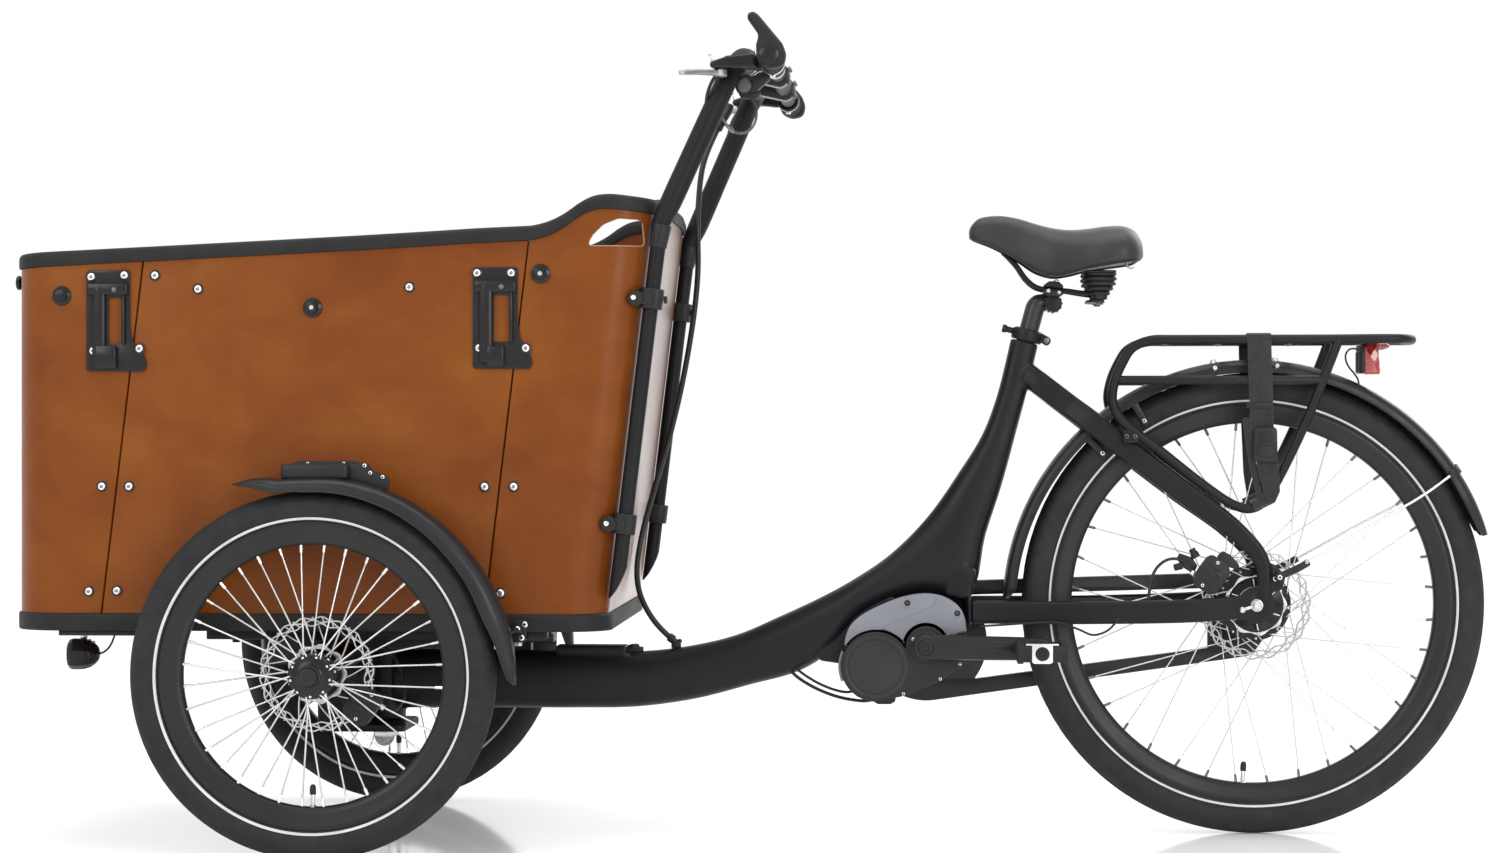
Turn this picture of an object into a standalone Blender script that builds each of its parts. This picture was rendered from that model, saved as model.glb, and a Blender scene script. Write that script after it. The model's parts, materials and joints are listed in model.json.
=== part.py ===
"""Three-wheeled electric cargo bike: a swept rear frame with mid motor and one rear wheel, and a
steered front carrier with two wheels, a plywood box and the push bar.

Metres, +Z up, ground at z = 0. The bike faces -X and its left side faces -Y. In the builders
below x is measured from the rear axle; REAR_AXLE_X moves everything to the middle of the bike.
"""

import math

import bmesh
import bpy
from mathutils import Vector

for old in list(bpy.data.objects):
    bpy.data.objects.remove(old, do_unlink=True)

# ------------------------------------------------------------------ driving dimensions
REAR_AXLE_X = 0.7008          # rear axle from the middle of the bike
WHEELBASE = 1.301             # front axle to rear axle
HALF_TRACK = 0.380            # middle plane of a front wheel from the middle of the bike
REAR_R = 0.3325               # rear tyre radius, 26 inch wheel
FRONT_R = 0.250               # front tyre radius, 20 inch wheel
REAR_RIM = (0.2600, 0.2855)   # inner and outer radius of the rear rim
FRONT_RIM = (0.1840, 0.2085)
REAR_HALF_W = 0.0240          # half the rear tyre's width
FRONT_HALF_W = 0.0230
KINGPIN_X = -1.262            # vertical steering pin
CRANK = (-0.471, 0.2725)      # crank axis, x and z
CRANK_LEN = 0.162
CHAINRING_R = 0.0768          # 38 teeth at 12.7 mm
SPROCKET_R = 0.0326           # 16 teeth at 12.7 mm
GUIDE = (-0.012, 0.2818)      # shoe that keeps the chain's lower run down, x and z
GUIDE_R = 0.0205
CHAIN_Y = 0.0507
SEAT_POINT = (-0.3215, 0.731)  # a point on the seat tube's axis
SEAT_SLOPE = 0.262            # seat tube's lean, x per z
POST_R = 0.0140
BOX_HALF_W = 0.310
BOX_FRONT_X = -1.7355
BOX_WALL = 0.012
BOX_BOTTOM = 0.330
BOX_FRONT_CORNER = 0.070
BOX_REAR_CORNER = 0.060
BOX_LEAN = 0.12               # x per z of the rear wall and of the panel seams
BAR_X, BAR_Z = -0.682, 1.088  # handlebar axis
GAP = 0.0004


def rear_wall(z):
    """x of the leaning rear wall's outer face at height z."""
    return -0.873 + BOX_LEAN * (z - 0.628)


# ------------------------------------------------------------------ materials
def material(name, colour, roughness, metallic=0.0):
    made = bpy.data.materials.new(name)
    made.use_nodes = True
    shader = made.node_tree.nodes["Principled BSDF"]
    shader.inputs["Base Color"].default_value = (*colour, 1.0)
    shader.inputs["Roughness"].default_value = roughness
    shader.inputs["Metallic"].default_value = metallic
    return made


FINISH = {
    "frame_black": ((0.030, 0.031, 0.034), 0.45, 0.0),
    "plastic_black": ((0.022, 0.022, 0.024), 0.50, 0.0),
    "tyre": ((0.020, 0.020, 0.021), 0.80, 0.0),
    "rim_black": ((0.025, 0.025, 0.027), 0.40, 0.3),
    "steel": ((0.62, 0.62, 0.62), 0.28, 1.0),
    "silver": ((0.48, 0.49, 0.52), 0.35, 0.7),
    "wood": ((0.42, 0.17, 0.045), 0.45, 0.0),
    "rubber": ((0.035, 0.036, 0.039), 0.65, 0.0),
    "saddle": ((0.040, 0.040, 0.043), 0.60, 0.0),
    "red_lens": ((0.55, 0.02, 0.02), 0.20, 0.0),
    "webbing": ((0.020, 0.020, 0.022), 0.85, 0.0),
}


# ------------------------------------------------------------------ mesh helpers
def solid(verts, faces):
    """A loose object from points and faces, with its normals made consistent."""
    mesh = bpy.data.meshes.new("part")
    mesh.from_pydata([tuple(v) for v in verts], [], faces)
    bm = bmesh.new()
    bm.from_mesh(mesh)
    bmesh.ops.recalc_face_normals(bm, faces=bm.faces)
    bm.to_mesh(mesh)
    bm.free()
    made = bpy.data.objects.new("part", mesh)
    bpy.context.scene.collection.objects.link(made)
    return made


def loft(rings, closed=False):
    """Skin between rings of equal length; the ends are capped unless the loop is closed."""
    n = len(rings[0])
    verts = [p for ring in rings for p in ring]
    faces = []
    last = len(rings) if closed else len(rings) - 1
    for i in range(last):
        a, b = i * n, ((i + 1) % len(rings)) * n
        for k in range(n):
            faces.append((a + k, a + (k + 1) % n, b + (k + 1) % n, b + k))
    if not closed:
        faces.append(tuple(range(n)))
        faces.append(tuple((len(rings) - 1) * n + k for k in range(n)))
    return solid(verts, faces)


def circle(radius, sides, phase=0.5):
    turn = 2 * math.pi / sides
    return [
        (radius * math.cos((k + phase) * turn), radius * math.sin((k + phase) * turn))
        for k in range(sides)
    ]


def smooth(points, per=3):
    """Points of a Catmull-Rom curve through the given points."""
    pts = [Vector(p) for p in points]
    pts = [2 * pts[0] - pts[1], *pts, 2 * pts[-1] - pts[-2]]
    out = []
    for i in range(1, len(pts) - 2):
        p0, p1, p2, p3 = pts[i - 1 : i + 3]
        for k in range(per):
            t = k / per
            out.append(
                0.5
                * (
                    2 * p1
                    + (p2 - p0) * t
                    + (2 * p0 - 5 * p1 + 4 * p2 - p3) * t * t
                    + (3 * p1 - p0 - 3 * p2 + p3) * t**3
                )
            )
    out.append(pts[-2])
    return out


def sweep(path, profile, side=(0, 1, 0), closed=False):
    """A profile of (across, up) pairs moved along a path; across starts along side. profile may
    be a function of the point's index."""
    path = [Vector(p) for p in path]
    n = len(path)
    side = Vector(side)
    rings = []
    for i, p in enumerate(path):
        if closed:
            t = path[(i + 1) % n] - path[i - 1]
        else:
            t = path[min(i + 1, n - 1)] - path[max(i - 1, 0)]
        t.normalize()
        side = (side - side.dot(t) * t).normalized()
        up = t.cross(side)
        shape = profile(i) if callable(profile) else profile
        rings.append([p + side * a + up * b for a, b in shape])
    return loft(rings, closed)


def tube(path, radius, sides=8, closed=False, side=(0, 1, 0)):
    return sweep(path, circle(radius, sides), side, closed)


def rod(a, b, radius, sides=8):
    a, b = Vector(a), Vector(b)
    d = (b - a).normalized()
    side = Vector((0, 1, 0)) if abs(d.y) < 0.9 else Vector((1, 0, 0))
    return sweep([a, b], circle(radius, sides), side)


def prism(outline, lo, hi, axis="Y"):
    """An outline extruded along an axis. Its points are (x, z) for Y, (x, y) for Z, (y, z) for X."""

    def at(p, h):
        return {"Y": (p[0], h, p[1]), "Z": (p[0], p[1], h), "X": (h, p[0], p[1])}[axis]

    n = len(outline)
    verts = [at(p, lo) for p in outline] + [at(p, hi) for p in outline]
    faces = [tuple(range(n)), tuple(range(n, 2 * n))]
    faces += [(k, (k + 1) % n, n + (k + 1) % n, n + k) for k in range(n)]
    return solid(verts, faces)


def block(x0, x1, y0, y1, z0, z1, bevel=0.0):
    made = prism([(x0, y0), (x1, y0), (x1, y1), (x0, y1)], z0, z1, "Z")
    if bevel:
        bm = bmesh.new()
        bm.from_mesh(made.data)
        bmesh.ops.bevel(
            bm, geom=list(bm.edges), offset=bevel, segments=1, affect="EDGES"
        )
        bm.to_mesh(made.data)
        bm.free()
    return made


def turned(profile, centre, steps, closed=True):
    """A profile of (radius, y) pairs turned about a Y axis through centre. Closed profiles make a
    ring; open ones start and end on the axis."""
    cx, cy, cz = centre
    verts, faces = [], []
    if closed:
        n = len(profile)
        for s in range(steps):
            a = 2 * math.pi * s / steps - math.pi / 2
            for r, y in profile:
                verts.append((cx + r * math.cos(a), cy + y, cz + r * math.sin(a)))
        for s in range(steps):
            t = (s + 1) % steps
            for k in range(n):
                j = (k + 1) % n
                faces.append((s * n + k, s * n + j, t * n + j, t * n + k))
        return solid(verts, faces)
    inner = profile[1:-1]
    n = len(inner)
    for s in range(steps):
        a = 2 * math.pi * s / steps - math.pi / 2
        for r, y in inner:
            verts.append((cx + r * math.cos(a), cy + y, cz + r * math.sin(a)))
    first, last = len(verts), len(verts) + 1
    verts += [(cx, cy + profile[0][1], cz), (cx, cy + profile[-1][1], cz)]
    for s in range(steps):
        t = (s + 1) % steps
        for k in range(n - 1):
            faces.append((s * n + k, s * n + k + 1, t * n + k + 1, t * n + k))
        faces.append((first, s * n, t * n))
        faces.append((last, t * n + n - 1, s * n + n - 1))
    return solid(verts, faces)


def joined(*objects):
    """Several loose shapes as one object that holds separate bodies, to be used as one cutter."""
    bm = bmesh.new()
    for o in objects:
        bm.from_mesh(o.data)
    mesh = bpy.data.meshes.new("part")
    bm.to_mesh(mesh)
    bm.free()
    for o in objects:
        bpy.data.objects.remove(o, do_unlink=True)
    made = bpy.data.objects.new("part", mesh)
    bpy.context.scene.collection.objects.link(made)
    return made


def boolean(body, other, operation):
    step = body.modifiers.new(operation.lower(), "BOOLEAN")
    step.operation = operation
    step.solver = "EXACT"
    step.object = other
    graph = bpy.context.evaluated_depsgraph_get()
    graph.update()
    result = bpy.data.meshes.new_from_object(body.evaluated_get(graph))
    body.modifiers.clear()
    body.data = result
    bpy.data.objects.remove(other, do_unlink=True)
    return body


def union(body, *others):
    for other in others:
        boolean(body, other, "UNION")
    return body


def cut(body, *others):
    for other in others:
        boolean(body, other, "DIFFERENCE")
    return body


def mirrored(made):
    """A copy on the other side of the bike's middle plane."""
    mesh = made.data.copy()
    for v in mesh.vertices:
        v.co.y = -v.co.y
    mesh.flip_normals()
    copy = bpy.data.objects.new("part", mesh)
    bpy.context.scene.collection.objects.link(copy)
    return copy


# ------------------------------------------------------------------ bodies and naming
bodies = {}
finishes = {}


def body(name, pivot=(0, 0, 0), parent=None):
    """An empty on the joint's axis that carries the pieces of one moving body."""
    empty = bpy.data.objects.new("body_" + name, None)
    empty.empty_display_size = 0.05
    bpy.context.scene.collection.objects.link(empty)
    world = Vector(pivot) + Vector((REAR_AXLE_X, 0, 0))
    if parent:
        empty.parent = bodies[parent][0]
        empty.location = world - bodies[parent][1]
    else:
        empty.location = world
    bodies[name] = (empty, world)


def node(made, name, carrier, finish, angle=35):
    """Names a piece, puts its origin on its body's axis and gives it a material."""
    empty, pivot = bodies[carrier]
    made.name = name
    made.data.name = name
    shift = Vector((REAR_AXLE_X, 0, 0)) - pivot
    for v in made.data.vertices:
        v.co += shift
    made.parent = empty
    if finish not in finishes:
        finishes[finish] = material(finish, *FINISH[finish])
    made.data.materials.clear()
    made.data.materials.append(finishes[finish])
    made.data.shade_smooth()
    made.data.set_sharp_from_angle(angle=math.radians(angle))
    return made


FX = -WHEELBASE
body("rear_frame", (0, 0, 0))
body("seat", (SEAT_POINT[0], 0, SEAT_POINT[1]), "rear_frame")
body("cranks", (CRANK[0], 0, CRANK[1]), "rear_frame")
PEDAL_L = (CRANK[0] + CRANK_LEN, CRANK[1] - 0.0020)
PEDAL_R = (CRANK[0] - CRANK_LEN, CRANK[1] + 0.0020)
body("left_pedal", (PEDAL_L[0], -0.115, PEDAL_L[1]), "cranks")
body("right_pedal", (PEDAL_R[0], 0.115, PEDAL_R[1]), "cranks")
body("rear_sprocket", (0, 0, REAR_R), "rear_frame")
body("rear_wheel", (0, 0, REAR_R), "rear_frame")
body("front_carrier", (KINGPIN_X, 0, 0.25), "rear_frame")
body("left_front_wheel", (FX, -HALF_TRACK, FRONT_R), "front_carrier")
body("right_front_wheel", (FX, HALF_TRACK, FRONT_R), "front_carrier")
LEVER_PIN = (-0.752, 0.281, 1.0740)
body("left_lever", (LEVER_PIN[0], -LEVER_PIN[1], LEVER_PIN[2]), "front_carrier")
body("right_lever", (LEVER_PIN[0], LEVER_PIN[1], LEVER_PIN[2]), "front_carrier")


# ------------------------------------------------------------------ main frame
def main_frame():
    """Swept main tube and seat tube as one lofted body, with the steering tube at its front, the
    motor bracket, the seat stay stub and the bore for the seat post."""
    upper = [
        (-1.245, 0.262), (-1.100, 0.262), (-0.980, 0.260), (-0.900, 0.259),
        (-0.820, 0.267), (-0.747, 0.284), (-0.684, 0.311), (-0.620, 0.341),
        (-0.575, 0.366), (-0.524, 0.401), (-0.470, 0.455), (-0.422, 0.523),
        (-0.390, 0.575), (-0.3695, 0.628), (-0.356, 0.680), (-0.348, 0.7155),
    ]
    lower = [
        (-1.245, 0.176), (-1.100, 0.177), (-0.980, 0.177), (-0.890, 0.179),
        (-0.805, 0.191), (-0.725, 0.212), (-0.652, 0.233), (-0.600, 0.268),
        (-0.563, 0.3105), (-0.490, 0.3405), (-0.408, 0.3440), (-0.3845, 0.430),
        (-0.362, 0.500), (-0.3415, 0.575), (-0.323, 0.645), (-0.3085, 0.706),
    ]
    half = [
        0.034, 0.034, 0.034, 0.034, 0.034, 0.034, 0.034, 0.034,
        0.034, 0.033, 0.031, 0.028, 0.025, 0.022, 0.0205, 0.0200,
    ]
    rings = []
    for (xa, za), (xb, zb), w in zip(upper, lower, half, strict=True):
        mid = Vector(((xa + xb) / 2, 0, (za + zb) / 2))
        rise = Vector(((xa - xb) / 2, 0, (za - zb) / 2))
        ring = []
        for k in range(12):
            a = 2 * math.pi * (k + 0.5) / 12
            c, s = math.cos(a), math.sin(a)
            c = math.copysign(abs(c) ** 0.75, c)
            s = math.copysign(abs(s) ** 0.75, s)
            ring.append(mid + rise * (s * 1.02) + Vector((0, w * c * 1.02, 0)))
        rings.append(ring)
    frame = loft(rings)
    steer = turned_z([(0.0300, 0.1590), (0.0300, 0.2855)], (KINGPIN_X, 0), 16)
    bracket = prism(
        [(-0.4400, 0.3440), (-0.4200, 0.3900), (-0.4000, 0.3800), (-0.4005, 0.3690), (-0.4045, 0.3450), (-0.4045, 0.3000), (-0.4110, 0.3000), (-0.4110, 0.3360)],
        -0.0305, 0.0305,
    )
    lugs = block(-0.4110, -0.4045, -0.0465, 0.0438, 0.3030, 0.3440)
    wide = (0.0100, 0.0215, 0.0270, 0.0280)
    stub = sweep(
        [(-0.3430, 0, 0.6778), (-0.3250, 0, 0.6640), (-0.3080, 0, 0.6510), (-0.2855, 0, 0.6337)],
        lambda i: [(-wide[i], -0.0165), (wide[i], -0.0165), (wide[i], 0.0165), (-wide[i], 0.0165)],
    )
    plate = block(-1.010, -0.905, -0.022, 0.022, 0.250, 0.2690)
    union(frame, steer, bracket, lugs, stub, plate)
    sx, sz = SEAT_POINT
    lean = SEAT_SLOPE
    bore = rod((sx - lean * 0.231, 0, 0.500), (sx + lean * 0.05, 0, sz + 0.05), 0.0148, 16)
    pin_bore = turned_z([(0.0127, 0.10), (0.0127, 0.32)], (KINGPIN_X, 0), 16)
    cut(frame, bore, pin_bore)
    return frame


def turned_z(profile, centre, sides):
    """A stack of discs of (radius, z) about a vertical axis."""
    rings = [
        [(centre[0] + x, centre[1] + y, z) for x, y in circle(r, sides)]
        for r, z in profile
    ]
    return loft([[Vector(p) for p in ring] for ring in rings])


node(main_frame(), "main_frame", "rear_frame", "frame_black", 40)


def stay(sign, thick_front, top):
    """Chain stay, seat stay and drop-out plate of one side."""
    f = thick_front
    lower = sweep(
        [
            (-0.4040, -0.0335 - f, 0.320), (-0.370, -0.0335 - f, 0.320),
            (-0.260, -0.0480, 0.320), (-0.120, -0.0665, 0.323),
            (-0.078, -0.0688, 0.325), (-0.004, -0.0688, 0.331),
        ],
        lambda i: [
            (-(f if i < 2 else 0.0065), -0.0150), ((f if i < 2 else 0.0065), -0.0150),
            ((f if i < 2 else 0.0065), top), (-(f if i < 2 else 0.0065), top),
        ],
    )
    upper = sweep(
        [
            (-0.2851, -0.0215, 0.63339), (-0.2650, -0.0215, 0.6179), (-0.236, -0.0400, 0.5960), (-0.170, -0.0500, 0.5450),
            (-0.100, -0.0580, 0.4920), (-0.026, -0.0670, 0.4350), (0.008, -0.0688, 0.3950),
            (0.010, -0.0688, 0.340),
        ],
        lambda i: [
            (-0.0072, -0.0165 + 0.003 * max(0, i - 4)), (0.0072, -0.0165 + 0.003 * max(0, i - 4)),
            (0.0072, 0.0165 - 0.002 * max(0, i - 4)), (-0.0072, 0.0165 - 0.002 * max(0, i - 4)),
        ],
    )
    plate = prism(
        [(0.0 + 0.027 * math.cos(a), REAR_R + 0.027 * math.sin(a)) for a in [k * math.pi / 8 for k in range(16)]],
        -0.0735, -0.0635,
    )
    ear = prism([(0.005, 0.350), (0.036, 0.356), (0.040, 0.374), (0.022, 0.392), (0.002, 0.385)], -0.0720, -0.0650)
    union(lower, upper, plate, ear)
    cut(lower, rod((0, -0.09, REAR_R), (0, -0.05, REAR_R), 0.0070, 10))
    return lower if sign < 0 else mirrored_free(lower)


def mirrored_free(made):
    copy = mirrored(made)
    bpy.data.objects.remove(made, do_unlink=True)
    return copy


node(stay(-1, 0.0065, 0.0150), "left_stays", "rear_frame", "frame_black")
node(stay(1, 0.0045, 0.0185), "right_stays", "rear_frame", "frame_black")


# ------------------------------------------------------------------ seat
def along_seat(z, off=0.0):
    """Point on the seat tube's axis at height z, moved off to the rear by off."""
    lean = SEAT_SLOPE
    s = 1 / math.sqrt(1 + lean * lean)
    return Vector((SEAT_POINT[0] + lean * (z - SEAT_POINT[1]) + off * s, 0, z - off * lean * s))


def seat_clamp():
    ring = sweep([along_seat(0.7114), along_seat(0.7275)], circle(0.0225, 16))
    front = rod(along_seat(0.7215, -0.018), along_seat(0.7215, -0.0375), 0.0045, 8)
    back = prism(
        [(p.x, p.z) for p in (along_seat(0.7170, 0.015), along_seat(0.7130, 0.031), along_seat(0.7150, 0.0345), along_seat(0.7230, 0.0345), along_seat(0.7250, 0.031), along_seat(0.7290, 0.015))],
        -0.009, 0.009,
    )
    union(ring, front, back)
    cut(ring, sweep([along_seat(0.700), along_seat(0.760)], circle(0.0148, 16)))
    cut(ring, rod(along_seat(0.7192, 0.0285) + Vector((0, -0.02, 0)), along_seat(0.7192, 0.0285) + Vector((0, 0.02, 0)), 0.0026, 6))
    cut(ring, prism(
        [(p.x, p.z) for p in (along_seat(0.7100, 0.0135), along_seat(0.7100, 0.040), along_seat(0.7450, 0.040), along_seat(0.7450, 0.0135))],
        -0.0012, 0.0012,
    ))
    return ring


node(seat_clamp(), "seat_clamp", "rear_frame", "frame_black")


def seat_post():
    post = sweep(
        [along_seat(0.515), along_seat(0.742), along_seat(0.7540), along_seat(0.7635, 0.006), along_seat(0.7700, 0.022)],
        lambda i: circle((0.0140, 0.0140, 0.0144, 0.0142, 0.0110)[i], 16),
    )
    head = rod((-0.2870, -0.020, 0.7655), (-0.2870, 0.020, 0.7655), 0.0125, 12)
    return union(post, head)


node(seat_post(), "seat_post", "seat", "frame_black")


def saddle_clamp():
    clamp = prism(
        [(-0.3015, 0.7790), (-0.3015, 0.7920), (-0.2935, 0.7975), (-0.2800, 0.7975), (-0.2725, 0.7920), (-0.2725, 0.7790)],
        -0.0290, 0.0290,
    )
    cut(clamp, *[
        rod((-0.330, y, 0.7888), (-0.245, y, 0.7817), 0.0052, 8) for y in (-0.0215, 0.0215)
    ])
    return clamp


node(saddle_clamp(), "saddle_clamp", "seat", "plastic_black")


def saddle_rails():
    """Two rails that meet at the nose, with the rear bridge that the bellows stand on."""
    base = [
        (-0.3590, 0, 0.8390), (-0.3530, -0.0080, 0.8340), (-0.3400, -0.0160, 0.8200), (-0.3270, -0.0205, 0.8015), (-0.3160, -0.0215, 0.7915),
        (-0.3050, -0.0215, 0.7868), (-0.2680, -0.0215, 0.7837), (-0.2520, -0.0250, 0.7800), (-0.2440, -0.0290, 0.7750), (-0.2370, -0.0310, 0.7689),
    ]
    right = [(x, -y, z) for x, y, z in base]
    path = list(reversed(right)) + base[1:]
    rails = tube(path, 0.0034, 6, side=(0, 0, 1))
    bridge = prism(
        [(-0.2400, -0.0300), (-0.2330, -0.0480), (-0.2150, -0.0480), (-0.2150, 0.0480), (-0.2330, 0.0480), (-0.2400, 0.0300)],
        0.7660, 0.7700, "Z",
    )
    return union(rails, bridge)


node(saddle_rails(), "saddle_rails", "seat", "frame_black")


def saddle_springs():
    """The pair of rubber bellows and the plate that joins them under the saddle's shell."""
    plate = block(-0.2440, -0.1980, -0.0640, 0.0640, 0.8080, 0.8120)
    cones = []
    for y in (-0.040, 0.040):
        cones.append(turned_z(
            [(0.0105, 0.7712), (0.0130, 0.7790), (0.0185, 0.7835), (0.0175, 0.7900), (0.0228, 0.7950), (0.0235, 0.8100)],
            (-0.2215, y), 10,
        ))
    return union(plate, *cones)


node(saddle_springs(), "saddle_springs", "seat", "plastic_black")


def saddle():
    sections = [
        (-0.4080, 0.8725, 0.8640, 0.010), (-0.4040, 0.8800, 0.8600, 0.017), (-0.3950, 0.8890, 0.8565, 0.0215),
        (-0.3800, 0.8925, 0.8510, 0.025), (-0.3600, 0.8930, 0.8415, 0.028), (-0.3350, 0.8885, 0.8270, 0.033),
        (-0.3130, 0.8815, 0.8130, 0.042), (-0.2880, 0.8750, 0.8060, 0.054), (-0.2640, 0.8722, 0.8090, 0.069),
        (-0.2380, 0.8735, 0.8135, 0.083), (-0.2110, 0.8770, 0.8175, 0.090), (-0.1850, 0.8765, 0.8205, 0.088),
        (-0.1680, 0.8650, 0.8235, 0.074), (-0.1600, 0.8480, 0.8280, 0.052),
    ]
    rings = []
    for x, top, low, w in sections:
        h = top - low
        rings.append([Vector((x, a * w, low + b * h)) for a, b in (
            (0.0, 0.10), (0.62, 0.06), (0.98, 0.0), (1.0, 0.22), (0.93, 0.62), (0.70, 0.90), (0.36, 0.985),
            (0.0, 1.0), (-0.36, 0.985), (-0.70, 0.90), (-0.93, 0.62), (-1.0, 0.22), (-0.98, 0.0), (-0.62, 0.06),
        )])
    return loft(rings)


node(saddle(), "saddle", "seat", "saddle", 60)


# ------------------------------------------------------------------ motor, cranks and chain
def outline_offset(points, d):
    """A polygon with its corners moved outward by d (inward where d is negative)."""
    n = len(points)
    area = sum(points[k][0] * points[(k + 1) % n][1] - points[(k + 1) % n][0] * points[k][1] for k in range(n))
    s = 1 if area > 0 else -1
    out = []
    for k in range(n):
        p, q, r = Vector(points[k - 1]), Vector(points[k]), Vector(points[(k + 1) % n])
        a, b = (q - p).normalized(), (r - q).normalized()
        na, nb = Vector((a.y, -a.x)) * s, Vector((b.y, -b.x)) * s
        m = (na + nb).normalized()
        out.append(tuple(q + m * (d / max(0.4, m.dot(na)))))
    return out


def arc(cx, cz, r, start, end, steps):
    return [
        (cx + r * math.cos(math.radians(start + (end - start) * k / steps)),
         cz + r * math.sin(math.radians(start + (end - start) * k / steps)))
        for k in range(steps + 1)
    ]


MOTOR_TOP = [
    (-0.5895, 0.268), (-0.5885, 0.288), (-0.5760, 0.300), (-0.5600, 0.3085), (-0.5200, 0.3300), (-0.4830, 0.3430),
    (-0.4560, 0.3425), (-0.4340, 0.3310), (-0.4190, 0.3120), (-0.4120, 0.2930),
]
ROUND = (-0.543, 0.243)


def motor_housing():
    low = [(-0.4130, 0.262), (-0.4190, 0.243), (-0.4530, 0.222), (-0.5060, 0.200)] + arc(*ROUND, 0.0490, 250, 175, 4)
    shell = prism(
        [(-0.5890, 0.2580), (-0.5800, 0.2750), (-0.5600, 0.2960), (-0.5200, 0.3170), (-0.4830, 0.3300), (-0.4560, 0.3320),
         (-0.4340, 0.3250), (-0.4190, 0.3090), (-0.4120, 0.2930)] + low,
        -0.0400, 0.0400,
    )
    flange = prism(MOTOR_TOP + low, -0.0560, -0.0362)
    cap = prism(
        arc(*ROUND, 0.0500, 34, 268, 14) + [(-0.5060, 0.2005), (-0.4530, 0.2225), (-0.4200, 0.2440), (-0.4220, 0.2600)]
        + arc(CRANK[0], CRANK[1], 0.0290, 0, 187, 8),
        -0.0770, -0.0540,
    )
    union(shell, flange, cap)
    cut(shell, rod((CRANK[0], -0.09, CRANK[1]), (CRANK[0], 0.06, CRANK[1]), 0.0125, 14))
    return shell


node(motor_housing(), "motor_housing", "rear_frame", "plastic_black")


def motor_side_cover():
    """Silver cover over the upper half of the motor's left side."""
    cover = prism(
        MOTOR_TOP + [(-0.4400, 0.2860)] + arc(CRANK[0], CRANK[1], 0.0305, 18, 176, 7)
        + arc(*ROUND, 0.0515, 41, 160, 8),
        -0.0690, -0.0565,
    )
    return cover


node(motor_side_cover(), "motor_side_cover", "rear_frame", "silver")


def crank(sign):
    """One crank arm; the left one is forged with the spindle."""
    y0, y1 = -0.0985, -0.0840
    px, pz = PEDAL_L
    cx, cz = CRANK
    d = Vector((px - cx, pz - cz)).normalized()
    n = Vector((-d.y, d.x))
    pts = []
    for a in range(90, 271, 30):
        pts.append(Vector((cx, cz)) + 0.0180 * (d * math.cos(math.radians(a)) + n * math.sin(math.radians(a))))
    for a in range(-90, 91, 30):
        pts.append(Vector((px, pz)) + 0.0165 * (d * math.cos(math.radians(a)) + n * math.sin(math.radians(a))))
    arm = prism([(p.x, p.y) for p in pts], y0, y1)
    if sign < 0:
        union(arm, rod((cx, -0.095, cz), (cx, 0.0836, cz), 0.0115, 14))
        hub = rod((cx, -0.0845, cz), (cx, -0.0795, cz), 0.0175, 14)
        union(arm, hub)
    else:
        for v in arm.data.vertices:
            v.co.x = 2 * cx - v.co.x
            v.co.z = 2 * cz - v.co.z
            v.co.y = -v.co.y
        arm.data.flip_normals()
        union(arm, rod((cx, 0.0852, cz), (cx, 0.0990, cz), 0.0180, 14))
    return arm


node(crank(-1), "left_crank", "cranks", "plastic_black")
node(crank(1), "right_crank", "cranks", "plastic_black")


def chainring():
    """Ring with five arms to its centre, at the root circle of its teeth."""
    ring = prism(arc(*CRANK, CHAINRING_R - 0.0056, 0, 345, 23), CHAIN_Y - 0.0018, CHAIN_Y + 0.0018)
    holes = []
    for k in range(5):
        mid = 360 * k / 5
        holes.append(prism(
            arc(*CRANK, 0.056, mid - 26, mid + 26, 3) + arc(*CRANK, 0.026, mid + 18, mid - 18, 1),
            0.03, 0.07,
        ))
    cut(ring, joined(*holes))
    cut(ring, rod((CRANK[0], 0.03, CRANK[1]), (CRANK[0], 0.07, CRANK[1]), 0.0124, 14))
    return ring


node(chainring(), "chainring", "cranks", "plastic_black")


def around(off, lo, hi):
    """Outline off the chain's centre line, round the chainring, the sprocket and the guide shoe."""
    points = []
    for (cx, cz), r, steps in ((CRANK, CHAINRING_R, 36), ((0.0, REAR_R), SPROCKET_R, 28), (GUIDE, GUIDE_R, 24)):
        points += arc(cx, cz, r + off, 0, 360 * (steps - 1) / steps, steps - 1)
    points = sorted(points)

    def chainwise(row):
        out = []
        for p in row:
            while len(out) > 1 and (out[-1][0] - out[-2][0]) * (p[1] - out[-2][1]) - (out[-1][1] - out[-2][1]) * (p[0] - out[-2][0]) <= 1e-9:
                out.pop()
            out.append(p)
        return out[:-1]

    return prism(chainwise(points) + chainwise(points[::-1]), lo, hi)


def chain():
    return cut(around(0.0048, CHAIN_Y - 0.0030, CHAIN_Y + 0.0030), around(-0.0048, 0.03, 0.07))


node(chain(), "chain", "rear_frame", "steel")


def chain_case():
    """Full case: a tray open towards the frame, with a window between its two runs and a shoe that
    guides the chain's lower run."""
    case = around(0.0105, 0.0445, 0.0600)
    cut(case, around(0.0078, 0.0400, 0.0570))
    cx, cz = CRANK
    hole = arc(cx, cz, 0.0893, 50, -38, 6) + [(-0.0600, 0.2640), (-0.0600, 0.3515)]
    union(case, prism(outline_offset(hole, 0.0026), 0.0450, 0.0585))
    cut(case, prism(hole, 0.030, 0.080))
    union(case, rod((GUIDE[0], 0.0482, GUIDE[1]), (GUIDE[0], 0.0585, GUIDE[1]), GUIDE_R - 0.0056, 12))
    cut(case, rod((cx, 0.03, cz), (cx, 0.08, cz), 0.0180, 12), rod((0, 0.055, REAR_R), (0, 0.08, REAR_R), 0.0120, 10))
    return case


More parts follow.
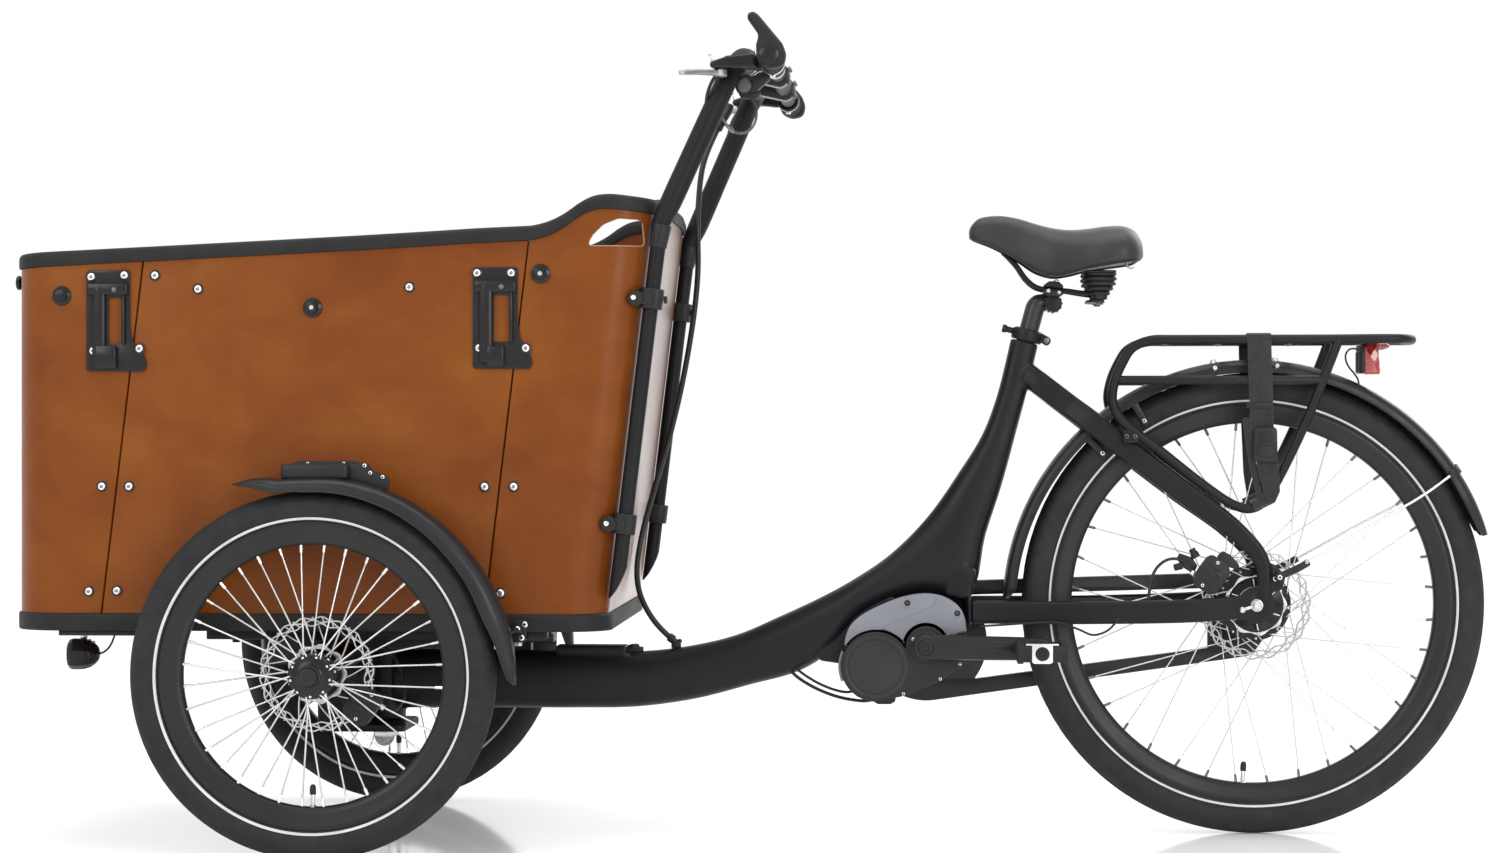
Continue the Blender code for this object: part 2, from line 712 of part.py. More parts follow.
node(chain_case(), "chain_case", "rear_frame", "plastic_black")


def sprocket():
    ring = prism(arc(0, REAR_R, SPROCKET_R - 0.0056, 0, 340, 17), CHAIN_Y - 0.0016, CHAIN_Y + 0.0016)
    cut(ring, rod((0, 0.03, REAR_R), (0, 0.07, REAR_R), 0.0190, 12))
    return ring


node(sprocket(), "rear_sprocket", "rear_sprocket", "steel")


def pedal(sign):
    px, pz = PEDAL_L if sign < 0 else PEDAL_R
    frame = block(px - 0.0360, px + 0.0360, -0.2010, -0.1070, pz - 0.0130, pz + 0.0130, 0.004)
    cut(frame, block(px - 0.0250, px - 0.0100, -0.1900, -0.1180, pz - 0.03, pz + 0.03))
    cut(frame, block(px + 0.0100, px + 0.0250, -0.1900, -0.1180, pz - 0.03, pz + 0.03))
    axle = rod((px, -0.110, pz), (px, -0.0990, pz), 0.0070, 8)
    union(frame, axle)
    return frame if sign < 0 else mirrored_free(frame)


node(pedal(-1), "left_pedal", "left_pedal", "plastic_black")
node(pedal(1), "right_pedal", "right_pedal", "plastic_black")


# ------------------------------------------------------------------ wheels
def tyre(centre, radius, rim_r, w, steps):
    h = radius - rim_r
    base = rim_r + 0.0006
    half = [
        (base, 0.0150), (base + 0.42 * h, w), (radius - 0.16 * h, w * 0.70), (radius, w * 0.26),
    ]
    profile = half + [(r, -y) for r, y in reversed(half)]
    return turned(profile, centre, steps)


def laced_wheel(centre, rim, flange_r, flange_y, shell_r, bore, ends, steps, spoke_r=0.0011):
    """Rim, hub and 36 crossed spokes as one laced unit."""
    cx, cy, cz = centre
    r0, r1 = rim
    ring = turned(
        [(r0, -0.0095), (r1, -0.0130), (r1, 0.0130), (r0, 0.0095)],
        centre, steps,
    )
    f = flange_y
    left, right = ends
    hub = turned(
        [
            (bore, left[0]), (left[1], left[0]), (left[1], -f - 0.0040), (flange_r, -f - 0.0032), (flange_r, -f + 0.0032),
            (shell_r, -f + 0.0050), (shell_r, f - 0.0050), (flange_r, f - 0.0032), (flange_r, f + 0.0032),
            (right[1], f + 0.0040), (right[1], right[0]), (bore, right[0]),
        ],
        centre, 12,
    )
    spokes = []
    for k in range(36):
        a_rim = math.radians(10 * k + 5)
        side = -1 if k % 2 else 1
        lead = 1 if (k // 2) % 2 else -1
        a_hub = a_rim - lead * math.radians(58)
        y_hub = cy + side * (f + lead * 0.0021)
        y_rim = cy + side * 0.0030
        a = Vector((cx + (flange_r - 0.004) * math.cos(a_hub), y_hub, cz + (flange_r - 0.004) * math.sin(a_hub)))
        b = Vector((cx + (r0 + 0.004) * math.cos(a_rim), y_rim, cz + (r0 + 0.004) * math.sin(a_rim)))
        spokes.append(rod(a, b, spoke_r, 3))
    union(hub, joined(*spokes))
    union(hub, ring)
    return hub


def rotor(centre, y, inner):
    """160 mm brake disc with its arms."""
    cx, _, cz = centre
    disc = prism(arc(cx, cz, 0.0800, 0, 345, 23), y - 0.0010, y + 0.0010)
    holes = []
    for k in range(6):
        mid = 60 * k
        holes.append(prism(
            arc(cx, cz, 0.0640, mid - 23, mid + 23, 3) + arc(cx, cz, 0.0330, mid + 17, mid - 17, 1),
            y - 0.01, y + 0.01,
        ))
    cut(disc, joined(*holes))
    cut(disc, rod((cx, y - 0.01, cz), (cx, y + 0.01, cz), inner, 12))
    return disc


REAR = (0.0, 0.0, REAR_R)
node(tyre(REAR, REAR_R, REAR_RIM[1], REAR_HALF_W, 40), "rear_tyre", "rear_wheel", "tyre", 60)
node(
    laced_wheel(REAR, REAR_RIM, 0.0420, 0.0270, 0.0330, 0.0075, ((-0.0500, 0.0200), (0.0530, 0.0175)), 40),
    "rear_rim_and_hub", "rear_wheel", "rim_black",
)
node(rotor(REAR, -0.0540, 0.0140), "rear_brake_disc", "rear_wheel", "steel")

for side_name, sgn in (("left", -1), ("right", 1)):
    C = (FX, sgn * HALF_TRACK, FRONT_R)
    carrier_name = side_name + "_front_wheel"
    node(tyre(C, FRONT_R, FRONT_RIM[1], FRONT_HALF_W, 32), side_name + "_front_tyre", carrier_name, "tyre", 60)
    hub_ends = ((-0.0330, 0.0150), (0.0300, 0.0170)) if sgn < 0 else ((-0.0300, 0.0170), (0.0330, 0.0150))
    node(
        laced_wheel(C, FRONT_RIM, 0.0270, 0.0220, 0.0170, 0.0112, hub_ends, 32),
        side_name + "_front_rim_and_hub", carrier_name, "rim_black",
    )
    node(rotor(C, sgn * (HALF_TRACK - 0.0320), 0.0125), side_name + "_front_brake_disc", carrier_name, "steel")


def rear_axle():
    axle = rod((0, -0.0895, REAR_R), (0, 0.0895, REAR_R), 0.0058, 8)
    nuts = [rod((0, s * 0.0766, REAR_R), (0, s * 0.0850, REAR_R), 0.0100, 6) for s in (-1, 1)]
    return union(axle, *nuts)


node(rear_axle(), "rear_axle", "rear_frame", "steel")


def caliper(centre, disc_y, angle, sign, arm_to, hub_side=0.0125):
    """Disc brake caliper round the disc's edge, with its mounting arm. sign points from the disc
    to the side that the arm is on; hub_side is its reach to the other side."""
    cx, cz = centre
    a = math.radians(angle)
    d, n = Vector((math.cos(a), math.sin(a))), Vector((-math.sin(a), math.cos(a)))
    c = Vector((cx, cz))
    outline = [c + d * r + n * t for r, t in (
        (0.0560, -0.018), (0.0560, 0.018), (0.0640, 0.026), (0.0900, 0.026), (0.0960, 0.018), (0.0960, -0.018),
        (0.0900, -0.026), (0.0640, -0.026))]
    lo, hi = sorted((disc_y - sign * hub_side, disc_y + sign * 0.0125))
    shell = prism([tuple(p) for p in outline], lo, hi)
    slot = [c + d * r + n * t for r, t in ((0.0400, -0.04), (0.0400, 0.04), (0.0830, 0.04), (0.0830, -0.04))]
    cut(shell, prism([tuple(p) for p in slot], disc_y - 0.0028, disc_y + 0.0028))
    y0, y1 = sorted((disc_y + sign * 0.0085, disc_y + sign * 0.0135))
    arm = prism([tuple(p) for p in (c + d * 0.0800 + n * 0.020, c + d * 0.0800 - n * 0.020,
                                    Vector(arm_to) - n * 0.010, Vector(arm_to) + n * 0.010)], y0, y1)
    union(shell, arm)
    return shell


node(caliper((0, REAR_R), -0.0540, 146, 1, (-0.046, 0.3630)), "rear_caliper", "rear_frame", "plastic_black")


# ------------------------------------------------------------------ rear mudguard, rack and light
def mudguard_profile(r, w, t):
    """Channel section as (radius, y): crown outside, skirts down both sides."""
    outer = [(r - 0.020, w), (r - 0.0070, w - 0.0020), (r, w * 0.45)]
    outer = outer + [(q, -y) for q, y in reversed(outer)]
    inner = [(r - 0.020, w - t), (r - 0.0070 - t * 0.6, w - 0.0020 - t), (r - t, w * 0.42)]
    inner = inner + [(q, -y) for q, y in reversed(inner)]
    return outer + list(reversed(inner))


def mudguard(centre, r, w, t, start, end, steps, y=0.0):
    cx, cz = centre
    rings = []
    for k in range(steps + 1):
        a = math.radians(start + (end - start) * k / steps)
        rings.append([Vector((cx + q * math.cos(a), y + s, cz + q * math.sin(a))) for q, s in mudguard_profile(r, w, t)])
    return loft(rings)


node(mudguard((0, REAR_R), 0.3515, 0.0300, 0.0020, 179, 16.5, 18), "rear_mudguard", "rear_frame", "plastic_black")


def mudguard_stays():
    """Thin rods from the left and right drop-outs to a flat clip bent round the mudguard."""
    turn = math.radians(33.5)
    d = Vector((math.cos(turn), 0, math.sin(turn)))
    n = Vector((-math.sin(turn), 0, math.cos(turn)))
    hub = Vector((0, 0, REAR_R))
    half = [(0.3340, -0.0316), (0.3450, -0.0303), (0.3535, -0.0160)]
    line = [hub + d * r + Vector((0, y, 0)) for r, y in half + [(r, -y) for r, y in reversed(half)]]
    clip = sweep(line, [(-0.0060, -0.0005), (0.0060, -0.0005), (0.0060, 0.0005), (-0.0060, 0.0005)], side=n)
    for s in (-1, 1):
        end = hub + d * 0.3380 + Vector((0, s * 0.0335, 0))
        route = [(0.030, s * 0.0775, 0.3750), (0.0480, s * 0.0775, 0.3790), (0.0800, s * 0.0720, 0.3980), (0.1600, s * 0.0540, 0.4440), (0.2400, s * 0.0375, 0.4890)]
        union(clip, tube(route + [tuple(end)], 0.0026, 6), rod((0.030, s * 0.0778, 0.3745), (0.056, s * 0.0772, 0.3835), 0.0045, 6))
    return clip


node(mudguard_stays(), "mudguard_stays", "rear_frame", "steel")


def rear_rack():
    """Tubular carrier: a closed loop on each side, a top rail that closes at the back, and
    cross tubes."""
    y = 0.0610
    r = 0.0068
    loop = [
        (-0.118, 0.7120), (-0.150, 0.7110), (-0.176, 0.7000), (-0.190, 0.6790), (-0.2005, 0.6540), (-0.2045, 0.6270),
        (-0.1970, 0.6040), (-0.1760, 0.5830), (-0.1440, 0.5590), (-0.0730, 0.5030), (-0.0360, 0.4780), (-0.0130, 0.4700),
        (0.0050, 0.4750), (0.0225, 0.4970), (0.0690, 0.5900), (0.1010, 0.6690), (0.1170, 0.7110),
    ]
    pieces = []
    for s in (-1, 1):
        pieces.append(sweep([(x, s * y, z) for x, z in loop], circle(r, 6)))
        pieces.append(rod((-0.1960, s * y, 0.6540), (0.0960, s * y, 0.6540), r * 0.95, 6))
    tail = [(-0.130, -y, 0.7120), (0.120, -y, 0.7125), (0.195, -y, 0.7130), (0.219, -0.050, 0.7125), (0.2300, -0.022, 0.7120)]
    tail = tail + [(x, -q, z) for x, q, z in reversed(tail)]
    rail = sweep(tail, circle(r, 6), side=(0, 1, 0))
    cross = [rod((x, -y - 0.002, z), (x, y + 0.002, z), 0.0050, 6) for x, z in ((-0.1225, 0.7120), (-0.045, 0.7120), (0.058, 0.7120), (0.119, 0.7120))]
    union(rail, *pieces)
    union(rail, *cross)
    feet = [block(-0.190, -0.166, s * 0.0622 - 0.0040, s * 0.0622 + 0.0040, 0.5640, 0.5830) for s in (-1, 1)]
    union(rail, *feet)
    return rail


node(rear_rack(), "rear_rack", "rear_frame", "frame_black")


def rack_strap():
    """Luggage strap over the rack with its buckle on the left."""
    y, t = 0.0706, 0.0020
    left = block(-0.012, 0.023, -y, -y + t, 0.4960, 0.7215)
    over = block(-0.012, 0.023, -y, y, 0.7195, 0.7215)
    right = block(-0.012, 0.023, y - t, y, 0.5900, 0.7215)
    buckle = block(-0.006, 0.027, -y - 0.0060, -y + 0.0010, 0.5370, 0.5870, 0.002)
    return union(left, over, right, buckle)


node(rack_strap(), "rack_strap", "rear_frame", "webbing")


def rear_light():
    lamp = block(0.1520, 0.1730, -0.0280, 0.0280, 0.6620, 0.7000, 0.004)
    mount = block(0.1560, 0.1680, -0.0100, 0.0100, 0.6960, 0.7045)
    wing = block(0.1560, 0.1760, -0.0560, 0.0560, 0.6925, 0.7035)
    return union(lamp, mount, wing)


node(rear_light(), "rear_light", "rear_frame", "red_lens")


# ------------------------------------------------------------------ steered carrier under the box
def axle_yoke():
    """Plates above and below the steering tube, side cheeks, the two axle beams with their stub
    axles, and the rail under the box floor."""
    top = block(-1.350, -1.010, -0.0740, 0.0740, 0.2862, 0.3094)
    low = block(-1.350, -1.222, -0.0740, 0.0740, 0.1460, 0.1584)
    pieces = [low]
    for s in (-1, 1):
        y0, y1 = sorted((s * 0.0620, s * 0.0740))
        pieces.append(block(-1.350, -1.276, y0, y1, 0.1480, 0.3000))
        y0, y1 = sorted((s * 0.0700, s * 0.3330))
        pieces.append(block(FX - 0.020, FX + 0.020, y0, y1, 0.2300, 0.2700))
        y0, y1 = sorted((s * 0.0650, s * 0.2900))
        pieces.append(block(-1.060, -1.025, y0, y1, 0.2900, 0.3094))
        pieces.append(rod((FX, s * 0.3300, FRONT_R), (FX, s * 0.4230, FRONT_R), 0.0100, 12))
        pieces.append(rod((FX, s * 0.4145, FRONT_R), (FX, s * 0.4230, FRONT_R), 0.0130, 12))
    pieces.append(block(-1.058, -1.012, -0.0300, 0.0300, 0.2730, 0.2900))
    union(top, *pieces)
    cut(top, turned_z([(0.0127, 0.10), (0.0127, 0.33)], (KINGPIN_X, 0), 16))
    return top


node(axle_yoke(), "axle_yoke", "front_carrier", "frame_black")


def kingpin():
    pin = turned_z([(0.0120, 0.1330), (0.0120, 0.3090)], (KINGPIN_X, 0), 16)
    head = turned_z([(0.0190, 0.1340), (0.0190, 0.1455)], (KINGPIN_X, 0), 6)
    return union(pin, head)


node(kingpin(), "kingpin", "front_carrier", "steel")


# ------------------------------------------------------------------ box
def box_rear_x(z, lean):
    return rear_wall(BOX_BOTTOM) + lean * (z - BOX_BOTTOM)


SEAM1, SEAM2 = -1.6080, -1.0770   # panel seams at the bottom edge
TOP_LINE = [
    (-1.7355, 0.8060), (-1.550, 0.8150), (-1.195, 0.8330), (-1.088, 0.8395), (-1.020, 0.8420), (-0.990, 0.8490),
    (-0.968, 0.8600), (-0.948, 0.8740), (-0.930, 0.8830), (-0.908, 0.8860), (-0.880, 0.8830), (-0.845, 0.8780),
]


def top_edge(x):
    """Height of the wood's top edge at x."""
    if x <= TOP_LINE[0][0]:
        return TOP_LINE[0][1]
    for (xa, za), (xb, zb) in zip(TOP_LINE, TOP_LINE[1:]):
        if x <= xb:
            return za + (zb - za) * (x - xa) / (xb - xa)
    return TOP_LINE[-1][1]


def plan(offset):
    """The left half of the box's plan at the bottom, front middle to rear middle, moved inward by
    offset, as (x, y, share of the lean)."""
    w = BOX_HALF_W
    xr = rear_wall(BOX_BOTTOM)
    rf, rr = BOX_FRONT_CORNER, BOX_REAR_CORNER
    out = [(BOX_FRONT_X + offset, 0.0, 0.0)]
    for k in range(5):
        a = math.radians(180 + 22.5 * k)
        out.append((BOX_FRONT_X + rf + (rf - offset) * math.cos(a), -w + rf + (rf - offset) * math.sin(a), 0.0 if k < 4 else 0.3))
    out.append((SEAM1, -w + offset, 1.0))
    for x in (-1.40, -1.22):
        out.append((x, -w + offset, 1.0))
    out.append((SEAM2, -w + offset, 1.0))
    for x in (-1.046, -1.024, -1.004, -0.986):
        out.append((x, -w + offset, 1.0))
    for k in range(5):
        a = math.radians(270 + 22.5 * k)
        out.append((xr - rr + (rr - offset) * math.cos(a), -w + rr + (rr - offset) * math.sin(a), 1.0))
    for y in (-0.205, -0.170, -0.090, 0.0):
        out.append((xr - offset, y, 1.0))
    return out


def raised(p, z):
    """A plan point at height z, leaning with the rear wall."""
    return Vector((p[0] + BOX_LEAN * (z - BOX_BOTTOM) * p[2], p[1], z))


def top_of(p):
    """Height of the wood's top edge over a plan point."""
    z = 0.85
    for _ in range(12):
        z = top_edge(raised(p, z).x)
    if abs(p[1]) < 0.236 and p[0] > -1.2:
        z = 0.906 - 0.026 * max(0.0, abs(p[1]) / 0.236 * 3.6 - 2.6) ** 1.5
    return z


def full(points):
    """Left half, then the mirrored right half, as one closed plan."""
    return points + [(x, -y, s) for x, y, s in reversed(points[1:-1])]


def panel(first, last, both=False, trim=0.0006):
    """Box wall between two plan points; trim shortens its ends to leave the seam open."""
    out_p, in_p = plan(0.0), plan(BOX_WALL)
    if both:
        n = len(out_p)
        out_f, in_f = full(out_p), full(in_p)
        total = len(out_f)
        if last == 0:
            ids = [(-first + k) % total for k in range(2 * first + 1)]
        else:
            ids = [first + k for k in range(2 * (n - 1 - first) + 1)]
        outer, inner = [out_f[i % total] for i in ids], [in_f[i % total] for i in ids]
    else:
        outer, inner = out_p[first : last + 1], in_p[first : last + 1]
    outer = [list(p) for p in outer]
    inner = [list(p) for p in inner]
    for row in (outer, inner):
        for end, inside in ((0, 1), (-1, -2)):
            step = trim if row[inside][0] > row[end][0] else -trim
            row[end][0] += step
    rings = []
    for o, i in zip(outer, inner, strict=True):
        zt = top_of(o)
        rings.append([raised(o, BOX_BOTTOM), raised(o, zt), raised(i, zt), raised(i, BOX_BOTTOM)])
    return loft(rings)


HAND_HOLE = [(-0.937, 0.8355), (-0.927, 0.8515), (-0.913, 0.8650), (-0.893, 0.8730), (-0.861, 0.8715), (-0.8585, 0.8390), (-0.8620, 0.8355)]
N_PLAN = len(plan(0.0))
front_wall = panel(6, 0, both=True)
rear_wall_panel = panel(9, N_PLAN - 1, both=True)
cut(rear_wall_panel, prism(HAND_HOLE, -0.330, -0.255), prism(HAND_HOLE, 0.255, 0.330))
left_wall = panel(6, 9)
right_wall = mirrored(left_wall)
node(front_wall, "box_front_panel", "front_carrier", "wood", 30)
node(rear_wall_panel, "box_rear_panel", "front_carrier", "wood", 30)
node(left_wall, "box_left_panel", "front_carrier", "wood", 30)
node(right_wall, "box_right_panel", "front_carrier", "wood", 30)

node(prism([(p[0], p[1]) for p in full(plan(0.0030))], 0.3100, BOX_BOTTOM - GAP, "Z"), "box_floor", "front_carrier", "wood")


def base_trim():
    """Edging round the floor."""
    outer, inner = full(plan(-0.0030)), full(plan(0.0025))
    rings = [
        [Vector((o[0], o[1], 0.3060)), Vector((o[0], o[1], BOX_BOTTOM - GAP)), Vector((i[0], i[1], BOX_BOTTOM - GAP)), Vector((i[0], i[1], 0.3060))]
        for o, i in zip(outer, inner, strict=True)
    ]
    return loft(rings, closed=True)


node(base_trim(), "box_base_trim", "front_carrier", "rubber")


def top_trim():
    """Rubber capping on the wood's top edge."""
    outer, inner = full(plan(-0.0030)), full(plan(BOX_WALL + 0.0030))
    middle = full(plan(0.006))
    rings = []
    for o, i, m in zip(outer, inner, middle, strict=True):
        z = top_of(m) + 0.0006
        z = max(z, top_of(o) + 0.0006, top_of(i) + 0.0006)
        a0, a1 = raised(o, z), raised(i, z)
        rings.append([
            a0, a0 + Vector((0, 0, 0.0170)), a0.lerp(a1, 0.22) + Vector((0, 0, 0.0205)),
            a0.lerp(a1, 0.78) + Vector((0, 0, 0.0205)), a1 + Vector((0, 0, 0.0170)), a1,
        ])
    return loft(rings, closed=True)


node(top_trim(), "box_top_trim", "front_carrier", "rubber", 50)


def bench():
    """Seat board across the box with its front board."""
    x0, z0 = -1.165, 0.6000
    x1 = rear_wall(z0) - BOX_WALL - 0.004
    seat = block(x0 - 0.012, x1, -BOX_HALF_W + BOX_WALL + 0.004, BOX_HALF_W - BOX_WALL - 0.004, z0, z0 + 0.015)
    for v in seat.data.vertices:
        if v.co.x > -1.0 and abs(v.co.y) > 0.2:
            v.co.y *= 0.80
    front = block(x0, x0 + 0.012, -BOX_HALF_W + BOX_WALL + 0.006, BOX_HALF_W - BOX_WALL - 0.006, BOX_BOTTOM + 0.0004, z0 + 0.005)
    return union(seat, front)


node(bench(), "bench", "front_carrier", "wood")
node(block(-1.090, -0.990, -0.1800, 0.1800, BOX_BOTTOM + 0.0004, 0.4200, 0.008), "battery", "front_carrier", "plastic_black")


# ------------------------------------------------------------------ push bar and controls
def push_bar():
    """Bent tube: two slimmer legs along the box's rear corners, joined across the top."""
    leg = 0.0085
    left = [
        (rear_wall(0.350) + leg, -0.2850, 0.350), (rear_wall(0.600) + leg, -0.2850, 0.600), (rear_wall(0.840) + leg, -0.2850, 0.840),
        (rear_wall(0.865) + leg, -0.2850, 0.865), (-0.8215, -0.2835, 0.8970), (-0.7900, -0.2740, 0.9680), (-0.7570, -0.2620, 1.0420),
        (-0.7420, -0.2500, 1.0760), (-0.7280, -0.2300, 1.0970), (-0.7220, -0.1950, 1.1020),
    ]
    radii = [0.0105, 0.0105, 0.0108, 0.0128, 0.0150, 0.0150, 0.0150, 0.0150, 0.0150, 0.0150]
    path = left + [(x, -y, z) for x, y, z in reversed(left)]
    radii = radii + radii[::-1]
    bar = sweep(path, lambda i: circle(radii[i], 12), side=(1, 0, 0))
    for s in (-1, 1):
        cut(bar, prism([(-0.9400, 0.33), (-0.9400, 0.3500), (-0.9065, 0.3500), (-0.8955, 0.3650), (-0.8860, 0.3840), (-0.8780, 0.4100), (-0.860, 0.4100), (-0.860, 0.33)], s * 0.285 - 0.03, s * 0.285 + 0.03))
    return bar


node(push_bar(), "push_bar", "front_carrier", "frame_black", 50)


def handlebar():
    bar = rod((BAR_X, -0.3860, BAR_Z), (BAR_X, 0.3860, BAR_Z), 0.0110, 12)
    cross = (-0.7220, 1.1020)
    for y in (-0.100, 0.100):
        shell = arc(*cross, 0.0215, 90, 250, 6) + arc(BAR_X, BAR_Z, 0.0175, -80, 75, 5)
        clamp = prism(shell, y - 0.014, y + 0.014)
        cut(clamp, rod((cross[0], y - 0.03, cross[1]), (cross[0], y + 0.03, cross[1]), 0.0164, 12))
        union(bar, clamp)
    return bar


node(handlebar(), "handlebar", "front_carrier", "frame_black")


def grip(sign):
    """Grip sleeve with a short thumb horn at its outer end."""
    sleeve = rod((BAR_X, -0.3880, BAR_Z), (BAR_X, -0.2800, BAR_Z), 0.0165, 12)
    wing = prism(
        [(-0.6620, 1.0720), (-0.6590, 1.0900), (-0.6640, 1.1030), (-0.6960, 1.1415), (-0.7035, 1.1470), (-0.7110, 1.1440),
         (-0.7115, 1.1370), (-0.6960, 1.1150), (-0.7000, 1.1010), (-0.6985, 1.0820), (-0.6830, 1.0690)],
        -0.3890, -0.3580,
    )
    union(sleeve, wing)
    cut(sleeve, rod((BAR_X, -0.4000, BAR_Z), (BAR_X, -0.2700, BAR_Z), 0.0118, 12))
    return sleeve if sign < 0 else mirrored_free(sleeve)


node(grip(-1), "left_grip", "front_carrier", "rubber")
node(grip(1), "right_grip", "front_carrier", "rubber")


def brake_body(sign):
    """Brake master with its clamp on the bar."""
    ring = rod((BAR_X, -0.2790, BAR_Z), (BAR_X, -0.2640, BAR_Z), 0.0165, 12)
    root = prism([(-0.690, 1.1030), (-0.730, 1.0985), (-0.730, 1.0810), (-0.696, 1.0770)], -0.2785, -0.2645)
    arm = prism(
        [(-0.704, 1.1010), (-0.745, 1.0965), (-0.7680, 1.0890), (-0.7680, 1.0805), (-0.745, 1.0800), (-0.704, 1.0805)],
        -0.2920, -0.2650,
    )
    union(ring, root, arm)
    cut(ring, rod((BAR_X, -0.30, BAR_Z), (BAR_X, -0.24, BAR_Z), 0.0117, 12))
    return ring if sign < 0 else mirrored_free(ring)


node(brake_body(-1), "left_brake_body", "front_carrier", "plastic_black")
node(brake_body(1), "right_brake_body", "front_carrier", "plastic_black")


def brake_lever(sign):
    """Curved blade that falls towards its tip, with its pivot boss."""
    px, py, pz = LEVER_PIN
    line = smooth([
        (px + 0.002, -py + 0.002, pz), (px - 0.022, -py - 0.018, pz - 0.0005), (px - 0.040, -py - 0.044, pz - 0.0030),
        (px - 0.0465, -py - 0.074, pz - 0.0060), (px - 0.0480, -py - 0.103, pz - 0.0090),
    ], 2)
    n = len(line)
    lever = sweep(line, lambda i: [(-0.0050, -0.0024), (0.0050, -0.0024), (0.0050, 0.0024), (-0.0050, 0.0024)] if i < n - 1
                  else [(-0.0030, -0.0018), (0.0030, -0.0018), (0.0030, 0.0018), (-0.0030, 0.0018)], side=(0, 1, 0))
    boss = turned_z([(0.0075, pz - 0.0050), (0.0075, pz + 0.0052)], (px, -py), 10)
    union(lever, boss)
    return lever if sign < 0 else mirrored_free(lever)


node(brake_lever(-1), "left_brake_lever", "left_lever", "silver")
node(brake_lever(1), "right_brake_lever", "right_lever", "silver")


# ------------------------------------------------------------------ front mudguards, brakes and lamp
def front_mudguard(sign):
    guard = mudguard((FX, FRONT_R), 0.2770, 0.0310, 0.0020, 112, -4, 13, -HALF_TRACK)
    bracket = block(-1.346, -1.243, -HALF_TRACK + 0.004, -BOX_HALF_W - 0.0006, 0.5250, 0.5380)
    foot = block(-1.340, -1.249, -HALF_TRACK - 0.012, -HALF_TRACK + 0.012, 0.5210, 0.5340)
    union(guard, bracket, foot)
    return guard if sign < 0 else mirrored_free(guard)


node(front_mudguard(-1), "left_front_mudguard", "front_carrier", "plastic_black")
node(front_mudguard(1), "right_front_mudguard", "front_carrier", "plastic_black")

for side_name, sgn in (("left", -1), ("right", 1)):
    y_disc = sgn * (HALF_TRACK - 0.0320)
    made = caliper((FX, FRONT_R), y_disc, -34, -sgn, (FX + 0.030, FRONT_R - 0.014), 0.0080)
    node(made, side_name + "_front_caliper", "front_carrier", "plastic_black")


def headlight():
    lamp = loft([
        [Vector((x, r * math.cos(2 * math.pi * (k + 0.5) / 12), 0.2530 + r * math.sin(2 * math.pi * (k + 0.5) / 12))) for k in range(12)]
        for x, r in ((-1.7300, 0.0215), (-1.7240, 0.0235), (-1.7060, 0.0225), (-1.6930, 0.0165), (-1.6850, 0.0080))
    ])
    arm = prism([(-1.7130, 0.2700), (-1.7160, 0.2900), (-1.7020, 0.3055), (-1.6720, 0.3055), (-1.6720, 0.3020), (-1.6990, 0.3010), (-1.7080, 0.2890), (-1.7040, 0.2700)], -0.0080, 0.0080)
    pad = block(-1.7000, -1.6600, -0.0120, 0.0120, 0.3035, 0.3095)
    return union(lamp, arm, pad)


node(headlight(), "headlight", "front_carrier", "plastic_black")


# ------------------------------------------------------------------ cables
def cable(name, points, radius, carrier, finish="rubber", per=2):
    """A cable as a round-bevelled curve through its route's points."""
    path = smooth(points, per)
    empty, pivot = bodies[carrier]
    data = bpy.data.curves.new(name, "CURVE")
    data.dimensions = "3D"
    data.bevel_depth = radius
    data.bevel_resolution = 1
    data.use_fill_caps = True
    spline = data.splines.new("POLY")
    spline.points.add(len(path) - 1)
    shift = Vector((REAR_AXLE_X, 0, 0)) - pivot
    for point, p in zip(spline.points, path, strict=True):
        point.co = (*(p + shift), 1.0)
    made = bpy.data.objects.new(name, data)
    bpy.context.scene.collection.objects.link(made)
    made.parent = empty
    if finish not in finishes:
        finishes[finish] = material(finish, *FINISH[finish])
    data.materials.append(finishes[finish])
    return made


def seen(points, depth_y):
    """Route points (x, z) put on a plane of constant y."""
    return [(x, depth_y, z) for x, z in points]


cable(
    "control_cable",
    [(-0.7660, 0.120, 1.0600), (-0.7830, 0.100, 1.0250), (-0.8000, 0.070, 0.9750), (-0.8055, 0.050, 0.9200)]
    + seen([(-0.8060, 0.8700), (-0.8060, 0.8150), (-0.8120, 0.7500), (-0.8280, 0.6560), (-0.8460, 0.5790), (-0.8660, 0.5100), (-0.8830, 0.4500)], 0.040)
    + [(-0.8910, 0.030, 0.4100), (-0.8940, 0.018, 0.3760), (-0.8900, 0.008, 0.3480), (-0.8800, 0.002, 0.3240), (-0.8640, 0.0, 0.3000), (-0.8440, 0.0, 0.2800)],
    0.0042, "front_carrier", per=2,
)
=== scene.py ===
"""Looks of the three-wheeled electric cargo bike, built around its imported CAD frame.

Metres, +Z up, ground at z = 0; the bike faces -X and its left side faces -Y. In the builders x is
measured from the rear axle, and REAR_AXLE_X shifts every piece to its place in the row frame.
"""

import json
import math

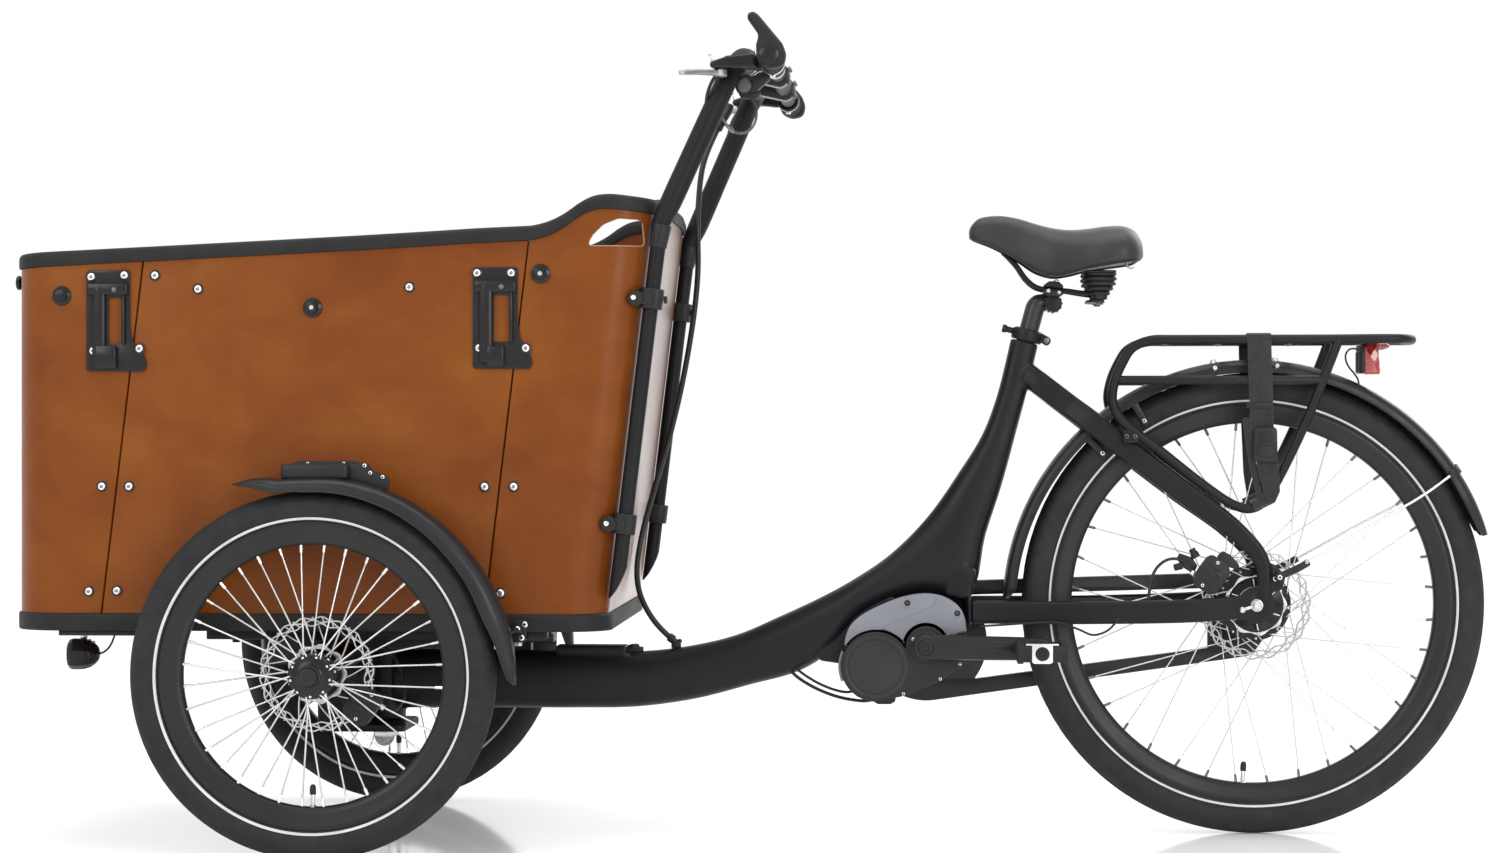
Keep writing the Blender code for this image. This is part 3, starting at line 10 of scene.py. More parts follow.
import bmesh
import bpy
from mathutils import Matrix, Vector


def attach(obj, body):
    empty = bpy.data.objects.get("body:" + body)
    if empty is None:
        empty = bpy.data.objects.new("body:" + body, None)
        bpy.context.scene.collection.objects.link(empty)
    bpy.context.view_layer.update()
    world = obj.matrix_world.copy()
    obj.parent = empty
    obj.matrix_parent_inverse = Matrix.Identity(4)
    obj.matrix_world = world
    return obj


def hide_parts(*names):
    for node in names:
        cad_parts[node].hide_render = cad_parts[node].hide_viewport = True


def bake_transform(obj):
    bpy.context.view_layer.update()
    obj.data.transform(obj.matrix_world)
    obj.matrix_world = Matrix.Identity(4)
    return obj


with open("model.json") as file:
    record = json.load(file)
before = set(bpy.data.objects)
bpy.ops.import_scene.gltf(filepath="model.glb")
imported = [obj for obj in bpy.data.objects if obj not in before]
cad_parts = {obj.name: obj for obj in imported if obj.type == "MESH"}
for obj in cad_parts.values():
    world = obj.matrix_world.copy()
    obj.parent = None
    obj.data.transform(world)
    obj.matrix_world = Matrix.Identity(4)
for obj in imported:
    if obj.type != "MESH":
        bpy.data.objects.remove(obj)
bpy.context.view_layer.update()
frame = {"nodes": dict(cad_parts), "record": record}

REAR_AXLE_X = 0.7008
WHEELBASE = 1.301
HALF_TRACK = 0.380
REAR_R, FRONT_R = 0.3325, 0.250
REAR_RIM, FRONT_RIM = (0.2600, 0.2855), (0.1840, 0.2085)
KINGPIN_X = -1.262
CRANK = (-0.471, 0.2725)
CRANK_LEN = 0.162
CHAINRING_R, SPROCKET_R = 0.0768, 0.0326
GUIDE, GUIDE_R = (-0.012, 0.2818), 0.0205
CHAIN_Y = 0.0507
SEAT_POINT, SEAT_SLOPE = (-0.3215, 0.731), 0.262
BOX_HALF_W, BOX_FRONT_X, BOX_WALL, BOX_BOTTOM = 0.310, -1.7355, 0.012, 0.330
BOX_LEAN = 0.12
BAR_X, BAR_Z = -0.682, 1.088
FX = -WHEELBASE
PEDAL_L = (CRANK[0] + CRANK_LEN, CRANK[1] - 0.0020)
PEDAL_R = (CRANK[0] - CRANK_LEN, CRANK[1] + 0.0020)
TAU = 2 * math.pi


def rear_wall(z):
    return -0.873 + BOX_LEAN * (z - 0.628)


# ------------------------------------------------------------------ materials
class Nodes:
    """Short hand for building one node tree."""

    def __init__(self, name):
        self.mat = bpy.data.materials.new(name)
        self.mat.use_nodes = True
        self.tree = self.mat.node_tree
        self.shader = self.tree.nodes["Principled BSDF"]
        self.coord = self.tree.nodes.new("ShaderNodeTexCoord").outputs["Object"]

    def new(self, kind, **values):
        made = self.tree.nodes.new(kind)
        for key, value in values.items():
            if key in made.inputs:
                made.inputs[key].default_value = value
            else:
                setattr(made, key, value)
        return made

    def link(self, a, b):
        self.tree.links.new(a, b)

    def scaled(self, x, y, z):
        mapping = self.new("ShaderNodeMapping")
        mapping.inputs["Scale"].default_value = (x, y, z)
        self.link(self.coord, mapping.inputs["Vector"])
        return mapping.outputs["Vector"]

    def noise(self, scale, detail=3.0, rough=0.5, vector=None, distortion=0.0):
        made = self.new("ShaderNodeTexNoise", Scale=scale, Detail=detail, Roughness=rough, Distortion=distortion)
        self.link(vector or self.coord, made.inputs["Vector"])
        return made.outputs["Fac"]

    def ramp(self, fac, *stops):
        made = self.new("ShaderNodeValToRGB")
        elements = made.color_ramp.elements
        while len(elements) < len(stops):
            elements.new(0.5)
        for element, (at, colour) in zip(elements, stops, strict=True):
            element.position = at
            element.color = (*colour, 1.0)
        self.link(fac, made.inputs["Fac"])
        return made.outputs["Color"]

    def span(self, value, lo, hi, a, b):
        made = self.new("ShaderNodeMapRange")
        for key, number in zip(("From Min", "From Max", "To Min", "To Max"), (lo, hi, a, b), strict=True):
            made.inputs[key].default_value = number
        self.link(value, made.inputs["Value"])
        return made.outputs["Result"]

    def math(self, operation, a, b=None, c=None):
        made = self.new("ShaderNodeMath", operation=operation)
        for k, value in enumerate((a, b, c)):
            if value is None:
                continue
            if isinstance(value, (int, float)):
                made.inputs[k].default_value = value
            else:
                self.link(value, made.inputs[k])
        return made.outputs["Value"]

    def mix(self, fac, a, b, how="MIX"):
        made = self.new("ShaderNodeMix", data_type="RGBA", blend_type=how)
        if isinstance(fac, (int, float)):
            made.inputs[0].default_value = fac
        else:
            self.link(fac, made.inputs[0])
        for socket, value in ((made.inputs[6], a), (made.inputs[7], b)):
            if isinstance(value, tuple):
                socket.default_value = (*value, 1.0)
            else:
                self.link(value, socket)
        return made.outputs[2]

    def bump(self, height, strength, distance=0.001):
        made = self.new("ShaderNodeBump", Strength=strength, Distance=distance)
        self.link(height, made.inputs["Height"])
        self.link(made.outputs["Normal"], self.shader.inputs["Normal"])
        return made

    def set(self, **values):
        for key, value in values.items():
            self.shader.inputs[key.replace("_", " ")].default_value = value

    def colour(self, output):
        self.link(output, self.shader.inputs["Base Color"])

    def rough(self, output):
        self.link(output, self.shader.inputs["Roughness"])


def paint(name, dark, light, rough, spread=0.06, grain=900, strength=0.06, edge=0.0, coat=0.0, spec=0.26):
    """Powder coat: fine orange peel, slight cloudiness in gloss, rubbed edges."""
    n = Nodes(name)
    cloud = n.noise(7.0, 4.0)
    base = n.ramp(cloud, (0.3, dark), (0.7, light))
    if edge:
        worn = n.span(n.new("ShaderNodeNewGeometry").outputs["Pointiness"], 0.52, 0.62, 0.0, 1.0)
        base = n.mix(n.math("MULTIPLY", worn, edge), base, tuple(min(1.0, c * 5 + 0.05) for c in light))
    n.colour(base)
    n.rough(n.span(n.noise(16.0, 5.0), 0.3, 0.7, rough - spread, rough + spread))
    n.bump(n.noise(grain, 2.0), strength, 0.0004)
    n.set(Specular_IOR_Level=spec)
    if coat:
        n.set(Coat_Weight=coat, Coat_Roughness=0.2)
    return n.mat


def metal(name, dark, light, rough, spread=0.07, brushed=(1, 1, 1), strength=0.05):
    n = Nodes(name)
    streak = n.noise(600.0, 3.0, vector=n.scaled(*brushed))
    n.colour(n.ramp(streak, (0.3, dark), (0.75, light)))
    n.rough(n.span(n.noise(40.0, 4.0), 0.3, 0.7, rough - spread, rough + spread))
    n.set(Metallic=1.0)
    n.bump(streak, strength, 0.0003)
    return n.mat


def moulded(name, dark, light, rough, grain=1400, strength=0.12, spec=0.28):
    """Textured black plastic with a faint spark-eroded grain."""
    n = Nodes(name)
    n.colour(n.ramp(n.noise(22.0, 5.0), (0.3, dark), (0.7, light)))
    fine = n.noise(grain, 2.0)
    n.rough(n.span(n.noise(60.0, 4.0), 0.3, 0.7, rough - 0.05, rough + 0.07))
    n.set(Specular_IOR_Level=spec)
    n.bump(fine, strength, 0.0004)
    return n.mat


def wood_material(name, low, mid, high, grain_axis=(1.5, 1.5, 42.0), rough=0.34, coat=0.06, spec=0.15, gloss=0.14):
    """Stained and varnished birch plywood: cloudy blotches of stain, faint long grain, pores, varnish."""
    n = Nodes(name)
    long = n.noise(9.0, 6.0, 0.6, n.scaled(*grain_axis), 0.6)
    pores = n.noise(60.0, 4.0, 0.7, n.scaled(*grain_axis))
    wide = n.noise(2.1, 3.0, 0.5, n.scaled(1.0, 1.0, 1.3), 1.2)
    blotch = n.noise(8.5, 4.0, 0.6, n.scaled(1.0, 1.0, 1.2), 0.7)
    figure = n.math("ADD", n.math("MULTIPLY", long, 0.08), n.math("ADD", n.math("MULTIPLY", wide, 0.58), n.math("MULTIPLY", blotch, 0.34)))
    base = n.ramp(figure, (0.36, low), (0.50, mid), (0.64, high))
    dark = n.span(pores, 0.62, 0.80, 0.0, 0.16)
    n.colour(n.mix(dark, base, tuple(c * 0.6 for c in low)))
    n.rough(n.span(blotch, 0.3, 0.7, rough - 0.05, rough + 0.08))
    n.set(Specular_IOR_Level=spec, Coat_Weight=coat, Coat_Roughness=gloss)
    n.bump(pores, 0.03, 0.0005)
    return n.mat


def ply_edge(name, axis):
    """Cut edge of plywood: pale and dark layers across the thickness."""
    n = Nodes(name)
    layers = n.new("ShaderNodeTexWave", wave_type="BANDS", bands_direction=axis, Scale=95.0, Distortion=0.6)
    layers.inputs["Detail"].default_value = 2.0
    n.link(n.coord, layers.inputs["Vector"])
    n.colour(n.ramp(layers.outputs["Fac"], (0.25, (0.33, 0.17, 0.075)), (0.6, (0.62, 0.42, 0.24))))
    n.rough(n.span(n.noise(80.0, 4.0), 0.3, 0.7, 0.5, 0.7))
    n.bump(n.noise(500.0, 3.0), 0.15, 0.0006)
    return n.mat


def leather(name, dark, light, rough):
    n = Nodes(name)
    cells = n.new("ShaderNodeTexVoronoi", feature="DISTANCE_TO_EDGE", Scale=620.0)
    n.link(n.coord, cells.inputs["Vector"])
    creases = n.span(cells.outputs["Distance"], 0.0, 0.12, 0.0, 1.0)
    n.colour(n.mix(n.math("MULTIPLY", creases, 0.9), dark, n.ramp(n.noise(9.0, 5.0), (0.3, dark), (0.7, light))))
    n.rough(n.span(n.noise(25.0, 4.0), 0.3, 0.7, rough - 0.06, rough + 0.06))
    n.set(Sheen_Weight=0.10, Sheen_Roughness=0.4, Specular_IOR_Level=0.40)
    n.bump(creases, 0.25, 0.0005)
    return n.mat


def woven(name, dark, light, scale=900.0):
    n = Nodes(name)
    warp = n.new("ShaderNodeTexWave", wave_type="BANDS", bands_direction="Z", Scale=scale)
    weft = n.new("ShaderNodeTexWave", wave_type="BANDS", bands_direction="X", Scale=scale)
    for w in (warp, weft):
        n.link(n.coord, w.inputs["Vector"])
    both = n.math("MULTIPLY", warp.outputs["Fac"], weft.outputs["Fac"])
    n.colour(n.ramp(both, (0.2, dark), (0.8, light)))
    n.rough(n.span(n.noise(90.0, 3.0), 0.3, 0.7, 0.75, 0.95))
    n.set(Sheen_Weight=0.3)
    n.bump(both, 0.5, 0.0005)
    return n.mat


def lens(name, colour, rough=0.08, transmission=0.0, stripe=260.0, glow=None):
    """Moulded lens with fine prisms behind a clear surface."""
    n = Nodes(name)
    cells = n.new("ShaderNodeTexVoronoi", feature="F1", Scale=stripe)
    n.link(n.coord, cells.inputs["Vector"])
    n.colour(n.ramp(cells.outputs["Distance"], (0.1, tuple(min(1.0, c * 1.25) for c in colour)), (0.8, tuple(c * 0.5 for c in colour))))
    n.rough(n.span(n.noise(120.0, 2.0), 0.3, 0.7, rough, rough + 0.08))
    n.set(Coat_Weight=1.0, Coat_Roughness=0.03, Transmission_Weight=transmission)
    n.bump(cells.outputs["Distance"], 0.25, 0.0006)
    return n.mat


def tyre_rubber(name, dark, light, rough=0.72):
    n = Nodes(name)
    n.colour(n.ramp(n.noise(14.0, 5.0), (0.3, dark), (0.7, light)))
    fine = n.noise(1600.0, 3.0)
    n.rough(n.span(n.noise(50.0, 4.0), 0.3, 0.7, rough - 0.07, rough + 0.08))
    n.set(Specular_IOR_Level=0.4)
    n.bump(fine, 0.22, 0.0004)
    return n.mat


FRAME = paint("satin_black_coat", (0.0062, 0.0060, 0.0078), (0.0098, 0.0095, 0.0122), 0.40, edge=0.08, spec=0.20)
TUBE = paint("black_tube_coat", (0.0062, 0.0062, 0.0072), (0.0092, 0.0092, 0.0106), 0.50, edge=0.06, spec=0.19)
PLASTIC = moulded("black_moulded_plastic", (0.0090, 0.0090, 0.0098), (0.0140, 0.0140, 0.0152), 0.46)
GUARD = moulded("mudguard_plastic", (0.0095, 0.0095, 0.0110), (0.0145, 0.0145, 0.0165), 0.36, 1100, 0.06)
GLOSSY = moulded("glossy_black_plastic", (0.0080, 0.0080, 0.0090), (0.0110, 0.0110, 0.0120), 0.22, 900, 0.03)
TYRE = tyre_rubber("tyre_rubber", (0.0062, 0.0062, 0.0072), (0.0105, 0.0105, 0.0118))
STRIPE = moulded("reflective_stripe", (0.50, 0.50, 0.50), (0.62, 0.62, 0.62), 0.45, 1800, 0.1)
RIM = paint("black_anodised", (0.0110, 0.0110, 0.0120), (0.0160, 0.0160, 0.0172), 0.36, 0.05, 700, 0.04)
STEEL = metal("bright_steel", (0.52, 0.52, 0.52), (0.70, 0.70, 0.69), 0.26)
SPOKE = metal("spoke_steel", (0.54, 0.53, 0.52), (0.72, 0.705, 0.69), 0.30)
DISC = metal("ground_disc_steel", (0.30, 0.30, 0.30), (0.47, 0.47, 0.46), 0.34, 0.08, (1, 1, 1), 0.08)
# Lighter copy of the same disc steel, for the front discs and every disc carrier: its extra brightness is painted light
DISC_PAINTED_BRIGHT = metal("disc_steel_painted_bright", (0.46, 0.46, 0.45), (0.62, 0.62, 0.61), 0.34, 0.08, (1, 1, 1), 0.08)
ZINC = metal("zinc_screw", (0.66, 0.66, 0.65), (0.86, 0.86, 0.84), 0.30)
DARK_STEEL = metal("dark_steel", (0.10, 0.10, 0.11), (0.16, 0.16, 0.17), 0.36)
SILVER = paint("silver_lavender_cover", (0.160, 0.166, 0.190), (0.200, 0.206, 0.233), 0.34, 0.05, 1500, 0.08, spec=0.35)
WOOD = wood_material("stained_plywood", (0.126, 0.0290, 0.0026), (0.164, 0.0425, 0.0042), (0.203, 0.0610, 0.0060))
WOOD_REAR = wood_material("stained_plywood_rear", (0.126, 0.0290, 0.0026), (0.164, 0.0425, 0.0042), (0.203, 0.0610, 0.0060), coat=1.0, spec=0.42, gloss=0.24)
# Paler copy of the stained plywood: its paler colour is a painted highlight on the hand holes' lower and right lip
WOOD_HIGHLIGHT = wood_material("plywood_painted_highlight", (0.240, 0.105, 0.062), (0.300, 0.145, 0.092), (0.360, 0.185, 0.122), coat=0.30, spec=0.30)
WOOD_IN = wood_material("stained_plywood_inside", (0.130, 0.034, 0.006), (0.175, 0.050, 0.009), (0.225, 0.075, 0.014), rough=0.44, coat=0.036)
EDGE = ply_edge("plywood_edge", "X")
RUBBER = moulded("rubber_edging", (0.0110, 0.0108, 0.0110), (0.0165, 0.0162, 0.0165), 0.55, 1300, 0.1, 0.20)
GRIP = moulded("grip_rubber", (0.0080, 0.0080, 0.0088), (0.0120, 0.0120, 0.0130), 0.58, 1700, 0.25, 0.28)
SADDLE = leather("saddle_cover", (0.0095, 0.0095, 0.0112), (0.0160, 0.0160, 0.0185), 0.34)
WEB = woven("strap_webbing", (0.0060, 0.0060, 0.0065), (0.0190, 0.0190, 0.0200))
RED = lens("red_lens", (0.62, 0.016, 0.014))
CLEAR = lens("clear_lens", (0.62, 0.64, 0.66), 0.05)
WHITE = lens("white_reflector", (0.80, 0.80, 0.78), 0.12)
CABLE = moulded("cable_sheath", (0.0100, 0.0100, 0.0110), (0.0150, 0.0150, 0.0160), 0.34, 2000, 0.05)


# ------------------------------------------------------------------ mesh kit
def vec(p):
    return Vector(p)


class Solid:
    """Collects closed shells, and becomes one piece."""

    def __init__(self):
        self.v, self.f = [], []

    def add(self, made):
        verts, faces = (made.v, made.f) if isinstance(made, Solid) else made
        k = len(self.v)
        self.v += [tuple(p) for p in verts]
        self.f += [tuple(i + k for i in face) for face in faces]
        return self

    def add_all(self, *made):
        for m in made:
            self.add(m)
        return self

    def mirror(self):
        k = len(self.v)
        self.v += [(x, -y, z) for x, y, z in self.v]
        self.f += [tuple(reversed([i + k for i in face])) for face in self.f]
        return self

    def flipped(self):
        out = Solid()
        out.v = [(x, -y, z) for x, y, z in self.v]
        out.f = [tuple(reversed(face)) for face in self.f]
        return out


def mesh_from(name, verts, faces):
    mesh = bpy.data.meshes.new(name)
    mesh.from_pydata([(p[0] + REAR_AXLE_X, p[1], p[2]) for p in verts], [], faces)
    bm = bmesh.new()
    bm.from_mesh(mesh)
    bmesh.ops.recalc_face_normals(bm, faces=bm.faces)
    bm.to_mesh(mesh)
    bm.free()
    return mesh


def piece(name, solid, mat, body, replaces=(), angle=35):
    """One finished piece: closed shells in row coordinates, riding on a body."""
    mesh = mesh_from(name, solid.v, solid.f)
    return dress(mesh, name, mat, body, replaces, angle)


def dress(mesh, name, mat, body, replaces=(), angle=35):
    mesh.name = name
    made = bpy.data.objects.new(name, mesh)
    bpy.context.scene.collection.objects.link(made)
    slots = [face.material_index for face in mesh.polygons]
    mesh.materials.clear()
    for m in mat if isinstance(mat, (list, tuple)) else [mat]:
        mesh.materials.append(m)
    if isinstance(mat, (list, tuple)):
        mesh.polygons.foreach_set("material_index", slots)
    mesh.shade_smooth()
    mesh.set_sharp_from_angle(angle=math.radians(angle))
    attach(made, body)
    if replaces:
        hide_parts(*replaces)
    return made


def smooth(points, per=6, closed=False):
    """Points of a Catmull-Rom curve through the given points."""
    pts = [vec(p) for p in points]
    n = len(pts)
    out = []
    if closed:
        for i in range(n):
            p0, p1, p2, p3 = pts[i - 1], pts[i], pts[(i + 1) % n], pts[(i + 2) % n]
            for k in range(per):
                out.append(catmull(p0, p1, p2, p3, k / per))
        return out
    pts = [2 * pts[0] - pts[1], *pts, 2 * pts[-1] - pts[-2]]
    for i in range(1, len(pts) - 2):
        for k in range(per):
            out.append(catmull(*pts[i - 1 : i + 3], k / per))
    out.append(pts[-2])
    return out


def catmull(p0, p1, p2, p3, t):
    """Centripetal spline, so that uneven spacing doesn't overshoot."""
    def knot(ti, a, b):
        return ti + max(1e-7, (b - a).length) ** 0.5
    t0 = 0.0
    t1 = knot(t0, p0, p1)
    t2 = knot(t1, p1, p2)
    t3 = knot(t2, p2, p3)
    t = t1 + (t2 - t1) * t
    a1 = (t1 - t) / (t1 - t0) * p0 + (t - t0) / (t1 - t0) * p1
    a2 = (t2 - t) / (t2 - t1) * p1 + (t - t1) / (t2 - t1) * p2
    a3 = (t3 - t) / (t3 - t2) * p2 + (t - t2) / (t3 - t2) * p3
    b1 = (t2 - t) / (t2 - t0) * a1 + (t - t0) / (t2 - t0) * a2
    b2 = (t3 - t) / (t3 - t1) * a2 + (t - t1) / (t3 - t1) * a3
    return (t2 - t) / (t2 - t1) * b1 + (t - t1) / (t2 - t1) * b2


def rounded(points, r, seg=5):
    """A polyline path or outline (open) with its inner corners filleted."""
    pts = [vec(p) for p in points]
    out = [pts[0]]
    for i in range(1, len(pts) - 1):
        out += fillet(pts[i - 1], pts[i], pts[i + 1], r if not isinstance(r, (list, tuple)) else r[i], seg)
    out.append(pts[-1])
    return out


def fillet(a, b, c, r, seg):
    u, v = (a - b), (c - b)
    lu, lv = u.length, v.length
    u.normalize()
    v.normalize()
    cosine = max(-0.9999, min(0.9999, u.dot(v)))
    half = math.acos(cosine) / 2
    if r <= 0 or half > math.radians(88.5):
        return [b]
    t = min(r / math.tan(half), lu * 0.49, lv * 0.49)
    p, q = b + u * t, b + v * t
    out = []
    for k in range(seg + 1):
        s = k / seg
        out.append((1 - s) ** 2 * p + 2 * s * (1 - s) * (b + (((p + q) / 2) - b) * 0.18) + s * s * q)
    return out


def outline(points, r, seg=5):
    """A closed outline with filleted corners; r is one radius or one per corner."""
    pts = [Vector((*p, 0.0)) for p in points]
    n = len(pts)
    out = []
    for i in range(n):
        rr = r[i] if isinstance(r, (list, tuple)) else r
        out += fillet(pts[i - 1], pts[i], pts[(i + 1) % n], rr, seg)
    return [(p.x, p.y) for p in out]


def circle(r, sides, phase=0.0):
    return [(r * math.cos(TAU * (k + phase) / sides), r * math.sin(TAU * (k + phase) / sides)) for k in range(sides)]


def oval(a, b, sides, power=1.0):
    out = []
    for k in range(sides):
        t = TAU * (k + 0.5) / sides
        c, s = math.cos(t), math.sin(t)
        out.append((a * math.copysign(abs(c) ** power, c), b * math.copysign(abs(s) ** power, s)))
    return out


def round_rect(a, b, r, seg=4):
    """Rectangle outline of half sizes a, b with round corners."""
    out = []
    for cx, cy, start in ((a - r, b - r, 0), (-a + r, b - r, 90), (-a + r, -b + r, 180), (a - r, -b + r, 270)):
        for k in range(seg + 1):
            t = math.radians(start + 90 * k / seg)
            out.append((cx + r * math.cos(t), cy + r * math.sin(t)))
    return out


def skin(rings, closed=False, caps=True):
    n = len(rings[0])
    verts = [p for ring in rings for p in ring]
    faces = []
    last = len(rings) if closed else len(rings) - 1
    for i in range(last):
        a, b = i * n, ((i + 1) % len(rings)) * n
        for k in range(n):
            j = (k + 1) % n
            faces.append((a + k, a + j, b + j, b + k))
    if not closed and caps:
        faces.append(tuple(reversed(range(n))))
        faces.append(tuple((len(rings) - 1) * n + k for k in range(n)))
    return verts, faces


def frames(path, side, closed=False):
    side = vec(side)
    n = len(path)
    out = []
    for i, p in enumerate(path):
        if closed:
            t = path[(i + 1) % n] - path[i - 1]
        else:
            t = path[min(i + 1, n - 1)] - path[max(i - 1, 0)]
        t.normalize()
        side = side - side.dot(t) * t
        if side.length < 1e-6:
            side = t.orthogonal()
        side.normalize()
        out.append((p, t, side.copy(), t.cross(side)))
    return out


def sweep(path, profile, side=(0, 1, 0), closed=False, ends=0.0):
    """A profile of (across, up) pairs along a path; ends rounds the two ends by that much."""
    path = [vec(p) for p in path]
    rows = frames(path, side, closed)
    rings = []
    n = len(rows)
    for i, (p, t, a, b) in enumerate(rows):
        shape = profile(i / (n - 1)) if callable(profile) else profile
        ring = [p + a * x + b * y for x, y in shape]
        rings.append(ring)
    if ends and not closed:
        def cap(row, shape, sign):
            p, t, a, b = row
            size = max(max(abs(x), abs(y)) for x, y in shape)
            out = []
            for k in range(1, 4):
                angle = math.pi / 2 * k / 3.4
                shrink = 1 - (1 - math.cos(angle)) * min(1.0, ends / size)
                out.append([p + t * sign * ends * math.sin(angle) + a * x * shrink + b * y * shrink for x, y in shape])
            return out
        first = profile(0.0) if callable(profile) else profile
        final = profile(1.0) if callable(profile) else profile
        rings = list(reversed(cap(rows[0], first, -1))) + rings + cap(rows[-1], final, 1)
    return skin(rings, closed)


def tube(points, r, sides=20, per=6, side=(0, 1, 0), closed=False, ends=None, raw=False):
    path = [vec(p) for p in points] if raw else smooth(points, per, closed)
    shape = circle(r, sides) if not callable(r) else (lambda t: circle(r(t), sides))
    end = (r if not callable(r) else r(0)) * 0.35 if ends is None else ends
    return sweep(path, shape, side, closed, end)


def rod(a, b, r, sides=16, chamfer=None):
    a, b = vec(a), vec(b)
    c = min(r * 0.25, (b - a).length * 0.2) if chamfer is None else chamfer
    d = (b - a).normalized()
    side = Vector((0, 1, 0)) if abs(d.y) < 0.9 else Vector((1, 0, 0))
    side = (side - side.dot(d) * d).normalized()
    up = d.cross(side)
    rings = []
    for p, q in ((a, r - c), (a + d * c * 0.3, r - c * 0.3), (a + d * c, r), (b - d * c, r), (b - d * c * 0.3, r - c * 0.3), (b, r - c)):
        rings.append([p + side * x + up * y for x, y in circle(q, sides)])
    return skin(rings)


def lathe(profile, centre, axis=(0, 1, 0), steps=64, closed=False, wave=None, start=(1, 0, 0)):
    """(radius, height) pairs turned about an axis. Open profiles start and end on the axis."""
    c, d = vec(centre), vec(axis).normalized()
    u = vec(start)
    u = (u - u.dot(d) * d)
    u = u.normalized() if u.length > 1e-6 else d.orthogonal().normalized()
    v = d.cross(u)
    verts, faces = [], []
    rows = profile if closed else profile[1:-1]
    n = len(rows)
    for s in range(steps):
        t = TAU * s / steps
        for k, (r, h) in enumerate(rows):
            if wave:
                r, h = wave(s, k, r, h)
            verts.append(c + d * h + (u * math.cos(t) + v * math.sin(t)) * r)
    for s in range(steps):
        t = (s + 1) % steps
        for k in range(n if closed else n - 1):
            j = (k + 1) % n
            faces.append((s * n + k, s * n + j, t * n + j, t * n + k))
    if not closed:
        first, last = len(verts), len(verts) + 1
        verts += [c + d * profile[0][1], c + d * profile[-1][1]]
        for s in range(steps):
            t = (s + 1) % steps
            faces.append((first, s * n, t * n))
            faces.append((last, t * n + n - 1, s * n + n - 1))
    return verts, faces


def inset(points, d):
    """Outline moved inward by d."""
    n = len(points)
    area = sum(points[k][0] * points[(k + 1) % n][1] - points[(k + 1) % n][0] * points[k][1] for k in range(n))
    s = 1 if area > 0 else -1
    out = []
    for k in range(n):
        p, q, r = Vector(points[k - 1]), Vector(points[k]), Vector(points[(k + 1) % n])
        a, b = q - p, r - q
        if a.length < 1e-9 or b.length < 1e-9:
            out.append(tuple(q))
            continue
        a.normalize()
        b.normalize()
        m = Vector((a.y, -a.x)) * s + Vector((b.y, -b.x)) * s
        if m.length < 1e-6:
            out.append(tuple(q))
            continue
        m.normalize()
        out.append(tuple(q - m * (d / max(0.6, m.dot(Vector((a.y, -a.x)) * s)))))
    return out


def at_axis(axis):
    return {"Y": lambda p, h: Vector((p[0], h, p[1])), "Z": lambda p, h: Vector((p[0], p[1], h)), "X": lambda p, h: Vector((h, p[0], p[1]))}[axis]


def slab(points, lo, hi, axis="Y", bevel=0.001, both=True):
    """An extruded outline with rounded edges. Points are (x, z) for Y, (x, y) for Z, (y, z) for X."""
    put = at_axis(axis)
    lo, hi = min(lo, hi), max(lo, hi)
    b = min(bevel, (hi - lo) * 0.45)
    rows = []
    if both and b:
        rows += [(b, lo), (b * 0.3, lo + b * 0.3), (0.0, lo + b)]
    else:
        rows += [(0.0, lo)]
    if b:
        rows += [(0.0, hi - b), (b * 0.3, hi - b * 0.3), (b, hi)]
    else:
        rows += [(0.0, hi)]
    rings = [[put(p, h) for p in (inset(points, d) if d else points)] for d, h in rows]
    return skin(rings)


def box(x0, x1, y0, y1, z0, z1, r=0.002, bevel=0.001, seg=3):
    """Block with vertical edges rounded by r and the others by bevel."""
    cx, cy = (x0 + x1) / 2, (y0 + y1) / 2
    a, b = abs(x1 - x0) / 2, abs(y1 - y0) / 2
    pts = [(cx + x, cy + y) for x, y in round_rect(a, b, min(r, a * 0.98, b * 0.98), seg)]
    return slab(pts, z0, z1, "Z", bevel)


def arc(cx, cz, r, start, end, steps):
    return [(cx + r * math.cos(math.radians(start + (end - start) * k / steps)), cz + r * math.sin(math.radians(start + (end - start) * k / steps))) for k in range(steps + 1)]


def turned_to(made, pos, axis, up=(0, 0, 1)):
    """Moves a shape built about +Z at the origin to a point, with +Z along an axis."""
    d = vec(axis).normalized()
    u = vec(up)
    u = u - u.dot(d) * d
    if u.length < 1e-4:
        u = d.orthogonal()
    u.normalize()
    w = u.cross(d)
    verts, faces = made
    p = vec(pos)
    return [p + w * v[0] + u * v[1] + d * v[2] for v in (vec(q) for q in verts)], faces


def plate(outer, holes=(), thickness=0.002, bevel=0.0004, res=1):
    """Flat part with holes, built about z = 0 in the XY plane, edges bevelled."""
    data = bpy.data.curves.new("plate", "CURVE")
    data.dimensions = "2D"
    data.fill_mode = "BOTH"
    data.extrude = max(1e-5, thickness / 2 - bevel)
    data.bevel_depth = bevel
    data.bevel_resolution = res
    data.offset = -bevel
    for pts in (outer, *holes):
        spline = data.splines.new("POLY")
        spline.points.add(len(pts) - 1)
        spline.use_cyclic_u = True
        for point, p in zip(spline.points, pts, strict=True):
            point.co = (p[0] * 1000, p[1] * 1000, 0.0, 1.0)
    data.extrude *= 1000
    data.bevel_depth *= 1000
    data.offset *= 1000
    made = bpy.data.objects.new("plate", data)
    bpy.context.scene.collection.objects.link(made)
    graph = bpy.context.evaluated_depsgraph_get()
    graph.update()
    mesh = bpy.data.meshes.new_from_object(made.evaluated_get(graph))
    bm = bmesh.new()
    bm.from_mesh(mesh)
    bmesh.ops.remove_doubles(bm, verts=bm.verts, dist=0.002)
    verts = [v.co / 1000 for v in bm.verts]
    faces = [tuple(v.index for v in f.verts) for f in bm.faces]
    bm.free()
    bpy.data.objects.remove(made)
    bpy.data.curves.remove(data)
    return verts, faces


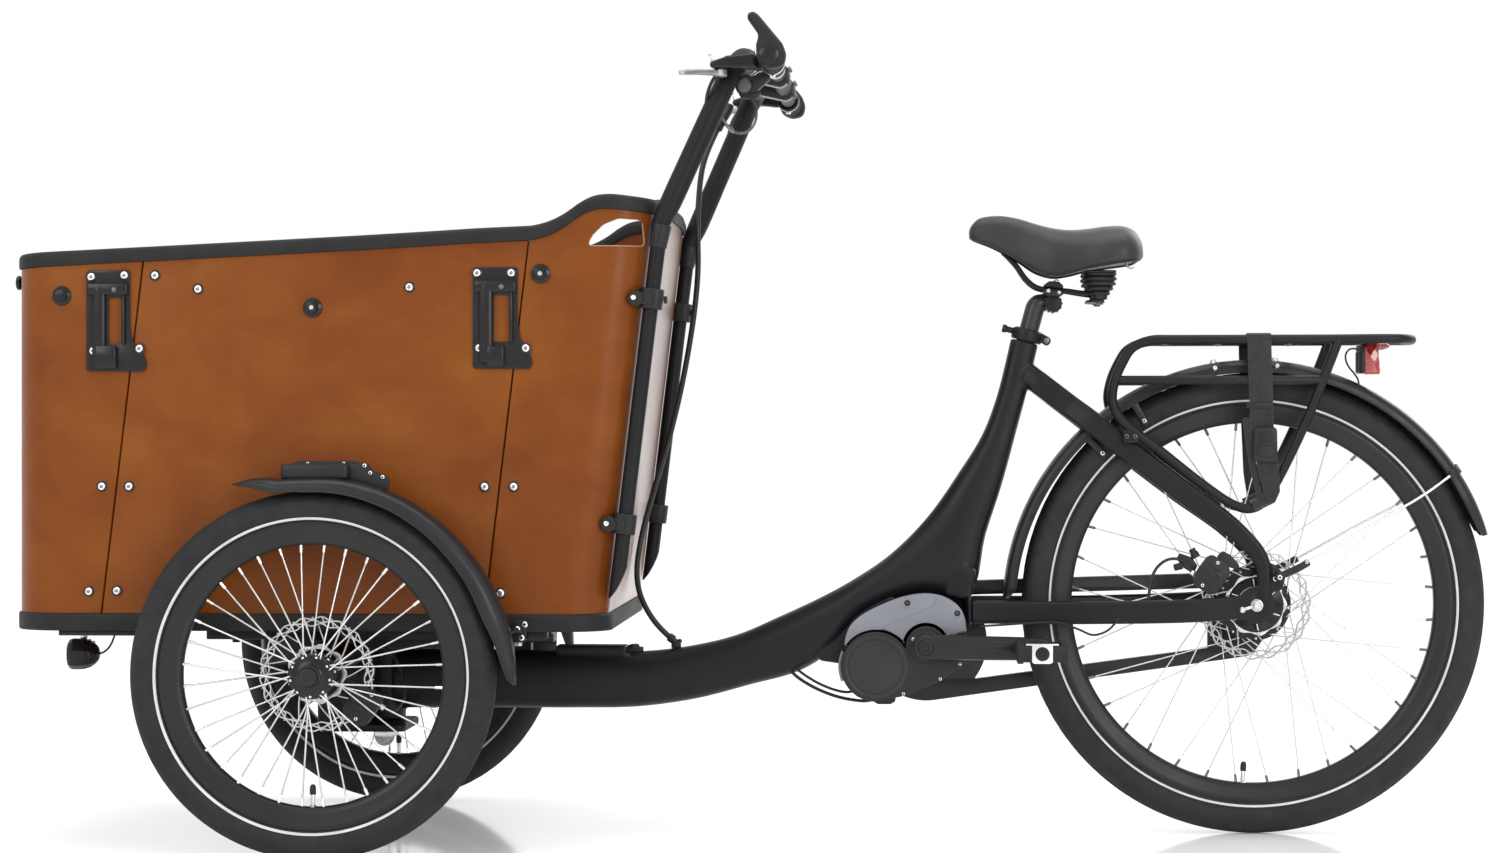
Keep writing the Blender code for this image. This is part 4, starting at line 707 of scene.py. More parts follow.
def plated(outer, holes, y0, y1, bevel=0.0004, res=1):
    """Flat part with holes whose outline is given as (x, z), between two side planes."""
    verts, faces = plate(outer, holes, abs(y1 - y0), bevel, res)
    y = (y0 + y1) / 2
    return [Vector((v[0], y + v[2], v[1])) for v in verts], [tuple(reversed(f)) for f in faces]


def boolean(body, other, operation="DIFFERENCE"):
    step = body.modifiers.new("cut", "BOOLEAN")
    step.operation = operation
    step.solver = "EXACT"
    step.object = other
    graph = bpy.context.evaluated_depsgraph_get()
    graph.update()
    mesh = bpy.data.meshes.new_from_object(body.evaluated_get(graph))
    body.modifiers.clear()
    body.data = mesh
    bpy.data.objects.remove(other, do_unlink=True)
    return body


def loose(name, solid):
    mesh = mesh_from(name, solid.v, solid.f)
    made = bpy.data.objects.new(name, mesh)
    bpy.context.scene.collection.objects.link(made)
    return made


def welded(name, solid, voxel, passes=6, factor=0.5):
    """Shells melted into one skin with soft fillets where they meet, as a welded or cast part."""
    made = loose(name, solid)
    step = made.modifiers.new("melt", "REMESH")
    step.mode = "VOXEL"
    step.voxel_size = voxel
    step = made.modifiers.new("soften", "SMOOTH")
    step.factor = factor
    step.iterations = passes
    graph = bpy.context.evaluated_depsgraph_get()
    graph.update()
    mesh = bpy.data.meshes.new_from_object(made.evaluated_get(graph))
    bpy.data.objects.remove(made, do_unlink=True)
    return mesh


def screw(pos, axis, r=0.0045, head=0.0022, socket=True, sides=24):
    """Domed screw head with a hexagon socket."""
    rings = [(0.0, -0.0015), (r, -0.0015), (r, head * 0.25), (r * 0.94, head * 0.55), (r * 0.80, head * 0.85), (r * 0.55, head)]
    if socket:
        rings += [(r * 0.50, head), (r * 0.46, head * 0.9), (r * 0.40, -0.0002), (0.0, -0.0010)]
    else:
        rings += [(0.0, head * 1.02)]
    return lathe(rings, pos, axis, sides)


def bolt(pos, axis, r=0.005, head=0.004, washer=True):
    """Hexagon head on a washer."""
    out = Solid()
    if washer:
        out.add(lathe([(0.0, -0.001), (r * 1.45, -0.001), (r * 1.45, 0.0007), (r * 1.38, 0.0010), (0.0, 0.0010)], pos, axis, 28))
    hexa = [(r * math.cos(TAU * (k + 0.5) / 6), r * math.sin(TAU * (k + 0.5) / 6)) for k in range(6)]
    out.add(turned_to(slab(hexa, 0.0008, head, "Z", 0.0005), pos, axis))
    return out


def join(*solids):
    out = Solid()
    for s in solids:
        k = len(out.v)
        out.v += list(s.v)
        out.f += [tuple(i + k for i in face) for face in s.f]
    return out


# ------------------------------------------------------------------ wheels
def tyre(centre, radius, half_w, rim_r, body, name, steps, pitch):
    """City tyre: centre rib with grooves, sipes and shoulder blocks, ribbed sidewall, bead."""
    rc = radius - half_w
    rows = []
    marks = []
    outer = [0, 5, 9, 10.5, 12.5, 14, 19, 23, 24.5, 26.5, 28, 34, 40, 46, 51, 55, 60, 66, 73, 81, 90, 99, 107, 114, 118, 119.5, 121.5, 123, 128, 133, 138]
    for deg in outer:
        t = math.radians(deg)
        r = rc + half_w * math.cos(t)
        y = half_w * math.sin(t)
        if deg < 60:
            r -= 0.0006 * (deg / 60) ** 2
        if deg in (10.5, 12.5, 24.5, 26.5):
            r -= 0.0012
        if deg in (119.5, 121.5):
            y += 0.0005
        rows.append((r, y))
        marks.append(deg)
    bead = [(rim_r + 0.0010, 0.0128), (rim_r - 0.0030, 0.0112), (rim_r - 0.0040, 0.0090)]
    half = rows + bead
    profile = half + [(r, -y) for r, y in reversed(half[1:])]
    kinds = marks + [200, 201, 202] + list(reversed(marks[1:] + [200, 201, 202]))

    def wave(s, k, r, h):
        deg = kinds[k]
        step = s % pitch
        if 28 <= deg <= 51:
            shift = 0 if h > 0 else pitch // 2
            if (s + shift) % pitch == 0:
                r -= 0.0016
        elif deg in (55, 60):
            shift = 0 if h > 0 else pitch // 2
            if (s + shift) % pitch == 0:
                r -= 0.0007
                h -= math.copysign(0.0005, h)
        elif 14 <= deg <= 23:
            shift = pitch // 4 if h > 0 else 3 * pitch // 4
            if (s + shift) % pitch == 0:
                r -= 0.0008
        elif deg in (0, 5) and step == pitch // 2:
            r -= 0.0006
        return r, h

    ring = Solid()
    ring.add(lathe(profile, centre, steps=steps, closed=True, wave=wave))
    return piece(name, ring, TYRE, body, [name.replace("_skin", "")], 32)


def stripe(centre, radius, half_w, r_mid, width, body, name):
    """Light reflective ring moulded into each sidewall."""
    rc = radius - half_w
    made = Solid()
    for s in (-1, 1):
        pts = []
        lo, hi = r_mid - width / 2, r_mid + width / 2
        for r in (lo, lo + width * 0.25, r_mid, hi - width * 0.25, hi):
            y = math.sqrt(max(0.0, half_w**2 - (r - rc) ** 2))
            n = Vector((r - rc, y)).normalized()
            lift = 0.0006 if r in (lo, hi) else 0.0009
            pts.append((r + n.x * lift * 0.5, s * (y + n.y * lift)))
        back = [(hi, s * (abs(pts[-1][1]) - 0.0022)), (lo, s * (abs(pts[0][1]) - 0.0022))]
        made.add(lathe(pts + back, centre, steps=160, closed=True))
    return piece(name, made, STRIPE, body, (), 50)


def rim(centre, r0, r1, body, name, replaces):
    """Double wall rim with hooked flanges, brake track and a spoke bed."""
    half = [
        (r0, 0.0), (r0, 0.0046), (r0 + 0.0010, 0.0070), (r0 + 0.0042, 0.0098), (r0 + 0.0100, 0.0116), (r1 - 0.0075, 0.0128),
        (r1 - 0.0060, 0.0134), (r1 - 0.0010, 0.0136), (r1 + 0.0006, 0.0133), (r1 + 0.0010, 0.0125), (r1 + 0.0003, 0.0116), (r1 - 0.0035, 0.0108), (r1 - 0.0060, 0.0098), (r1 - 0.0068, 0.0050), (r1 - 0.0085, 0.0),
    ]
    profile = half + [(r, -y) for r, y in reversed(half[1:-1])]
    made = Solid().add(lathe(profile, centre, steps=180, closed=True))
    return piece(name, made, RIM, body, replaces, 30)


def spokes(centre, r0, flange_r, flange_y, body, name, count=36, cross=58, thick=0.00105, tips=None):
    """Crossed spokes with their heads, elbows and nipples."""
    cx, cy, cz = centre
    wires, nipples = Solid(), Solid()
    for k in range(count):
        a_rim = math.radians(360 / count * k + 180 / count)
        side = -1 if k % 2 else 1
        lead = 1 if (k // 2) % 2 else -1
        a_hub = a_rim - lead * math.radians(cross)
        rr = flange_r - 0.0035
        hub = Vector((cx + rr * math.cos(a_hub), cy + side * (flange_y + lead * 0.0030), cz + rr * math.sin(a_hub)))
        foot = Vector((hub.x, cy + side * (flange_y - lead * 0.0034), hub.z))
        end = Vector((cx + (r0 + 0.002) * math.cos(a_rim), cy + side * 0.0030, cz + (r0 + 0.002) * math.sin(a_rim)))
        d = (end - hub).normalized()
        wires.add(tube([foot, foot.lerp(hub, 0.62), hub + d * 0.0016, hub + d * 0.006, end], thick, 8, 2, ends=0.0004))
        wires.add(lathe([(0, -0.0012), (0.0019, -0.0008), (0.0021, 0.0), (0.0016, 0.0007), (0, 0.0009)], foot, (0, -side * lead, 0), 10))
        nip = end - d * 0.0125
        nipples.add(lathe([(0, 0), (0.0013, 0), (0.0021, 0.0012), (0.0021, 0.0100), (0.0026, 0.0112), (0.0026, 0.0150), (0, 0.0150)], nip, d, 8))
    wires_piece = piece(name + "_wires", wires, SPOKE, body, (), 50)
    nip_piece = piece(name + "_nipples", nipples, tips or ZINC, body, (), 35)
    return wires_piece, nip_piece


def valve(centre, r0, angle, body, name):
    cx, cy, cz = centre
    d = Vector((math.cos(math.radians(angle)), 0, math.sin(math.radians(angle))))
    base = Vector(centre) + d * (r0 + 0.001)
    stem = Solid()
    stem.add(lathe([(0, -0.001), (0.0055, -0.001), (0.0055, 0.0015), (0.0040, 0.0026), (0.0032, 0.0030), (0.0032, 0.018), (0.0028, 0.019), (0, 0.019)], base, -d, 20))
    piece(name + "_stem", stem, STEEL, body, (), 35)
    cap = Solid().add(lathe([(0, 0.0175), (0.0042, 0.0175), (0.0044, 0.019), (0.0044, 0.026), (0.0038, 0.029), (0.0022, 0.031), (0, 0.0314)], base, -d, 18))
    return piece(name + "_cap", cap, PLASTIC, body, (), 35)


def hub(centre, flange_r, flange_y, shell_r, ends, body, name, cap_r, cap_side, holes=18):
    """Hub shell with flanges, waisted barrel and an end cap."""
    cx, cy, cz = centre
    f = flange_y
    made = Solid()
    (l_y, l_r), (r_y, r_r) = ends
    profile = [
        (0.0, l_y), (l_r * 0.80, l_y), (l_r * 0.96, l_y + 0.0008), (l_r, l_y + 0.0025), (l_r, -f - 0.0052), (l_r + 0.0020, -f - 0.0040),
        (flange_r - 0.0065, -f - 0.0026), (flange_r - 0.0010, -f - 0.0022), (flange_r, -f - 0.0012), (flange_r, -f + 0.0012), (flange_r - 0.0010, -f + 0.0022),
        (flange_r - 0.0065, -f + 0.0030), (shell_r + 0.0030, -f + 0.0048), (shell_r + 0.0006, -f + 0.0085), (shell_r - 0.0008, -f * 0.45), (shell_r - 0.0012, 0.0),
    ]
    other = [
        (shell_r - 0.0008, f * 0.45), (shell_r + 0.0006, f - 0.0085), (shell_r + 0.0030, f - 0.0048), (flange_r - 0.0065, f - 0.0030), (flange_r - 0.0010, f - 0.0022),
        (flange_r, f - 0.0012), (flange_r, f + 0.0012), (flange_r - 0.0010, f + 0.0022), (flange_r - 0.0065, f + 0.0026), (r_r + 0.0020, f + 0.0040),
        (r_r, f + 0.0052), (r_r, r_y - 0.0025), (r_r * 0.96, r_y - 0.0008), (r_r * 0.80, r_y), (0.0, r_y),
    ]
    made.add(lathe(profile + other, centre, steps=72))
    piece(name, made, GLOSSY, body, (), 30)
    if cap_r:
        y = l_y if cap_side < 0 else r_y
        cap = Solid().add(lathe([
            (0.0, -0.002), (cap_r, -0.002), (cap_r, 0.0030), (cap_r * 0.97, 0.0042), (cap_r * 0.86, 0.0050), (cap_r * 0.80, 0.0048), (cap_r * 0.76, 0.0030),
            (cap_r * 0.50, 0.0026), (cap_r * 0.46, 0.0040), (cap_r * 0.30, 0.0046), (0.0, 0.0047),
        ], (cx, cy + y, cz), (0, cap_side, 0), 48))
        piece(name + "_cap", cap, PLASTIC, body, (), 30)


def rotor(centre, y, side, body, name, inner, replaces, mat, g=1.0):
    """Wave-edged brake disc: two interlaced wavy bands with slanted webs, carried by swept arms."""
    cx, _, cz = centre

    def at(r, t):
        return (cx + r * math.cos(t), y, cz + r * math.sin(t))

    made = Solid()
    n = 320
    flat = [(0.0034, 0.00090), (0.0031, 0.00085), (0.0030, 0.00080)]
    for (wide, thick), mean, phase in zip(flat, (0.0768, 0.0722, 0.0674), (0.0, math.pi, 0.0), strict=True):
        line = [at(mean + 0.0016 * math.sin(18 * TAU * k / n + phase), TAU * k / n) for k in range(n)]
        made.add(sweep(line, [(-wide, -thick), (wide, -thick), (wide, thick), (-wide, thick)] if side < 0 else [(-wide, -thick), (wide, -thick), (wide, thick), (-wide, thick)], (0, 1, 0), True))
    for k in range(36):
        t = TAU * k / 36
        a, b = at(0.0668, t), at(0.0782, t + 0.085)
        made.add(sweep([a, b], [(-0.0018, -0.00075), (0.0018, -0.00075), (0.0018, 0.00075), (-0.0018, 0.00075)], (0, 1, 0)))
    for k in range(9):
        t = TAU * k / 9
        made.add(sweep(smooth([at(0.0370 * g, t - 0.16), at(0.0480 + 0.02 * (g - 1), t - 0.02), at(0.0590, t + 0.09), at(0.0690, t + 0.15)], 5), lambda s: [(-0.0036 + 0.0010 * s, -0.0007), (0.0036 - 0.0010 * s, -0.0007), (0.0036 - 0.0010 * s, 0.0007), (-0.0036 + 0.0010 * s, 0.0007)], (0, 1, 0)))
    piece(name + "_face", made, mat, body, replaces, 30)
    carrier = Solid()
    pts = []
    for k in range(180):
        t = TAU * k / 180
        r = (0.0395 + 0.0018 * math.cos(9 * t)) * g
        pts.append((cx + r * math.cos(t), cz + r * math.sin(t)))
    ring = [(cx + x, cz + z) for x, z in circle(0.0340 * g * g, 64)]
    carrier.add(plated(pts, [ring], y - 0.0012, y + 0.0012, 0.0002))
    for k in range(6):
        t = TAU * (k + 0.5) / 6
        carrier.add(sweep([at(0.0200, t), at(0.0345 * g, t + 0.10)], round_rect(0.0034, 0.0009, 0.0004, 2), (0, 1, 0)))
    carrier.add(plated([(cx + x, cz + z) for x, z in circle(0.0262, 64)], [[(cx + x, cz + z) for x, z in circle(inner, 48)]], y - 0.0011, y + 0.0011, 0.0002))
    for k in range(9):
        x, _, z = at(0.0392 * g, TAU * k / 9)
        carrier.add(lathe([(0, -0.0022), (0.0024, -0.0020), (0.0026, -0.0012), (0.0026, 0.0012), (0.0024, 0.0020), (0, 0.0022)], (x, y, z), (0, side, 0), 16))
    # carrier in the lighter copy of the disc steel, whose extra brightness is painted light
    piece(name + "_carrier", carrier, DISC_PAINTED_BRIGHT, body, (), 32)
    bolts = Solid()
    for k in range(6):
        x, _, z = at(0.0220, TAU * (k + 0.5) / 6)
        bolts.add(screw((x, y + side * 0.0010, z), (0, side, 0), 0.0042, 0.0020, True, 16))
    piece(name + "_bolts", bolts, ZINC, body, (), 35)


REAR = (0.0, 0.0, REAR_R)
tyre(REAR, REAR_R, 0.0240, REAR_RIM[1], "rear_wheel", "rear_tyre_skin", 432, 6)
stripe(REAR, REAR_R, 0.0240, 0.2925, 0.0030, "rear_wheel", "rear_tyre_stripes")
rim(REAR, *REAR_RIM, "rear_wheel", "rear_rim", ["rear_rim_and_hub"])
hub(REAR, 0.0530, 0.0270, 0.0310, ((-0.0500, 0.0190), (0.0500, 0.0165)), "rear_wheel", "rear_hub", 0.0, -1)
spokes(REAR, REAR_RIM[0], 0.0530, 0.0270, "rear_wheel", "rear_spokes", thick=0.00095, tips=DARK_STEEL)
valve(REAR, REAR_RIM[0], 267, "rear_wheel", "rear_valve")
rotor(REAR, -0.0540, -1, "rear_wheel", "rear_disc", 0.0150, ["rear_brake_disc"], DISC, 1.08)

for side_name, sgn in (("left", -1), ("right", 1)):
    C = (FX, sgn * HALF_TRACK, FRONT_R)
    wheel = side_name + "_front_wheel"
    tyre(C, FRONT_R, 0.0230, FRONT_RIM[1], wheel, side_name + "_front_tyre_skin", 336, 6)
    stripe(C, FRONT_R, 0.0230, 0.2135, 0.0034, wheel, side_name + "_front_tyre_stripes")
    rim(C, 0.1775, FRONT_RIM[1], wheel, side_name + "_front_rim", [side_name + "_front_rim_and_hub"])
    ends = ((-0.0330, 0.0150), (0.0300, 0.0170)) if sgn < 0 else ((-0.0300, 0.0170), (0.0330, 0.0150))
    hub(C, 0.0305, 0.0205, 0.0165, ends, wheel, side_name + "_front_hub", 0.0165, sgn)
    spokes(C, 0.1775, 0.0305, 0.0205, wheel, side_name + "_front_spokes", cross=16, thick=0.00125)
    valve(C, 0.1775, 270, wheel, side_name + "_front_valve")
    # front disc faces in the lighter copy of the disc steel, whose extra brightness is painted light
    rotor(C, sgn * (HALF_TRACK - 0.0320), sgn, wheel, side_name + "_front_disc", 0.0150, [side_name + "_front_brake_disc"], DISC_PAINTED_BRIGHT)


# ------------------------------------------------------------------ main frame and stays
def along_seat(z, off=0.0):
    """Point on the seat tube's axis at height z, moved off to the rear by off."""
    s = 1 / math.sqrt(1 + SEAT_SLOPE * SEAT_SLOPE)
    return Vector((SEAT_POINT[0] + SEAT_SLOPE * (z - SEAT_POINT[1]) + off * s, 0, z - off * SEAT_SLOPE * s))


def frame_tube():
    """Swept main tube that turns up into the seat tube."""
    upper = [
        (-1.245, 0.262), (-1.100, 0.262), (-0.980, 0.260), (-0.900, 0.259),
        (-0.820, 0.267), (-0.747, 0.284), (-0.684, 0.311), (-0.620, 0.341),
        (-0.575, 0.366), (-0.524, 0.401), (-0.470, 0.455), (-0.422, 0.523),
        (-0.390, 0.575), (-0.3695, 0.628), (-0.356, 0.680), (-0.348, 0.7155),
    ]
    lower = [
        (-1.245, 0.176), (-1.100, 0.177), (-0.980, 0.177), (-0.890, 0.179),
        (-0.805, 0.191), (-0.725, 0.212), (-0.652, 0.233), (-0.600, 0.268),
        (-0.563, 0.3105), (-0.490, 0.3405), (-0.408, 0.3440), (-0.3845, 0.430),
        (-0.362, 0.500), (-0.3415, 0.575), (-0.323, 0.645), (-0.3085, 0.706),
    ]
    half = [0.034] * 9 + [0.033, 0.031, 0.028, 0.025, 0.022, 0.0205, 0.0200]
    per = 5
    top = smooth([(x, 0, z) for x, z in upper], per)
    low = smooth([(x, 0, z) for x, z in lower], per)
    wide = smooth([(k, 0, w) for k, w in enumerate(half)], per)
    rings = []
    for a, b, w in zip(top, low, wide, strict=True):
        mid, rise = (a + b) / 2, (a - b) / 2
        rings.append([mid + rise * s + Vector((0, c * w.z, 0)) for c, s in oval(1.0, 1.0, 36, 0.80)])
    return skin(rings)


def main_frame():
    shells = Solid()
    shells.add(frame_tube())
    shells.add(lathe([(0, 0.1592), (0.0290, 0.1592), (0.0300, 0.1605), (0.0300, 0.2840), (0.0290, 0.2852), (0, 0.2852)], (KINGPIN_X, 0, 0), (0, 0, 1), 40))
    shells.add(slab(outline([(-0.4450, 0.3440), (-0.4200, 0.3900), (-0.3990, 0.3800), (-0.4002, 0.3690), (-0.4050, 0.3450), (-0.4050, 0.3000), (-0.4112, 0.3000), (-0.4112, 0.3400)], 0.0015, 3), -0.0305, 0.0305, "Y", 0.003))
    shells.add(box(-0.4115, -0.4047, -0.0460, 0.0435, 0.3035, 0.3435, 0.003, 0.002))
    wide = [(0.0, 0.0100), (0.33, 0.0205), (0.66, 0.0268), (1.0, 0.0278)]

    def stub(t):
        for (a, p), (b, q) in zip(wide, wide[1:]):
            if t <= b:
                w = p + (q - p) * (t - a) / (b - a)
                break
        return round_rect(w, 0.0165, min(w, 0.0165) * 0.55, 5)

    shells.add(sweep(smooth([(-0.3430, 0, 0.6778), (-0.3250, 0, 0.6640), (-0.3080, 0, 0.6510), (-0.2858, 0, 0.6339)], 5), stub))
    shells.add(box(-1.010, -0.905, -0.022, 0.022, 0.250, 0.2688, 0.004, 0.002))
    mesh = welded("main_frame_skin", shells, 0.0021, 8)
    made = bpy.data.objects.new("main_frame_skin", mesh)
    bpy.context.scene.collection.objects.link(made)
    bore = loose("bore", Solid().add(rod(along_seat(0.505), along_seat(0.780), 0.01470, 48, 0.0001)))
    boolean(made, bore)
    boolean(made, loose("pin_bore", Solid().add(rod((KINGPIN_X, 0, 0.10), (KINGPIN_X, 0, 0.32), 0.01265, 40, 0.0001))))
    return made


made = main_frame()
mesh = made.data
bpy.data.objects.remove(made)
dress(mesh, "main_frame_skin", FRAME, "rear_frame", ["main_frame"], 40)


def stay(sign, f, top, name, replaces):
    """Chain stay, seat stay, drop-out plate and mudguard eye of one side, welded together."""
    shells = Solid()

    def low(t):
        w = f + (0.0065 - f) * min(1.0, max(0.0, (t - 0.08) * 8))
        return [(x, z + (top - 0.0150) / 2) for x, z in round_rect(w, (0.0150 + top) / 2 + 0.0017, min(w * 0.9, 0.0055), 4)]

    shells.add(sweep(smooth([(-0.4040, -0.0335 - f, 0.320), (-0.370, -0.0335 - f, 0.320), (-0.260, -0.0480, 0.320), (-0.120, -0.0665, 0.323), (-0.078, -0.0688, 0.325), (-0.004, -0.0688, 0.331)], 6), low))

    def high(t):
        k = max(0.0, t * 8 - 5)
        a, b = 0.0165 - 0.003 * k, 0.0165 - 0.002 * k
        return [(x, z + (b - a) / 2) for x, z in round_rect(0.0072, (a + b) / 2, 0.0058, 4)]

    shells.add(sweep(smooth([(-0.3120, -0.0175, 0.6541), (-0.2851, -0.0215, 0.63339), (-0.2650, -0.0235, 0.6179), (-0.236, -0.0380, 0.5960), (-0.170, -0.0500, 0.5450), (-0.100, -0.0580, 0.4920), (-0.026, -0.0670, 0.4350), (0.006, -0.0688, 0.3950), (0.010, -0.0688, 0.340)], 6), high))
    shells.add(lathe([(0, -0.0733), (0.0255, -0.0733), (0.0268, -0.0722), (0.0268, -0.0650), (0.0255, -0.0637), (0, -0.0637)], (0, 0, REAR_R), (0, 1, 0), 48))
    shells.add(slab(outline([(0.000, 0.345), (0.036, 0.354), (0.042, 0.374), (0.024, 0.393), (0.002, 0.388)], [0.002, 0.006, 0.008, 0.008, 0.003], 5), -0.0718, -0.0652, "Y", 0.0015))
    mesh = welded(name, shells if sign < 0 else shells.flipped(), 0.00165, 5)
    made = bpy.data.objects.new(name, mesh)
    bpy.context.scene.collection.objects.link(made)
    boolean(made, loose("axle_hole", Solid().add(rod((0, sign * 0.095, REAR_R), (0, sign * 0.050, REAR_R), 0.0062, 32, 0.0001))))
    mesh = made.data
    bpy.data.objects.remove(made)
    return dress(mesh, name, FRAME, "rear_frame", replaces, 40)


stay(-1, 0.0065, 0.0150, "left_stays_skin", ["left_stays"])
stay(1, 0.0045, 0.0185, "right_stays_skin", ["right_stays"])

# stops and guides on the frame, and the rear axle with its nuts
trim = Solid()
trim.add(lathe([(0, 0.0), (0.0085, 0.0), (0.0090, 0.0015), (0.0080, 0.0050), (0.0045, 0.0062), (0, 0.0064)], (-0.897, 0.0, 0.2640), (-0.10, 0, 1), 28))
trim.add(box(-0.9170, -0.8830, -0.0075, 0.0075, 0.2580, 0.2660, 0.003, 0.001))
piece("cable_port", trim, PLASTIC, "rear_frame")

axle = Solid()
for s in (-1, 1):
    axle.add(lathe([(0, 0.0), (0.0058, 0.0), (0.0058, 0.0145), (0.0050, 0.0155), (0, 0.0155)], (0, s * 0.0735, REAR_R), (0, s, 0), 24))
    axle.add(lathe([(0, 0), (0.0092, 0), (0.0094, 0.0012), (0.0088, 0.0020), (0, 0.0020)], (0, s * 0.0734, REAR_R), (0, s, 0), 36))
    hexa = [(0.0084 * math.cos(TAU * k / 6), 0.0084 * math.sin(TAU * k / 6)) for k in range(6)]
    axle.add(turned_to(slab(hexa, 0.0, 0.0090, "Z", 0.0010), (0, s * 0.0752, REAR_R), (0, s, 0)))
    axle.add(lathe([(0, 0), (0.0066, 0), (0.0062, 0.0022), (0.0054, 0.0030), (0, 0.0030)], (0, s * 0.0838, REAR_R), (0, s, 0), 28))
axle.add(rod((0, -0.0740, REAR_R), (0, 0.0740, REAR_R), 0.0056, 24))
axle.add(rod((-0.0050, -0.0775, 0.3312), (-0.0190, -0.0775, 0.3268), 0.0026, 20, 0.0004))
axle.add(lathe([(0, -0.0038), (0.0030, -0.0034), (0.0044, -0.0018), (0.0046, 0.0), (0.0044, 0.0018), (0.0030, 0.0034), (0, 0.0038)], (-0.0205, -0.0775, 0.3263), (0, 1, 0), 24))
axle.add(screw((0.0264, -0.0716, 0.3705), (0, -1, 0), 0.0042, 0.0022))
piece("rear_axle_nuts", axle, STEEL, "rear_frame", ["rear_axle"], 30)


# ------------------------------------------------------------------ steered carrier under the box
def yoke():
    shells = Solid()
    shells.add(box(-1.350, -1.010, -0.0740, 0.0740, 0.2864, 0.3092, 0.012, 0.002))
    shells.add(box(-1.350, -1.222, -0.0740, 0.0740, 0.1462, 0.1582, 0.012, 0.002))
    for s in (-1, 1):
        shells.add(box(-1.350, -1.276, s * 0.0620, s * 0.0740, 0.1480, 0.3000, 0.004, 0.002))
        shells.add(sweep([(FX, s * 0.068, 0.250), (FX, s * 0.333, 0.250)], round_rect(0.0198, 0.0198, 0.006, 5), (1, 0, 0), ends=0.0))
        shells.add(box(-1.060, -1.025, s * 0.0650, s * 0.2895, 0.2902, 0.3092, 0.003, 0.002))
        shells.add(rod((FX, s * 0.3290, FRONT_R), (FX, s * 0.3440, FRONT_R), 0.0155, 32, 0.002))
        gusset = slab(outline([(s * 0.070, 0.268), (s * 0.190, 0.268), (s * 0.072, 0.300)], 0.004, 4), FX - 0.004, FX + 0.004, "X", 0.001)
        shells.add(gusset)
    shells.add(box(-1.058, -1.012, -0.0300, 0.0300, 0.2732, 0.2900, 0.006, 0.002))
    mesh = welded("axle_yoke_skin", shells, 0.0023, 4)
    made = bpy.data.objects.new("axle_yoke_skin", mesh)
    bpy.context.scene.collection.objects.link(made)
    boolean(made, loose("pin_hole", Solid().add(rod((KINGPIN_X, 0, 0.10), (KINGPIN_X, 0, 0.33), 0.01265, 40, 0.0001))))
    mesh = made.data
    bpy.data.objects.remove(made)
    return dress(mesh, "axle_yoke_skin", FRAME, "front_carrier", ["axle_yoke"], 40)


yoke()
stubs = Solid()
caps = Solid()
for s in (-1, 1):
    stubs.add(rod((FX, s * 0.3420, FRONT_R), (FX, s * 0.4200, FRONT_R), 0.0099, 32, 0.001))
    caps.add(lathe([(0, -0.0010), (0.0128, -0.0010), (0.0130, 0.0), (0.0130, 0.0052), (0.0120, 0.0068), (0.0098, 0.0074), (0.0090, 0.0068), (0.0060, 0.0064), (0, 0.0064)], (FX, s * 0.4155, FRONT_R), (0, s, 0), 40))
piece("stub_axles", stubs, STEEL, "front_carrier")
piece("axle_caps", caps, PLASTIC, "front_carrier")

pin = Solid()
pin.add(lathe([(0, 0.1330), (0.0112, 0.1330), (0.0120, 0.1342), (0.0120, 0.3078), (0.0112, 0.3088), (0, 0.3088)], (KINGPIN_X, 0, 0), (0, 0, 1), 36))
hexa = [(0.0190 * math.cos(TAU * (k + 0.5) / 6), 0.0190 * math.sin(TAU * (k + 0.5) / 6)) for k in range(6)]
pin.add(turned_to(slab(hexa, 0.0, 0.0112, "Z", 0.0016), (KINGPIN_X, 0, 0.1455), (0, 0, -1)))
piece("kingpin_bolt", pin, STEEL, "front_carrier", ["kingpin"], 30)


# ------------------------------------------------------------------ box
SEAM1, SEAM2 = -1.6080, -1.0770
TOP_LINE = [
    (-1.7355, 0.8060), (-1.550, 0.8150), (-1.195, 0.8330), (-1.088, 0.8395), (-1.020, 0.8420), (-0.990, 0.8490),
    (-0.968, 0.8600), (-0.948, 0.8740), (-0.930, 0.8830), (-0.908, 0.8860), (-0.880, 0.8830), (-0.845, 0.8780),
]
TOP_CURVE = smooth([(x, 0, z) for x, z in TOP_LINE], 8)
HAND_HOLE = [(-0.937, 0.8355), (-0.927, 0.8515), (-0.913, 0.8650), (-0.893, 0.8730), (-0.861, 0.8715), (-0.8585, 0.8390), (-0.8620, 0.8355)]


def top_edge(x):
    """Height of the wood's top edge at x."""
    if x <= TOP_CURVE[0].x:
        return TOP_CURVE[0].z
    for a, b in zip(TOP_CURVE, TOP_CURVE[1:]):
        if x <= b.x:
            return a.z + (b.z - a.z) * (x - a.x) / (b.x - a.x)
    return TOP_CURVE[-1].z


